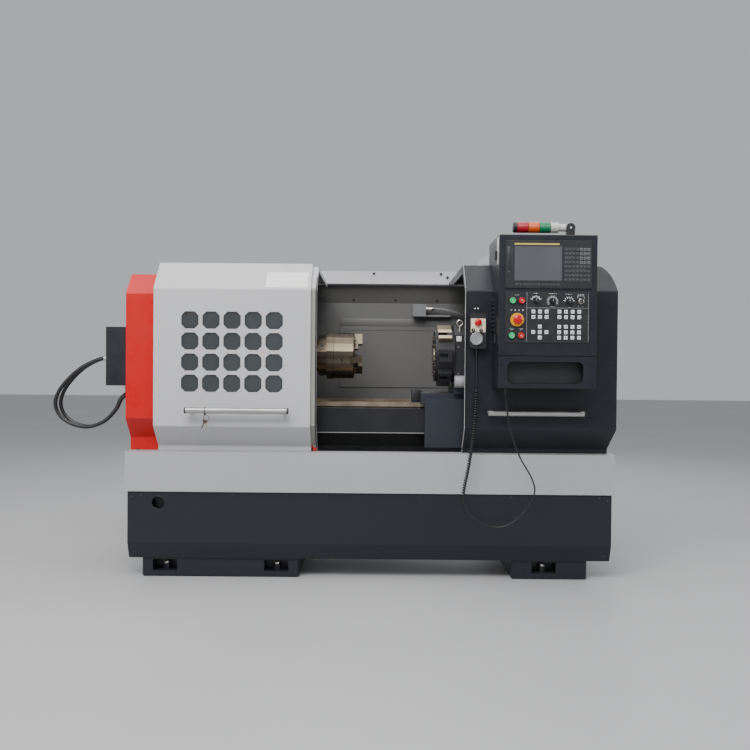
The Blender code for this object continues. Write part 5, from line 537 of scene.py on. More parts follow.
def dress_model():
    """Finished materials on the model's own nodes."""
    dress(charcoal, "left_pedestal", "right_pedestal", "front_skirt", "cylinder_guard", "right_door_shell")
    dress(charcoal, "control_cabinet", "control_panel_door", "electrical_cabinet", "cabinet_door")
    dress(tray_grey, "chip_tray")
    dress(light_grey, "left_door_shell", "top_beam")
    dress(red, "left_end_cover")
    dress(inside, "rear_splash_guard")
    dress(bed_paint, "bed")
    dress(cast, "saddle", "cross_slide", "tailstock_body", "headstock")
    dress(dark, "turret_housing", "main_motor")
    dress(disc_black, "turret_disc")
    dress(lamp_grey, "work_light")
    dress(chuck_steel, "spindle", "chuck_body")
    dress(jaw_steel, "chuck_jaw_1", "chuck_jaw_2", "chuck_jaw_3")
    dress(steel, "feed_screw", "tailstock_quill", "live_center", "key_switch")
    dress(cast, "spindle_pulley", "motor_pulley")
    dress(aluminium, "chuck_cylinder", "pendant_wheel")
    dress(bright_tube, "left_door_handle", "right_door_handle")
    dress(black, "display_unit", "operator_panel", "pendant_body", "lamp_bracket", "lamp_lenses")
    dress(black, "spindle_override_dial", "feed_override_dial", "mode_dial")
    dress(clear_plastic, "lamp_base")
    dress(belt_rubber, "drive_belt")
    dress(pane, "left_door_window")
    dress(green, "power_on_button", "cycle_start_button")
    dress(button_red, "power_off_button", "feed_hold_button", "estop_button", "pendant_stop")


# Forms

def circle(centre, radius, count, start=0.0):
    """Points evenly round a centre."""
    spots = []
    for i in range(count):
        angle = start + 2 * math.pi * i / count
        spots.append((centre[0] + radius * math.cos(angle), centre[1] + radius * math.sin(angle)))
    return spots


def steps(first, pitch, count):
    """Values from the first on, a pitch apart."""
    return [first + i * pitch for i in range(count)]


def rectangle(left, low, right, high):
    """Four corners of a rectangle."""
    return [(left, low), (right, low), (right, high), (left, high)]


def octagon(left, low, size, cut):
    """Square with its corners cut off, as eight points."""
    right, high = left + size, low + size
    return [
        (left + cut, low), (right - cut, low), (right, low + cut), (right, high - cut),
        (right - cut, high), (left + cut, high), (left, high - cut), (left, low + cut),
    ]


def rounded(low, high, radius, count):
    """Rounded rectangle as (a, b) points."""
    left, right = low[0] + radius, high[0] - radius
    foot, top = low[1] + radius, high[1] - radius
    spots = []
    for centre, first in (((right, top), 0), ((left, top), 90), ((left, foot), 180), ((right, foot), 270)):
        for i in range(count + 1):
            angle = math.radians(first + 90.0 * i / count)
            spots.append((centre[0] + radius * math.cos(angle), centre[1] + radius * math.sin(angle)))
    return spots


class Shape:
    """One piece that grows form by form, each in one of its materials."""

    def __init__(self, name, body, *looks):
        self.name = name
        self.body = body
        self.looks = looks
        self.bm = bmesh.new()

    def point(self, axis, position, a, b):
        """Corner at a position along an axis, with its two coordinates across the axis."""
        spots = {"X": (position, a, b), "Y": (a, position, b), "Z": (a, b, position)}
        return self.bm.verts.new(spots[axis])

    def block(self, low, high, slot=0, edge=0.0):
        """Box between two corners, its edges rounded off."""
        verts = bmesh.ops.create_cube(self.bm, size=1.0)["verts"]
        bmesh.ops.scale(self.bm, vec=[b - a for a, b in zip(low, high)], verts=verts)
        bmesh.ops.translate(self.bm, vec=[(a + b) / 2 for a, b in zip(low, high)], verts=verts)
        for face in {face for vert in verts for face in vert.link_faces}:
            face.material_index = slot
        if edge:
            edges = list({edge for vert in verts for edge in vert.link_edges})
            bmesh.ops.bevel(self.bm, geom=edges, offset=edge, segments=2, affect="EDGES", profile=0.5)

    def turned(self, axis, base, centre, profile, slot=0, sides=32, start=0.0):
        """Turned form from (distance from a base, radius) points along an axis; 6 sides make a hexagon."""
        rings = []
        for distance, radius in profile:
            spots = circle(centre, radius, sides, start) if radius else [centre]
            rings.append([self.point(axis, base + distance, *spot) for spot in spots])
        for first, second in zip(rings, rings[1:]):
            for i in range(sides):
                places = ((first, i), (first, i + 1), (second, i + 1), (second, i))
                corners = list(dict.fromkeys(ring[k % len(ring)] for ring, k in places))
                if len(corners) > 2:
                    self.bm.faces.new(corners).material_index = slot

    def ring(self, axis, position, centre, radius, wire, slot=0, sides=32):
        """Round ring of round wire, standing across an axis."""
        section = circle((radius, position), wire, WIRE_SIDES)
        loops = []
        for i in range(sides):
            loop = [self.point(axis, place, *circle(centre, reach, sides)[i]) for reach, place in section]
            loops.append(loop)
        for i in range(sides):
            first, second = loops[i], loops[(i + 1) % sides]
            for j in range(WIRE_SIDES):
                k = (j + 1) % WIRE_SIDES
                self.bm.faces.new((first[j], first[k], second[k], second[j])).material_index = slot

    def prism(self, axis, start, end, outline, slot=0):
        """Outline of (a, b) points drawn out along an axis."""
        first = [self.point(axis, start, a, b) for a, b in outline]
        last = [self.point(axis, end, a, b) for a, b in outline]
        faces = [self.bm.faces.new(first), self.bm.faces.new(last)]
        for i in range(len(outline)):
            j = (i + 1) % len(outline)
            faces.append(self.bm.faces.new((first[i], first[j], last[j], last[i])))
        for face in faces:
            face.material_index = slot

    def rim(self, axis, start, end, outer, inner, slot=0):
        """Closed band between two outlines that have as many points."""
        for i in range(len(outer)):
            j = (i + 1) % len(outer)
            self.prism(axis, start, end, [outer[i], outer[j], inner[j], inner[i]], slot)

    def strip(self, points, width, depth, slot=0):
        """Flat band through points in the Y, Z plane at one X range, as for a seal or a trim."""
        for (y0, z0), (y1, z1) in zip(points, points[1:]):
            along = Vector((y1 - y0, z1 - z0)).normalized()
            out = Vector((-along.y, along.x)) * depth
            outline = [(y0, z0), (y1, z1), (y1 + out.x, z1 + out.y), (y0 + out.x, z0 + out.y)]
            self.prism("X", *width, outline, slot)

    def louvres(self, axis, span, face, outward, levels, profile, slot):
        """Louvres above each other along an axis, from a profile of (out of the face, up) points."""
        for z in levels:
            self.prism(axis, *span, [(face + outward * out, z + up) for out, up in profile], slot)

    def mark(self, face, left, low, right, high, slot, proud=0.0002, edge=0.0):
        """Thin print or raised key on a face that looks to the front."""
        self.block((left, face - proud, low), (right, face + MARK_SUNK, high), slot, edge)

    def bar(self, face, x, z, wide, tall, slot, proud=0.0002):
        """Printed bar round a middle, from half its width and half its height."""
        self.mark(face, x - wide, z - tall, x + wide, z + tall, slot, proud)

    def hoop(self, face, centre, inner, outer, slot, proud=0.0002, sides=48):
        """Thin flat ring on a face that looks to the front."""
        profile = ((0.0003, outer), (-proud, outer), (-proud, inner), (0.0003, inner))
        self.turned("Y", face, centre, profile, slot, sides)

    def tick(self, face, centre, angle, inner, outer, width, slot, proud=0.0002):
        """Radial mark, its angle in degrees clockwise from the top."""
        turn = math.radians(angle)
        out = Vector((math.sin(turn), math.cos(turn)))
        side = Vector((out.y, -out.x)) * width / 2
        near = Vector(centre) + out * inner
        far = Vector(centre) + out * outer
        outline = [near - side * 0.6, near + side * 0.6, far + side, far - side]
        self.prism("Y", face - proud, face + MARK_SUNK, outline, slot)

    def dashes(self, face, x, z, half, height, slot):
        """Row of short printed marks, half its width to each side, that stands for a caption."""
        step = height * 0.95
        count = max(1, int(2 * half / step))
        for i in range(count):
            if i % 5 != 3:
                left = x - half + 2 * half * i / count
                self.mark(face, left, z, left + step * 0.55, z + height, slot)

    def cap_screw(self, axis, face, centre, radius, outward, slot=0, recess_shade_slot=1):
        """Socket head screw standing on a face, its head towards outward (1 or -1), with a dark floor in its
        socket that paints the shade there.
        """
        out = outward * radius
        bore = 0.52 * radius
        top = face + 1.1 * out
        self.turned(axis, top, centre, (
            (-1.1 * out, radius), (-0.15 * out, radius), (0.0, 0.86 * radius),
            (0.0, bore), (-0.6 * out, bore),
        ), slot, 20)
        # Dark hexagon at the socket's floor: painted shade
        self.turned(axis, top, centre, ((-0.55 * out, 0.99 * bore), (-0.6 * out, 0.0)), recess_shade_slot, 6)

    def pan_screw(self, axis, face, centre, radius, outward, slot=0, recess_shade_slot=1):
        """Pan head screw with a dark cross in its head that paints the shade in its cross recess."""
        height = 0.55 * outward * radius
        self.turned(axis, face, centre, (
            (0.0, radius), (0.45 * height, 0.97 * radius), (0.85 * height, 0.72 * radius), (height, 0.0),
        ), slot, 20)
        # Dark cross standing for the recess: painted shade
        low, high = sorted((face + 0.7 * height, face + 1.03 * height))
        for wide, tall in ((0.55, 0.11), (0.11, 0.55)):
            corners = []
            for way, level in ((-radius, low), (radius, high)):
                corner = [centre[0] + way * wide, centre[1] + way * tall]
                corner.insert("XYZ".index(axis), level)
                corners.append(corner)
            self.block(*corners, recess_shade_slot)

    def hex_bolt(self, face, centre, radius, slot=0):
        """Upright hexagon head bolt on a washer."""
        washer = 0.18 * radius
        top = washer + 0.7 * radius
        profile = ((0.0, 1.25 * radius), (washer, 1.22 * radius), (washer, 0.0))
        self.turned("Z", face, centre, profile, slot, 24)
        self.turned("Z", face, centre, (
            (washer, radius), (top - 0.12 * radius, radius), (top, 0.86 * radius), (top, 0.0),
        ), slot, 6, math.pi / 6)

    def move(self, first, matrix):
        """Move every point made since a count."""
        for vert in list(self.bm.verts)[first:]:
            vert.co = matrix @ vert.co

    def done(self, smooth=True):
        """Finished piece, riding on its body."""
        bmesh.ops.recalc_face_normals(self.bm, faces=self.bm.faces)
        mesh = bpy.data.meshes.new(self.name)
        self.bm.to_mesh(mesh)
        self.bm.free()
        for look in self.looks:
            mesh.materials.append(look.material)
        if smooth:
            mesh.shade_smooth()
            mesh.set_sharp_from_angle(angle=math.radians(SHARP_ANGLE))
        made = bpy.data.objects.new(self.name, mesh)
        bpy.context.scene.collection.objects.link(made)
        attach(made, self.body)


# Left door

def window_frames():
    """Dark rubber edge in each window of the left door."""
    shape = Shape("left_door_window_seals", "left_door", rubber)
    seal = WINDOW_SEAL
    columns, rows = WINDOW_COUNT
    for left in steps(WINDOW_FIRST[0], WINDOW_PITCH, columns):
        for high in steps(WINDOW_FIRST[1], -WINDOW_PITCH, rows):
            low = high - WINDOW_SIZE
            outer = octagon(left, low, WINDOW_SIZE, WINDOW_CHAMFER)
            inner = octagon(left + seal, low + seal, WINDOW_SIZE - 2 * seal, WINDOW_CHAMFER - 0.4 * seal)
            shape.rim("Y", DOOR_FACE_Y + 0.0006, DOOR_FACE_Y + 0.0028, outer, inner)
    shape.done(False)


def left_door_trim():
    """Rubber seal and pale edge strip along the door's contour, with the red corner piece at its foot."""
    shape = Shape("left_door_seal", "left_door", rubber, strip_grey, button_red, white_film, steel)
    end = LEFT_DOOR[1][0]
    lip_y = DOOR_LIP[0] + STRIP_STEP
    profile = [
        (lip_y, DOOR_FOOT_Z),
        (lip_y, DOOR_LIP[1] + 0.004),
        (DOOR_FACE_Y + STRIP_STEP, DOOR_LOWER_FOLD + 0.006),
        (DOOR_FACE_Y + STRIP_STEP, DOOR_UPPER_FOLD - 0.006),
        (DOOR_ROOF_FRONT[0] + STRIP_STEP, DOOR_ROOF_FRONT[1] - STRIP_STEP),
    ]
    shape.strip(profile, (end - 0.006, end - 0.0005), 0.0035, 0)
    shape.strip(profile, (STRIP_START + 0.001, end - 0.0062), 0.0008, 1)
    for short, top in ((0.0, 0.630), (0.020, 0.658)):
        shape.block((end - 0.030, lip_y - 0.006, CORNER_FOOT_Z), (end - short, lip_y - 0.003, top), 2, 0.001)
    shape.done()


def left_door_label():
    """Bare label on the slanting front of the roof."""
    low, high = [
        (DOOR_FACE_Y + (DOOR_ROOF_FRONT[0] - DOOR_FACE_Y) * part,
         DOOR_UPPER_FOLD + (DOOR_ROOF_FRONT[1] - DOOR_UPPER_FOLD) * part)
        for part in (0.06, 0.64)
    ]
    down = Vector((low[0] - high[0], low[1] - high[1])).normalized() * LABEL_THICKNESS
    raised = [(y + down.y, z - down.x) for y, z in (high, low)]
    left = STRIP_START - 0.016 - LABEL_WIDTH
    shape = Shape("left_door_label", "left_door", white_film)
    shape.prism("X", left, left + LABEL_WIDTH, [low, high, *raised])
    shape.done(False)


def handle_caps(name, body, node):
    """Dark end caps on a tube handle, and the collars of its posts."""
    low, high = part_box(node)
    z = (low[2] + high[2]) / 2
    shape = Shape(name, body, black, chuck_steel)
    for end, way in ((low[0], 1), (high[0], -1)):
        shape.turned("X", end, (low[1] + HANDLE_RADIUS, z), (
            (-0.0012 * way, 0.0), (-0.0012 * way, 0.9 * HANDLE_RADIUS), (0.0, HANDLE_RADIUS + 0.0006),
            (0.007 * way, HANDLE_RADIUS + 0.0006), (0.007 * way, 0.98 * HANDLE_RADIUS),
        ), 0, 28)
        shape.turned("Y", high[1], (end + 0.025 * way, z), (
            (-0.0005, 0.0135), (-0.004, 0.0133), (-0.005, 0.0122), (-0.006, 0.0112),
        ), 1, 28)
    shape.done()


def key_on_tie():
    """Cable tie round the left handle with the machine's keys on it."""
    x, y, z = TIE_PLACE
    shape = Shape("key_and_tie", "left_door", black, dark_steel, tool_steel)
    shape.rim("X", x - 0.0018, x + 0.0018, circle((y, z), 0.0152, 24), circle((y, z), 0.0144, 24), 0)
    shape.block((x - 0.004, y - 0.004, z - 0.0215), (x + 0.004, y + 0.004, z - 0.0145), 0, 0.001)
    middle = (x + 0.006, z - 0.034)
    outer = circle(middle, KEY_RING_RADIUS, 28)
    shape.rim("Y", y - 0.001, y + 0.001, outer, circle(middle, KEY_RING_RADIUS - 0.0018, 28), 1)
    hole_x, hole_z = middle[0] - 0.004, middle[1] - KEY_RING_RADIUS + 0.004
    for lean, offset, slot in ((-0.42, 0.0016, 1), (0.16, 0.004, 2)):
        outline = []
        for a, b in KEY_OUTLINE:
            outline.append((hole_x + a * math.cos(lean) - b * math.sin(lean),
                            hole_z + a * math.sin(lean) + b * math.cos(lean)))
        shape.prism("Y", y + offset, y + offset + 0.002, outline, slot)
    shape.done()


# Skirt, pedestals, end cover, guard

def skirt_details():
    """Screws of the skirt and the rim of its access hole."""
    shape = Shape("skirt_screws", "frame", black, dark)
    for x, z in [(x, SKIRT_TOP_SCREWS_Z) for x in SKIRT_TOP_SCREWS_X] + list(SKIRT_SIDE_SCREWS):
        sunk = SKIRT_SLANT * max(0.0, SKIRT_FOLD_Z - z)
        shape.pan_screw("Y", SKIRT_FACE_Y + sunk, (x, z), 0.0085, -1)
    shape.turned("Y", SKIRT_FACE_Y, SKIRT_HOLE, (
        (0.0005, 0.0325), (-0.0015, 0.0322), (-0.002, 0.0312), (-0.0015, 0.0305), (0.003, 0.0305),
    ), 0, 40)
    shape.done()


def pocket_bolts():
    """Bright heads on the levelling bolts in the pedestals' pockets."""
    shape = Shape("levelling_nuts", "frame", steel, dark)
    for distance in POCKETS:
        shape.hex_bolt(LEVELLING_NUT_Z, (TRAY_LEFT + distance + POCKET_WIDTH / 2, POCKET_MIDDLE_Y), 0.012)
    shape.done()


def end_cover_details():
    """Screws and louvres on the red end cover, and its foot."""
    x, front = END_COVER[0][:2]
    shape = Shape("end_cover_details", "frame", dark_red, black, red)
    for spot in ((-0.50, 0.80), (-0.50, 1.30), (0.02, 1.445), (0.38, 1.40), (0.38, 0.70), (-0.42, 0.645)):
        shape.pan_screw("X", x, spot, 0.006, -1, 1, 1)
    profile = ((-0.0004, 0.0), (0.006, 0.003), (0.0065, 0.006), (-0.0004, 0.015))
    shape.louvres("Y", (0.10, 0.34), x, -1, steps(0.80, 0.026, 9), profile, 2)
    shape.done()
    foot = Shape("end_cover_foot", "frame", black)
    foot.block((x + 0.03, front + 0.080, 0.6125), (x + 0.045, front + 0.088, 0.6165), 0, 0.001)
    foot.done()


def guard_details():
    """Screws on the cylinder's guard, and a nut and a ferrule at each end of the hoses."""
    low, high = GUARD
    shape = Shape("guard_details", "frame", dark, steel, black)
    for x in (low[0] + 0.035, high[0] - 0.02):
        for z in (0.94, 1.20):
            shape.pan_screw("Y", GUARD_FRONT_Y, (x, z), 0.0055, -1, 2, 2)
    ends = [("X", low[0], (hose[0], HOSE_EXIT_Z)) for hose in HOSES.values()]
    ends += [("Z", low[2], (TRAY_LEFT + hose[1], hose[0])) for hose in HOSES.values()]
    for axis, face, centre in ends:
        wall = face + GUARD_WALL
        shape.turned(axis, wall, centre, ((0.0, 0.0165), (-0.008, 0.0165), (-0.008, 0.0145)), 1, 6)
        shape.turned(axis, wall, centre, (
            (-0.008, 0.0145), (-0.0185, 0.0142), (-0.036, 0.0132), (-0.036, 0.0102),
        ), 1, 28)
    shape.done()


# Control panel

def on_panel(right, up):
    """Place on the operator panel, from its lower left corner."""
    return OPERATOR[0][0] + right, OPERATOR[0][2] + up


def add_keys(shape, top):
    """Membrane keys in their fields and in the cross, each with a sign."""
    across, up = KEY_PITCH
    places = []
    for x, z, columns, rows in KEY_FIELDS:
        places += [(a, b) for a in steps(x, across, columns) for b in steps(z, up, rows)]
    for column, row in ((0, 0), (1, 0), (-1, 0), (0, 1), (0, -1)):
        places.append((KEY_CROSS[0] + column * across, KEY_CROSS[1] + row * up))
    edge = 0.0006
    for i, place in enumerate(places):
        x, z = on_panel(*place)
        low = (x + edge, top - 0.0005, z + edge)
        high = (x + KEY_SIZE - edge, top + 0.0003, z + KEY_SIZE - edge)
        shape.block(low, high, 1, 0.0004)
        add_sign(shape, top - 0.0005, x + KEY_SIZE / 2, z + KEY_SIZE / 2, i % 5)


def add_sign(shape, face, x, z, kind):
    """Small sign on a membrane key: arrow up, ring, bar with a dot, arrow to the right or pair of bars."""
    size = 0.2 * KEY_SIZE
    proud = 0.00015
    if kind in (0, 3):
        tip = (x, z + size) if kind == 0 else (x + size, z)
        second = (x + size, z - size) if kind == 0 else (x - size, z + size)
        shape.prism("Y", face - proud, face + 0.0003, [(x - size, z - size), second, tip], 2)
    elif kind == 1:
        shape.hoop(face, (x, z), 0.6 * size, 1.05 * size, 2, proud, 20)
    elif kind == 2:
        shape.bar(face, x, z, 1.2 * size, 0.3 * size, 2, proud)
        shape.bar(face, x, z + 0.9 * size, 0.3 * size, 0.4 * size, 2, proud)
    else:
        for side in (-0.8, 0.8):
            shape.bar(face, x + side * size, z, 0.3 * size, size, 2, proud)


def add_scales(shape, face):
    """Ticks round the dials and the caption above each."""
    for name, (reach, count, width) in DIAL_SCALES.items():
        centre = on_panel(*DIAL_PLACES[name])
        for i in range(count):
            outer = 0.0235 if i % 2 else 0.0255
            angle = 2 * reach * i / (count - 1) - reach
            shape.tick(face, centre, angle, 0.0165, outer, width, 4)
            if name == "feed_override_dial":
                shape.tick(face, centre, angle, 0.0265, 0.0285, 0.0009, 0)
        shape.dashes(face, centre[0], centre[1] + 0.0335, DIAL_CAPTIONS[name], 0.0022, 4)


def dress_operator_panel():
    """Printed lines, keys, scales, captions, the stop's yellow ring, rims of the buttons and screws."""
    face = PANEL_FACE_Y
    shape = Shape("operator_panel_prints", "panel_door", line_grey, key_white, black, yellow, panel_text)
    left, low = on_panel(0.097, 0.004)
    right, middle = on_panel(0.3745, 0.157)
    high = OPERATOR[1][2] - 0.003
    thin = 0.0007
    for x in (left, right):
        shape.mark(face, x - thin, low, x + thin, high, 0)
    shape.mark(face, left, middle - thin, right, middle + thin, 0)
    add_keys(shape, face - 0.002)
    add_scales(shape, face)
    for name, half in (("feed_override_dial", 0.010), ("mode_dial", 0.006)):
        x, z = on_panel(*DIAL_PLACES[name])
        shape.dashes(face, x, z - 0.0255, half, 0.0016, 4)
    x, z = on_panel(*KEY_SWITCH_PLACE)
    shape.dashes(face, x + 0.0005, z + 0.0300, 0.0145, 0.0022, 4)
    shape.bar(face, x, z + 0.0257, 0.014, 0.0005, 4)
    for side in (-1, 1):
        shape.bar(face, x + side * 0.014, z + 0.020, 0.0006, 0.006, 4)
        shape.dashes(face, x + side * 0.009, z - 0.022, 0.003, 0.0014, 4)
    x, z = on_panel(*ESTOP_PLACE)
    for i in range(4):
        inner = 0.0004 if i % 2 else 0.0020
        shape.hoop(face, (x - 0.026 + i * 0.0172, z + 0.043), inner, 0.0030, 4, 0.0002, 16)
    shape.hoop(face - 0.0025, (x, z), 0.0113, 0.0305, 3, 0.0008)
    x, z = on_panel(*BUTTON_PLACES["power_on_button"])
    shape.dashes(face, x + 0.020, z + 0.024, 0.010, 0.0018, 4)
    for name in ("cycle_start_button", "feed_hold_button"):
        x, z = on_panel(*BUTTON_PLACES[name])
        shape.dashes(face, x, z + 0.030, 0.010, 0.0018, 4)
        shape.dashes(face, x, z + 0.025, 0.006, 0.0018, 4)
    for place in BUTTON_PLACES.values():
        shape.turned("Y", face, on_panel(*place), (
            (0.0, 0.0185), (-0.003, 0.0184), (-0.0045, 0.0172), (-0.0047, 0.0150), (-0.0042, 0.0146),
            (-0.0020, 0.0146),
        ), 2, 40)
    for place in DIAL_PLACES.values():
        profile = ((0.0002, 0.0138), (-0.0004, 0.0136), (-0.0004, 0.0055))
        shape.turned("Y", face, on_panel(*place), profile, 2, 36)
    for right in (0.006, 0.374):
        for up in (0.006, 0.225):
            shape.pan_screw("Y", face, on_panel(right, up), 0.0026, -1, 2, 0)
    shape.done()


def dress_display():
    """Screen with its frame, soft keys below, the keypad beside it, a card slot and a yellow strip above."""
    left, face, low = DISPLAY[0]
    right, high = DISPLAY[1][0], DISPLAY[1][2]
    shape = Shape("display_details", "panel_door",
                  screen_glass, dark, key_grey, line_grey, black, key_dark, strip_yellow)
    x0, z0 = left + SCREEN[0], low + SCREEN[1]
    x1, z1 = x0 + SCREEN[2], z0 + SCREEN[3]
    shape.block((x0 + 0.0006, face + 0.0007, z0 + 0.0006), (x1 - 0.0006, face + 0.0014, z1 - 0.0006), 0)
    outer = rectangle(x0 - SCREEN_FRAME, z0 - SCREEN_FRAME, x1 + SCREEN_FRAME, z1 + SCREEN_FRAME)
    shape.rim("Y", face - 0.0008, face + 0.0012, outer, rectangle(x0, z0, x1, z1), 1)
    width = (SCREEN[2] - 0.012) / SOFT_KEYS
    for x in steps(x0 + 0.006, width, SOFT_KEYS):
        shape.mark(face, x + 0.0015, low + 0.0115, x + width - 0.0015, low + 0.0215, 5, 0.0013, 0.0005)
    columns, rows = KEYPAD
    across = (right - 0.008 - (x1 + 0.010)) / columns
    up = (high - low - 0.060) / rows
    for i, x in enumerate(steps(x1 + 0.010, across, columns)):
        for j, z in enumerate(steps(low + 0.030, up, rows)):
            slot = 5 if i < 4 or j < 4 else 2
            key = (x + 0.0016, z + 0.0024, x + across - 0.0016, z + up - 0.0024)
            shape.mark(face, *key, slot, 0.0016, 0.0006)
            shape.mark(face - 0.0016, x + 0.0052, z + up * 0.44, x + across - 0.0052, z + up * 0.56,
                       2 if slot == 5 else 4, 0.00012)
    x = left + 0.010
    shape.mark(face, x, z0 + 0.030, x + 0.020, z1 - 0.004, 4, 0.0012, 0.0008)
    shape.mark(face, x + 0.006, z0 + 0.050, x + 0.009, z1 - 0.030, 1, 0.0016)
    shape.mark(face, x + 0.003, z0 + 0.034, x + 0.015, z0 + 0.043, 5, 0.0020, 0.0005)
    for x in (left + 0.0055, right - 0.0055):
        for z in (low + 0.0055, high - 0.0055):
            shape.cap_screw("Y", face, (x, z), 0.0026, -1, 4, 1)
    margin = high - z1
    shape.mark(face, x0, z1 + 0.20 * margin, x1 - 0.012, z1 + 0.50 * margin, 6)
    shape.done()


def dress_dials():
    """Grip ribs and a white line on each dial, and the key switch's bow and collar."""
    front = DIAL_FRONT_Y
    for name, place in DIAL_PLACES.items():
        x, z = on_panel(*place)
        shape = Shape(f"{name}_grip", name, black, panel_text)
        for spot in circle((x, z), 0.0115, 20):
            shape.turned("Y", front, spot, ((0.0128, 0.0), (0.0128, 0.0007), (0.0178, 0.0007)), 0, 8)
        low = (x - 0.0007, front - 0.0022, z + 0.0012)
        shape.block(low, (x + 0.0007, front + 0.0002, z + 0.0105), 1, 0.0002)
        shape.turned("Y", front, (x, z), ((-0.0004, 0.0), (-0.0004, 0.0040), (0.0002, 0.0042)), 0, 24)
        shape.done()
    x, z = on_panel(*KEY_SWITCH_PLACE)
    front = KEY_SWITCH_FRONT_Y
    shape = Shape("key_switch_bow", "key_switch", black, steel)
    upper = ((0.024, 0.006), (0.020, 0.0105), (0.008, 0.0085))
    outline = [(front - out, z - up) for out, up in reversed(upper)]
    outline += [(front - out, z + up) for out, up in upper]
    shape.prism("X", x - 0.0026, x + 0.0026, outline, 0)
    shape.turned("Y", front, (x, z), (
        (0.0060, 0.0125), (-0.0006, 0.0122), (-0.0012, 0.0110), (-0.0008, 0.0070),
    ), 1, 36)
    shape.done()


def dress_buttons():
    """Raised rims and a small sign on the push buttons, arrows on the emergency stop's head."""
    for name, place in BUTTON_PLACES.items():
        x, z = on_panel(*place)
        face = BUTTON_FRONT_Y
        starts = name in ("power_on_button", "cycle_start_button")
        shape = Shape(f"{name}_cap", name, green_lit if starts else red_lit, panel_text)
        shape.turned("Y", face, (x, z), (
            (0.0012, 0.0139), (-0.0006, 0.0132), (-0.0012, 0.0122), (-0.0010, 0.0108), (-0.0002, 0.0096),
            (-0.0006, 0.0050), (-0.0008, 0.0),
        ), 0, 40)
        if starts:
            shape.bar(face - 0.0007, x, z, 0.0007, 0.0035, 1, 0.0003)
        else:
            shape.hoop(face - 0.0006, (x, z), 0.0026, 0.0036, 1, 0.0004, 20)
        shape.done()
    head = ESTOP_FRONT_Y
    centre = on_panel(*ESTOP_PLACE)
    shape = Shape("estop_head", "estop_button", red_lit, panel_text)
    shape.turned("Y", head, centre, (
        (0.0150, 0.0206), (0.0075, 0.0206), (0.0042, 0.0196), (0.0016, 0.0150), (-0.0002, 0.0060),
        (-0.0004, 0.0),
    ), 0, 48)
    for start in steps(20, 120, 3):
        for angle in steps(start, 9, 6):
            shape.tick(head + 0.0014, centre, angle, 0.0095, 0.0118, 0.0022, 1, 0.0004)
    shape.done()


# Control cabinet and its hinged front

def dress_hinged_front():
    """Flange at the left side of the hinged front, its hinge knuckles, locks and lower seal."""
    (left, face, low), (right, back, high) = PANEL_DOOR
    middle = (face + back) / 2
    shape = Shape("control_door_flange", "panel_door", light_grey, black, steel)
    corner = (CONTROL_LEFT + 0.0004, back - 0.003, high - 0.008)
    shape.block((CONTROL_LEFT - 0.0006, face + 0.022, 1.50), corner, 0, 0.0002)
    for hinge in (low + 0.06, low + 0.44):
        for z in steps(hinge + 0.0015, 0.0128, 3):
            profile = ((0.0, 0.0), (0.0, 0.0052), (0.0112, 0.0052), (0.0112, 0.0))
            shape.turned("Z", z, (left + 0.005, face + 0.0681), profile, 1, 20)
    for z in (low + 0.10, high - 0.10):
        profile = ((-0.0002, 0.014), (0.0035, 0.0136), (0.0040, 0.0126), (0.0040, 0.0))
        shape.turned("X", right, (middle, z), profile, 1, 28)
        corner = (right + 0.0052, middle + 0.0016, z + 0.0070)
        shape.block((right + 0.0036, middle - 0.0016, z - 0.0070), corner, 2, 0.0004)
    shape.block((left + 0.003, face + 0.004, low - 0.0012), (right - 0.003, face + 0.010, low), 1)
    shape.done()


def dress_control_cabinet():
    """Lip and lining of the shelf, screws, side louvres and the cord's gland."""
    face = CONTROL_FACE_Y
    low, high = SHELF_BOX
    shape = Shape("control_cabinet_details", "right_door", black, steel, light_grey, dark)
    outer = rounded(low, high, SHELF_RADIUS, 6)
    inner = rounded((low[0] + SHELF_LIP, low[1] + SHELF_LIP), (high[0] - SHELF_LIP, high[1] - SHELF_LIP),
                    SHELF_RADIUS - SHELF_LIP, 6)
    shape.rim("Y", face - 0.0008, face + 0.0040, outer, inner, 0)
    corner = (high[0] - 0.004, face + 0.0545, high[1] - 0.004)
    shape.block((low[0] + 0.004, face + 0.0530, low[1] + 0.004), corner, 0)
    for x in (CONTROL_LEFT + 0.016, CONTROL_RIGHT - 0.016):
        for z in (CONTROL_LOW + 0.035, CONTROL_LOW + 0.125):
            shape.cap_screw("Y", face, (x, z), 0.0042, -1, 0, 3)
    profile = ((-0.0004, 0.0), (0.004, 0.002), (0.0044, 0.005), (-0.0004, 0.012))
    for x, side in ((CONTROL_LEFT, -1), (CONTROL_RIGHT, 1)):
        shape.louvres("Y", (-0.62, -0.50), x, side, steps(1.20, 0.020, 8), profile, 3)
    for spot in ((-0.66, 1.14), (-0.66, 1.52), (-0.46, 1.52)):
        shape.pan_screw("X", CONTROL_RIGHT, spot, 0.005, 1, 1, 3)
    shape.turned("Z", CONTROL_LOW, CORD_GLAND, ((0.016, 0.0115), (0.011, 0.0115), (0.011, 0.0095)), 0, 6)
    shape.turned("Z", CONTROL_LOW, CORD_GLAND, (
        (0.011, 0.0098), (-0.0002, 0.0090), (-0.012, 0.0060), (-0.014, 0.0044), (-0.014, 0.0037),
    ), 0, 28)
    shape.done()


# Pendant

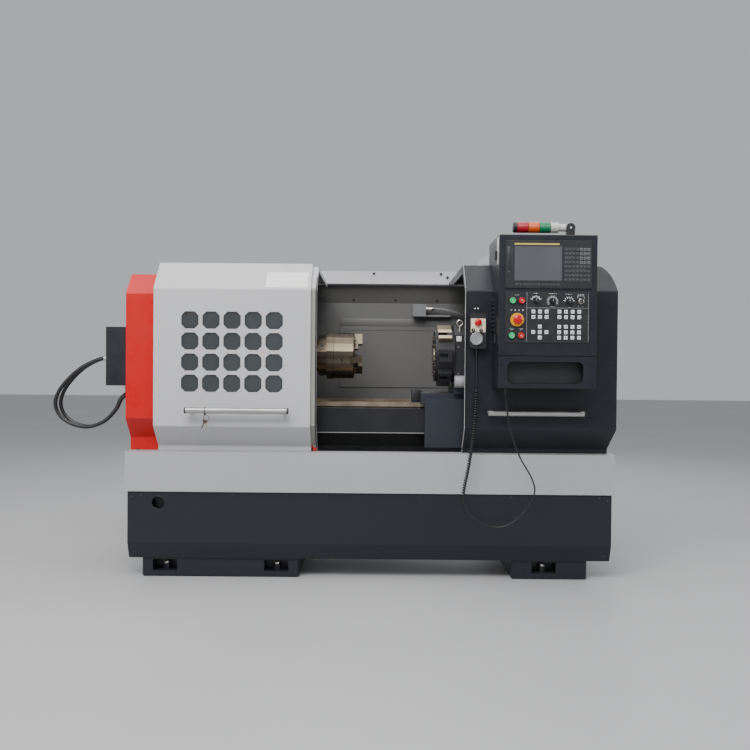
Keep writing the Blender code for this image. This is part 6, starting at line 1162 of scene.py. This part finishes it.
def dress_pendant():
    """Cream label, selector knobs, the wheel's scale, and the cord's ribbed boot."""
    left, low, face = PENDANT_LEFT, PENDANT_LOW, PENDANT_FACE_Y
    shape = Shape("pendant_details", "right_door", cream, black, panel_text, dark, rubber)
    label = rounded((left + 0.004, low + 0.0765), (left + 0.073, low + 0.141), 0.004, 4)
    shape.prism("Y", face - 0.0005, face + 0.0004, label, 0)
    top = face - 0.0096
    for x, z in ((left + 0.015, low + 0.086), (left + 0.052, low + 0.0855)):
        shape.turned("Y", face, (x, z), (
            (-0.0005, 0.0094), (-0.0030, 0.0090), (-0.0092, 0.0078), (-0.0104, 0.0064), (-0.0104, 0.0),
        ), 1, 24)
        shape.block((x - 0.0013, top - 0.0030, z - 0.0070), (x + 0.0013, top, z + 0.0070), 1, 0.0004)
        shape.block((x - 0.0005, top - 0.0034, z + 0.0010), (x + 0.0005, top - 0.0026, z + 0.0066), 2)
        for angle in steps(-60, 30, 5):
            shape.tick(face - 0.0005, (x, z), angle, 0.0108, 0.0134, 0.0010, 3)
    shape.dashes(face - 0.0005, left + 0.0345, low + 0.0835, 0.0065, 0.0026, 3)
    wheel = (left + 0.031, low + 0.046)
    shape.hoop(face, wheel, 0.0298, 0.0335, 1, 0.0010)
    for angle in steps(0, 36, 10):
        shape.tick(face - 0.0010, wheel, angle, 0.0302, 0.0332, 0.0007, 2, 0.0001)
    for x in (left + 0.0075, left + 0.0695):
        shape.pan_screw("Y", face, (x, low + 0.0075), 0.0026, -1, 3, 1)
    profile = [(low + 0.001, 0.0105)]
    for i, z in enumerate(steps(low - 0.001, -0.0044, 5)):
        outer = 0.0102 - i * 0.0008
        profile += [(z, outer), (z - 0.0022, outer - 0.0002)]
        profile += [(z - 0.0026, outer - 0.0012), (z - 0.0040, outer - 0.0012)]
    foot = PENDANT[0][2]
    profile += [(foot - 0.0005, 0.0058), (foot - 0.010, 0.0046), (foot - 0.010, 0.0036)]
    shape.turned("Z", 0.0, CORD_BOOT, profile, 4, 24)
    shape.done()
    face = PENDANT_FACE_Y - 0.0126
    shape = Shape("pendant_wheel_details", "pendant_wheel", aluminium, black, panel_text)
    profile = ((0.0026, 0.0), (0.0022, 0.0060), (0.0024, 0.0205), (0.0030, 0.0207))
    shape.turned("Y", face, wheel, profile, 0, 40)
    for spot in circle(wheel, 0.0288, 40):
        shape.turned("Y", face, spot, ((0.0016, 0.0), (0.0020, 0.0011), (0.0110, 0.0011)), 0, 8)
    shape.done()
    shape = Shape("pendant_stop_head", "pendant_stop", red_lit)
    shape.turned("Y", PENDANT_FACE_Y - 0.016, (left + 0.037, low + 0.122), (
        (0.0086, 0.0164), (0.0040, 0.0164), (0.0014, 0.0140), (-0.0003, 0.0070), (-0.0005, 0.0),
    ), 0, 40)
    shape.done()


# Signal lamp

def dress_lamp():
    """Ribbed lenses in three colours over the stack, and the cap at its end."""
    low, high = LENSES
    centre = ((low[1] + high[1]) / 2, (low[2] + high[2]) / 2)
    shape = Shape("lamp_rings", "lamp", lens_red, lens_amber, lens_green, black)
    last = LENS_LENGTH - 0.0028
    pitch = (last - 0.004) / LENS_RIBS
    profile = [(0.0, 0.0236), (0.0, 0.0247)]
    for x in steps(0.002, pitch, LENS_RIBS):
        profile += [(x, 0.0247), (x + pitch * 0.3, 0.0253), (x + pitch * 0.7, 0.0253), (x + pitch, 0.0247)]
    profile += [(last, 0.0247), (last, 0.0236)]
    for slot, first in enumerate(steps(low[0] + 0.0192, LENS_LENGTH, 3)):
        shape.turned("X", first, centre, profile, slot, 48)
    shape.turned("X", low[0], centre, (
        (-0.0006, 0.0), (-0.0004, 0.014), (0.0010, 0.0205), (0.0045, 0.0242), (0.0175, 0.0249),
        (0.0178, 0.0236),
    ), 3, 48)
    shape.done()


# Interior

def dress_beam():
    """Screws along the top beam and high on the wall."""
    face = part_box("top_beam")[0][1] + 0.033
    shape = Shape("beam_and_wall_screws", "frame", steel, black, inside)
    for spot in [(x, 1.569) for x in steps(-0.675, 0.393, 5)] + [(0.542, 1.549)]:
        shape.cap_screw("Y", face, spot, 0.0072, -1, 1, 1)
    for x in steps(-0.009, 0.248, 3):
        shape.pan_screw("Y", WALL_Y - 0.0095, (x, 1.420), 0.0078, -1, 1, 1)
    shape.done()


def dress_work_light():
    """Plug of the work light and the screws of its box."""
    low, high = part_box("work_light")
    end = low[0] + 0.078
    plug = (low[1] + 0.0275, low[2] + 0.0568)
    shape = Shape("work_light_details", "frame", lamp_grey, steel, black, lit_panel)
    shape.turned("X", end, plug, ((-0.0005, 0.0150), (0.008, 0.0150), (0.008, 0.0128)), 1, 6)
    shape.turned("X", end, plug, (
        (0.008, 0.0130), (0.022, 0.0130), (0.024, 0.0140), (0.040, 0.0140), (0.046, 0.0120), (0.046, 0.0111),
    ), 1, 28)
    for x in (low[0] + 0.006, end - 0.006):
        for z in (high[2] - 0.006, high[2] - 0.067):
            shape.pan_screw("Y", low[1], (x, z), 0.0028, -1, 1, 2)
    shape.done()


def dress_wall_panel():
    """Folded band above the wall's raised panel, and dark strips along its folds that paint the shadow
    there.
    """
    left, right = WALL_PANEL_X
    low, high = WALL_PANEL_Z
    band = high + WALL_BAND
    face = WALL_Y - 0.005
    wall = WALL_Y - 0.0002
    painted_shadow_width = 0.0028
    shape = Shape("wall_panel_band_and_shadow_lines", "frame", inside, dark)
    shape.block((left, face + 0.0002, high + 0.002), (right, wall, band), 0, 0.0010)
    # Dark strips under the band and along the panel's folds are painted shadow
    shape.block((left, face - 0.0005, high - 0.0005), (right, face + 0.0020, high + 0.0022), 1, 0.0002)
    shape.block((left - painted_shadow_width, face + 0.0010, low), (left - 0.0003, wall, band), 1, 0.0002)
    inner = left + WALL_PANEL_STEP
    shape.block((inner + 0.0003, face + 0.0008, low + WALL_PANEL_STEP),
                (inner + painted_shadow_width, face + 0.0023, high - WALL_PANEL_STEP), 1, 0.0002)
    shape.done()


def add_way_wiper():
    """Black cap of the wiper at the saddle's left end, over the front way."""
    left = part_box("saddle")[0][0]
    proud = 0.0008
    shape = Shape("way_wiper", "carriage", black)
    shape.block((left - proud, WIPER_Y - proud, WAY_TOP + 0.0012),
                (left + WIPER_LENGTH - 0.001, WIPER_Y + WIPER_WIDTH + proud, WIPER_TOP + proud), 0, 0.0007)
    shape.done()


def station_outline(station, inner, outer, near, far):
    """Corners of a block on a station of the disc, between two radii and two distances from its middle."""
    angle = math.radians(45.0 * station)
    out = Vector((-math.sin(angle), math.cos(angle)))
    side = Vector((out.y, -out.x))
    middle = Vector(TURRET_CENTRE)
    corners = [(inner, near), (outer, near), (outer, far), (inner, far)]
    return [tuple(middle + out * radius + side * shift) for radius, shift in corners]


def dress_turret():
    """Screws between the disc's stations and round its middle, tool blocks and the round cap."""
    face = TURRET_FACE_X
    shape = Shape("turret_tools", "turret", tool_steel, chuck_steel, black)
    for angle in steps(22.5, 45.0, 8):
        turn = math.radians(angle)
        out = Vector((math.cos(turn), math.sin(turn)))
        middle = Vector(TURRET_CENTRE) + out * 0.094
        for shift in (-0.017, 0.017):
            spot = (middle.x - out.y * shift, middle.y + out.x * shift)
            shape.cap_screw("X", face, spot, 0.0052, -1, 1, 2)
    for spot in circle(TURRET_CENTRE, 0.052, 8):
        shape.cap_screw("X", face, spot, 0.0045, -1, 1, 2)
    for station, slot in ((0, 0), (1, 0), (3, 2), (6, 2)):
        for side in (-1, 1):
            outline = station_outline(station, 0.104, 0.1528, side * 0.0103, side * 0.0306)
            shape.prism("X", face + 0.0132, TURRET[1][0] - 0.0432, outline, slot)
    profile = ((0.0004, 0.040), (-0.0028, 0.0395), (-0.0034, 0.0385), (-0.0034, 0.0))
    shape.turned("X", face, TURRET_CENTRE, profile, 0, 40)
    shape.done()


def dress_turret_housing():
    """Pale sleeve of the turret's motor, lifting eyes, screws and a bare plate."""
    low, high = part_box("turret_housing")
    face = HOUSING_FACE_Y
    shape = Shape("turret_motor_sleeve", "turret_slide", sleeve_grey, black, steel, white_film)
    centre = (low[1] + 0.029, 0.957)
    end = high[0] - low[0] - 0.0300
    shape.turned("X", low[0], centre, (
        (-0.0006, 0.0), (-0.0006, 0.0262), (0.0006, 0.0284), (0.0030, 0.0297), (end, 0.0297), (end, 0.0280),
    ), 0, 40)
    for x in steps(low[0] + 0.030, 0.012, 4):
        profile = ((0.0, 0.0290), (0.0, 0.0302), (0.005, 0.0302), (0.005, 0.0290))
        shape.turned("X", x, centre, profile, 0, 40)
    shape.ring("X", (low[0] + high[0]) / 2, (-0.33, high[2] - 0.021), 0.016, 0.0054, 2)
    eye_x, eye_y = low[0] + 0.029, -0.404
    shape.turned("Z", 1.200, (eye_x, eye_y), (
        (0.0, 0.0), (0.0, 0.0085), (0.016, 0.0085), (0.019, 0.0050), (0.032, 0.0045),
    ), 2, 24)
    shape.ring("Y", eye_y, (eye_x, 1.2455), 0.0140, 0.0040, 2)
    for x in (low[0] + 0.020, high[0] - 0.020):
        for z in (0.995, 1.125):
            shape.cap_screw("Y", face, (x, z), 0.0050, -1, 2, 1)
    corner = (low[0] + 0.034, face + 0.0002, 1.180)
    shape.block((low[0] + 0.010, face - 0.0006, 1.155), corner, 3, 0.0001)
    shape.done()


def dress_chuck():
    """Screws and oil points on the chuck's face, dark discs round it that paint the shade in its key and oil
    holes, and dark lines that paint the shade in its grooves.
    """
    face = CHUCK_FACE_X
    shape = Shape("chuck_screws", "spindle_line", chuck_steel, dark_steel, black)
    for angle in (108.0, 156.0):
        for spot in circle(CHUCK_CENTRE, 0.086, 3, math.radians(angle)):
            shape.cap_screw("X", face, spot, 0.0072, 1, 0, 2)
    nipple = ((0.0, 0.0045), (0.0012, 0.0040), (0.0024, 0.0018), (0.0024, 0.0))
    for spot in circle(CHUCK_CENTRE, 0.062, 3, math.radians(132.0)):
        shape.turned("X", face, spot, nipple, 1, 20)
    # Key and oil holes are dark discs that paint the shade inside them
    key_hole_shade = ((0.1060, 0.0135), (0.1074, 0.0135), (0.1074, 0.0115), (0.1066, 0.0110), (0.1066, 0.0))
    oil_hole_shade = ((0.1200, 0.0062), (0.1226, 0.0060), (0.1226, 0.0034), (0.1216, 0.0))
    for x, profile, ahead, sides in ((-0.158, key_hole_shade, 0.0, 28), (-0.052, oil_hole_shade, 0.6, 20)):
        for angle in steps(67.9, 120.0, 3):
            first = len(shape.bm.verts)
            shape.turned("Z", 0.0, (x, 0.0), profile, 2, sides)
            turn = Matrix.Rotation(math.radians(angle) + ahead, 4, "X")
            shape.move(first, Matrix.Translation((0.0, *CHUCK_CENTRE)) @ turn)
    # Dark bands that paint the shade in the grooves round the chuck
    for start in (CHUCK[0][0] + 0.085, CHUCK[0][0] + 0.0464):
        profile = ((-0.0040, 0.1178), (-0.0038, 0.1186), (-0.0004, 0.1186), (-0.0002, 0.1178))
        shape.turned("X", start, CHUCK_CENTRE, profile, 1, 60)
    shape.done()


# Right door

def dress_right_door():
    """Pale edge line, screws on the face, and a gusset on the roof behind the cabinet."""
    left = RIGHT_DOOR[0][0]
    shape = Shape("right_door_details", "right_door", light_grey, steel, black, rubber)
    profile = [
        (DOOR_LIP[0], DOOR_FOOT_Z), DOOR_LIP, (DOOR_FACE_Y, DOOR_LOWER_FOLD), (DOOR_FACE_Y, DOOR_UPPER_FOLD),
        DOOR_ROOF_FRONT,
    ]
    shape.strip([(y + 0.0006, z) for y, z in profile], (left - 0.0009, left + 0.0004), 0.014, 0)
    for x in (left + 0.0465, left + 0.0615):
        profile = ((0.0, 0.0048), (-0.0016, 0.0044), (-0.0028, 0.0024), (-0.0030, 0.0))
        shape.turned("Y", DOOR_FACE_Y, (x, 1.3065), profile, 1, 20)
    for z in (0.80, 1.05, 1.32):
        shape.pan_screw("Y", DOOR_FACE_Y, (RIGHT_DOOR[1][0] - 0.030, z), 0.0052, -1, 2, 2)
    x = CONTROL_LEFT
    slope = [(x - 0.045, 1.555), (x + 0.016, 1.598)]
    outline = [(x - 0.065, 1.524), *slope, (x + 0.036, 1.598), (x + 0.036, 1.524)]
    shape.prism("Y", -0.40, -0.396, outline, 0)
    shape.prism("Y", -0.396, -0.20, [*slope, (x + 0.016, 1.594), (x - 0.045, 1.551)], 0)
    shape.done()


# Back of the machine

def dress_end_wall():
    """Screws round the right end wall."""
    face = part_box("rear_splash_guard")[1][0]
    shape = Shape("end_wall_screws", "frame", black, steel)
    spots = [(-0.485, z) for z in (0.80, 1.04, 1.28)] + [(0.405, z) for z in (0.66, 0.90, 1.14, 1.34)]
    spots += [(y, 0.645) for y in (-0.36, -0.12, 0.14)]
    spots += [(-0.36, 1.474), (-0.12, 1.466), (0.12, 1.450), (0.30, 1.440)]
    for spot in spots:
        shape.pan_screw("X", face, spot, 0.0062, 1, 1, 0)
    shape.done()


def dress_cabinet_door():
    """Louvres and corner screws on the electrical cabinet's door."""
    low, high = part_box("cabinet_door")
    back = high[1] - CABINET_LATCH
    shape = Shape("cabinet_door_details", "rear_door", black, steel, charcoal)
    profile = ((-0.0002, 0.0), (0.0055, 0.002), (0.0060, 0.005), (-0.0002, 0.013))
    for x in steps(low[0] + 0.12, 0.53, 2):
        shape.louvres("X", (x, x + 0.30), back, 1, steps(low[2] + 0.10, 0.020, 10), profile, 2)
    for x in (low[0] + 0.03, high[0] - 0.03):
        for z in (low[2] + 0.03, high[2] - 0.03):
            shape.pan_screw("Y", back, (x, z), 0.0045, 1, 1, 0)
    shape.done()


def dress_cabinet():
    """Blanking plugs below the electrical cabinet and lifting eyes on top."""
    low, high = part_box("electrical_cabinet")
    shape = Shape("cabinet_details", "frame", black, steel, charcoal)
    for x in steps(low[0] + 0.14, 0.06, 4):
        shape.turned("Z", low[2], (x, 0.62), ((0.0004, 0.016), (-0.007, 0.016), (-0.007, 0.0135)), 0, 6)
        profile = ((-0.007, 0.0135), (-0.016, 0.0125), (-0.019, 0.0095), (-0.019, 0.0))
        shape.turned("Z", low[2], (x, 0.62), profile, 0, 28)
    for x in (low[0] + 0.05, high[0] - 0.05):
        profile = ((0.0, 0.0), (0.0, 0.0135), (0.006, 0.0140), (0.006, 0.0))
        shape.turned("Y", 0.600, (x, high[2] + 0.020), profile, 1, 24)
        shape.block((x - 0.012, 0.596, high[2] - 0.0003), (x + 0.012, 0.610, high[2] + 0.014), 1, 0.002)
    shape.done()


def add_drive(shape, x, face, z, width):
    """Front of one drive, with slots above, terminals below, a display and a light."""
    top = z + DRIVE_HEIGHT
    corner = (x + width - 0.003, face + 0.0060, top - 0.003)
    shape.block((x + 0.003, face - 0.0005, z + 0.030), corner, 0, 0.0020)
    count = max(3, round(width / 0.026))
    step = (width - 0.030) / count
    for start in steps(x + 0.015, step, count):
        corner = (start + step * 0.55, face + 0.0064, top - 0.012)
        shape.block((start, face + 0.0055, top - 0.044), corner, 1, 0.0002)
        corner = (start + step * 0.8, face + 0.0070, z + 0.024)
        shape.block((start, face - 0.0005, z + 0.006), corner, 2, 0.0008)
    corner = (x + width * 0.70, face + 0.0068, z + 0.086)
    shape.block((x + width * 0.30, face + 0.0055, z + 0.062), corner, 1, 0.0004)
    profile = ((0.0058, 0.0), (0.0058, 0.0030), (0.0078, 0.0022), (0.0078, 0.0))
    shape.turned("Y", face, (x + width * 0.82, z + 0.074), profile, 4, 16)


def dress_drives():
    """Fronts of the drives in the electrical cabinet, and its cable ducts with their combs."""
    low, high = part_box("electrical_cabinet")
    plate = low[1] + DRIVE_PLATE
    shape = Shape("drive_fronts", "frame", drive_grey, black, line_grey, clear_plastic, green_lit)
    for height, depth, count in DRIVE_ROWS:
        pitch = (high[0] - low[0] - 4 * DRIVE_MARGIN) / count
        for x in steps(low[0] + 2 * DRIVE_MARGIN, pitch, count):
            add_drive(shape, x, plate + depth, low[2] + DRIVE_MARGIN + height, pitch * 0.8)
    for height in DRIVE_DUCTS:
        z = low[2] + DRIVE_MARGIN + height
        corner = (high[0] - 0.075, plate + 0.040, z + 0.045)
        shape.block((low[0] + 0.075, plate - 0.0005, z), corner, 3, 0.0015)
        for x in steps(low[0] + 0.090, 0.0258, DUCT_COMBS):
            shape.block((x, plate + 0.0398, z + 0.005), (x + 0.006, plate + 0.0406, z + 0.040), 1, 0.0001)
    shape.done()


# Cords

def between(a, b, c, d, part):
    """Point of a centripetal Catmull-Rom curve from b to c."""
    t0 = 0.0
    t1 = t0 + math.sqrt((b - a).length)
    t2 = t1 + math.sqrt((c - b).length)
    t3 = t2 + math.sqrt((d - c).length)
    t = t1 + (t2 - t1) * part
    ab = a.lerp(b, (t - t0) / (t1 - t0))
    bc = b.lerp(c, (t - t1) / (t2 - t1))
    cd = c.lerp(d, (t - t2) / (t3 - t2))
    return ab.lerp(bc, (t - t0) / (t2 - t0)).lerp(bc.lerp(cd, (t - t1) / (t3 - t1)), part)


def smooth_route(points):
    """Fine points of a smooth curve through a route's own points, and the length to each."""
    knots = [Vector(point) for point in points]
    knots = [2 * knots[0] - knots[1]] + knots + [2 * knots[-1] - knots[-2]]
    fine = []
    for a, b, c, d in zip(knots, knots[1:], knots[2:], knots[3:]):
        for i in range(ROUTE_STEPS):
            fine.append(between(a, b, c, d, i / ROUTE_STEPS))
    fine.append(knots[-2])
    lengths = [0.0]
    for a, b in zip(fine, fine[1:]):
        lengths.append(lengths[-1] + (b - a).length)
    return fine, lengths


def spot_at(route, goal):
    """Point and direction of a smooth route at a length along it."""
    fine, lengths = route
    index = 0
    while index < len(lengths) - 2 and lengths[index + 1] < goal:
        index += 1
    part = (goal - lengths[index]) / (lengths[index + 1] - lengths[index])
    return fine[index].lerp(fine[index + 1], part), (fine[index + 1] - fine[index]).normalized()


def evenly(route, start, end, spacing):
    """Points of a route between two lengths, a spacing apart."""
    count = max(1, round((end - start) / spacing))
    return [spot_at(route, start + (end - start) * i / count)[0] for i in range(count + 1)]


def tube(name, points, diameter, body):
    """Round rubber cord along points, as one open spline."""
    data = bpy.data.curves.new(name, "CURVE")
    data.dimensions = "3D"
    data.bevel_depth = diameter / 2
    data.bevel_resolution = 3
    data.use_fill_caps = True
    spline = data.splines.new("POLY")
    spline.points.add(len(points) - 1)
    for point, spot in zip(spline.points, points):
        point.co = (*spot, 1.0)
    spline.use_smooth = True
    made = bpy.data.objects.new(name, data)
    bpy.context.scene.collection.objects.link(made)
    data.materials.append(rubber.material)
    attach(made, body)
    return made


def make_hoses():
    """Two hydraulic hoses that loop from the guard's left side back to its underside."""
    first = GUARD[0][0] - GAP
    last = GUARD[0][2] - GAP
    step = HOSE_DIAMETER / 2
    for node, (y, place, width) in HOSES.items():
        points = [(first - i * step, y, HOSE_EXIT_Z) for i in (0, 1, 2)]
        for x, z in HOSE_ROUTE:
            points.append((TRAY_LEFT + HOSE_LOOP_MIDDLE + (x - HOSE_LOOP_MIDDLE) * width, y, z))
        points += [(TRAY_LEFT + place, y, last - i * step) for i in (2, 1, 0)]
        route = smooth_route(points)
        spots = evenly(route, 0.0, route[1][-1], 0.6 * HOSE_DIAMETER)
        hose = tube(f"{node}_tube", spots, HOSE_DIAMETER, "frame")
        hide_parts(node)


def curl_points(route):
    """Helix of the curly stretch round the route, opened out and narrowed over its first and last turns."""
    spots = []
    count = CURL_TURNS * CURL_POINTS
    wound = [min(1.0, i / CURL_EASE, (count - i) / CURL_EASE) for i in range(count)]
    rate = 2 * math.pi * CURL_TURNS / sum(wound)
    side = Vector((0.0, 1.0, 0.0))
    turn = 0.0
    for i in range(1, count):
        spot, ahead = spot_at(route, LEAD_LENGTH + CURL_LENGTH * i / count)
        across = (side - ahead * side.dot(ahead)).normalized()
        third = ahead.cross(across)
        ease = wound[i]
        turn += rate * ease
        radius = CURL_RADIUS * ease * ease * (3 - 2 * ease)
        spots.append(spot + radius * (across * math.cos(turn) + third * math.sin(turn)))
    return spots


def make_pendant_cord():
    """Pendant cord: straight lead, curly stretch and the loose cable back to the cabinet."""
    left = RIGHT_DOOR[0][0]
    step = CORD_DIAMETER / 2
    first = PENDANT[0][2] - GAP
    last = CONTROL_LOW - GAP
    points = [(*CORD_BOOT, first - i * step) for i in (0, 3, 6)]
    points += [(left + x, y, z) for x, y, z in CORD_ROUTE]
    points += [(*CORD_GLAND, last - i * step) for i in (6, 3, 0)]
    route = smooth_route(points)
    spots = evenly(route, 0.0, LEAD_LENGTH, 2 * CORD_DIAMETER)
    spots += curl_points(route)
    spots += evenly(route, LEAD_LENGTH + CURL_LENGTH, route[1][-1], 2 * CORD_DIAMETER)
    cord = tube("pendant_cord", spots, CORD_DIAMETER, "right_door")
    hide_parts("pendant_lead", "pendant_curl", "pendant_cable")


# Studio

def make_floor():
    """Plain pale floor with a faint cloudiness."""
    look = Finish("floor")
    cloud = look.noise(0.8, 4.0)
    look.link(look.mixed(cloud, (0.40, 0.40, 0.41), (0.45, 0.45, 0.455)), "Base Color")
    look.link(look.span(cloud, 0.45, 0.6), "Roughness")
    bm = bmesh.new()
    bmesh.ops.create_grid(bm, x_segments=2, y_segments=2, size=20.0)
    mesh = bpy.data.meshes.new("floor")
    bm.to_mesh(mesh)
    bm.free()
    floor = bpy.data.objects.new("floor", mesh)
    floor.location.z = CAD_BOX[0][2] - 0.001
    mesh.materials.append(look.material)
    bpy.context.scene.collection.objects.link(floor)


def make_light(name, place, target, size, power, colour=(1.0, 1.0, 1.0)):
    """Soft rectangular light aimed at a point."""
    data = bpy.data.lights.new(name, "AREA")
    data.shape = "RECTANGLE"
    data.size, data.size_y = size
    data.energy = power
    data.color = colour
    light = bpy.data.objects.new(name, data)
    light.location = place
    light.rotation_euler = (Vector(target) - Vector(place)).to_track_quat("-Z", "Y").to_euler()
    bpy.context.scene.collection.objects.link(light)


def make_studio():
    """Soft light from above, both sides and behind, a pale surround and the floor."""
    world = bpy.data.worlds.new("studio")
    bpy.context.scene.world = world
    world.use_nodes = True
    background = world.node_tree.nodes["Background"]
    background.inputs["Color"].default_value = (0.88, 0.90, 0.93, 1.0)
    background.inputs["Strength"].default_value = 0.55
    middle = (0.0, 0.0, 0.9)
    make_light("key_light", (-0.9, -3.9, 4.3), (0.0, -0.3, 0.9), (3.4, 2.0), 260.0)
    make_light("top_light", (0.0, -0.6, 4.6), (0.0, -0.2, 0.8), (5.0, 3.0), 110.0)
    make_light("left_light", (-3.8, -3.6, 2.4), middle, (2.4, 2.4), 60.0, (1.0, 0.98, 0.95))
    make_light("right_light", (4.2, -3.2, 2.4), middle, (2.2, 2.6), 45.0, (0.94, 0.97, 1.0))
    make_light("back_light", (0.6, 4.2, 3.4), middle, (4.0, 2.0), 90.0)
    make_floor()


make_camera()
make_hoses()
make_pendant_cord()
dress_model()
window_frames()
left_door_trim()
left_door_label()
handle_caps("left_handle_caps", "left_door", "left_door_handle")
handle_caps("right_handle_caps", "right_door", "right_door_handle")
key_on_tie()
skirt_details()
pocket_bolts()
end_cover_details()
guard_details()
dress_operator_panel()
dress_display()
dress_dials()
dress_buttons()
dress_hinged_front()
dress_control_cabinet()
dress_pendant()
dress_lamp()
dress_beam()
dress_work_light()
dress_wall_panel()
add_way_wiper()
dress_turret()
dress_turret_housing()
dress_chuck()
dress_right_door()
dress_end_wall()
dress_cabinet_door()
dress_cabinet()
dress_drives()
make_studio()
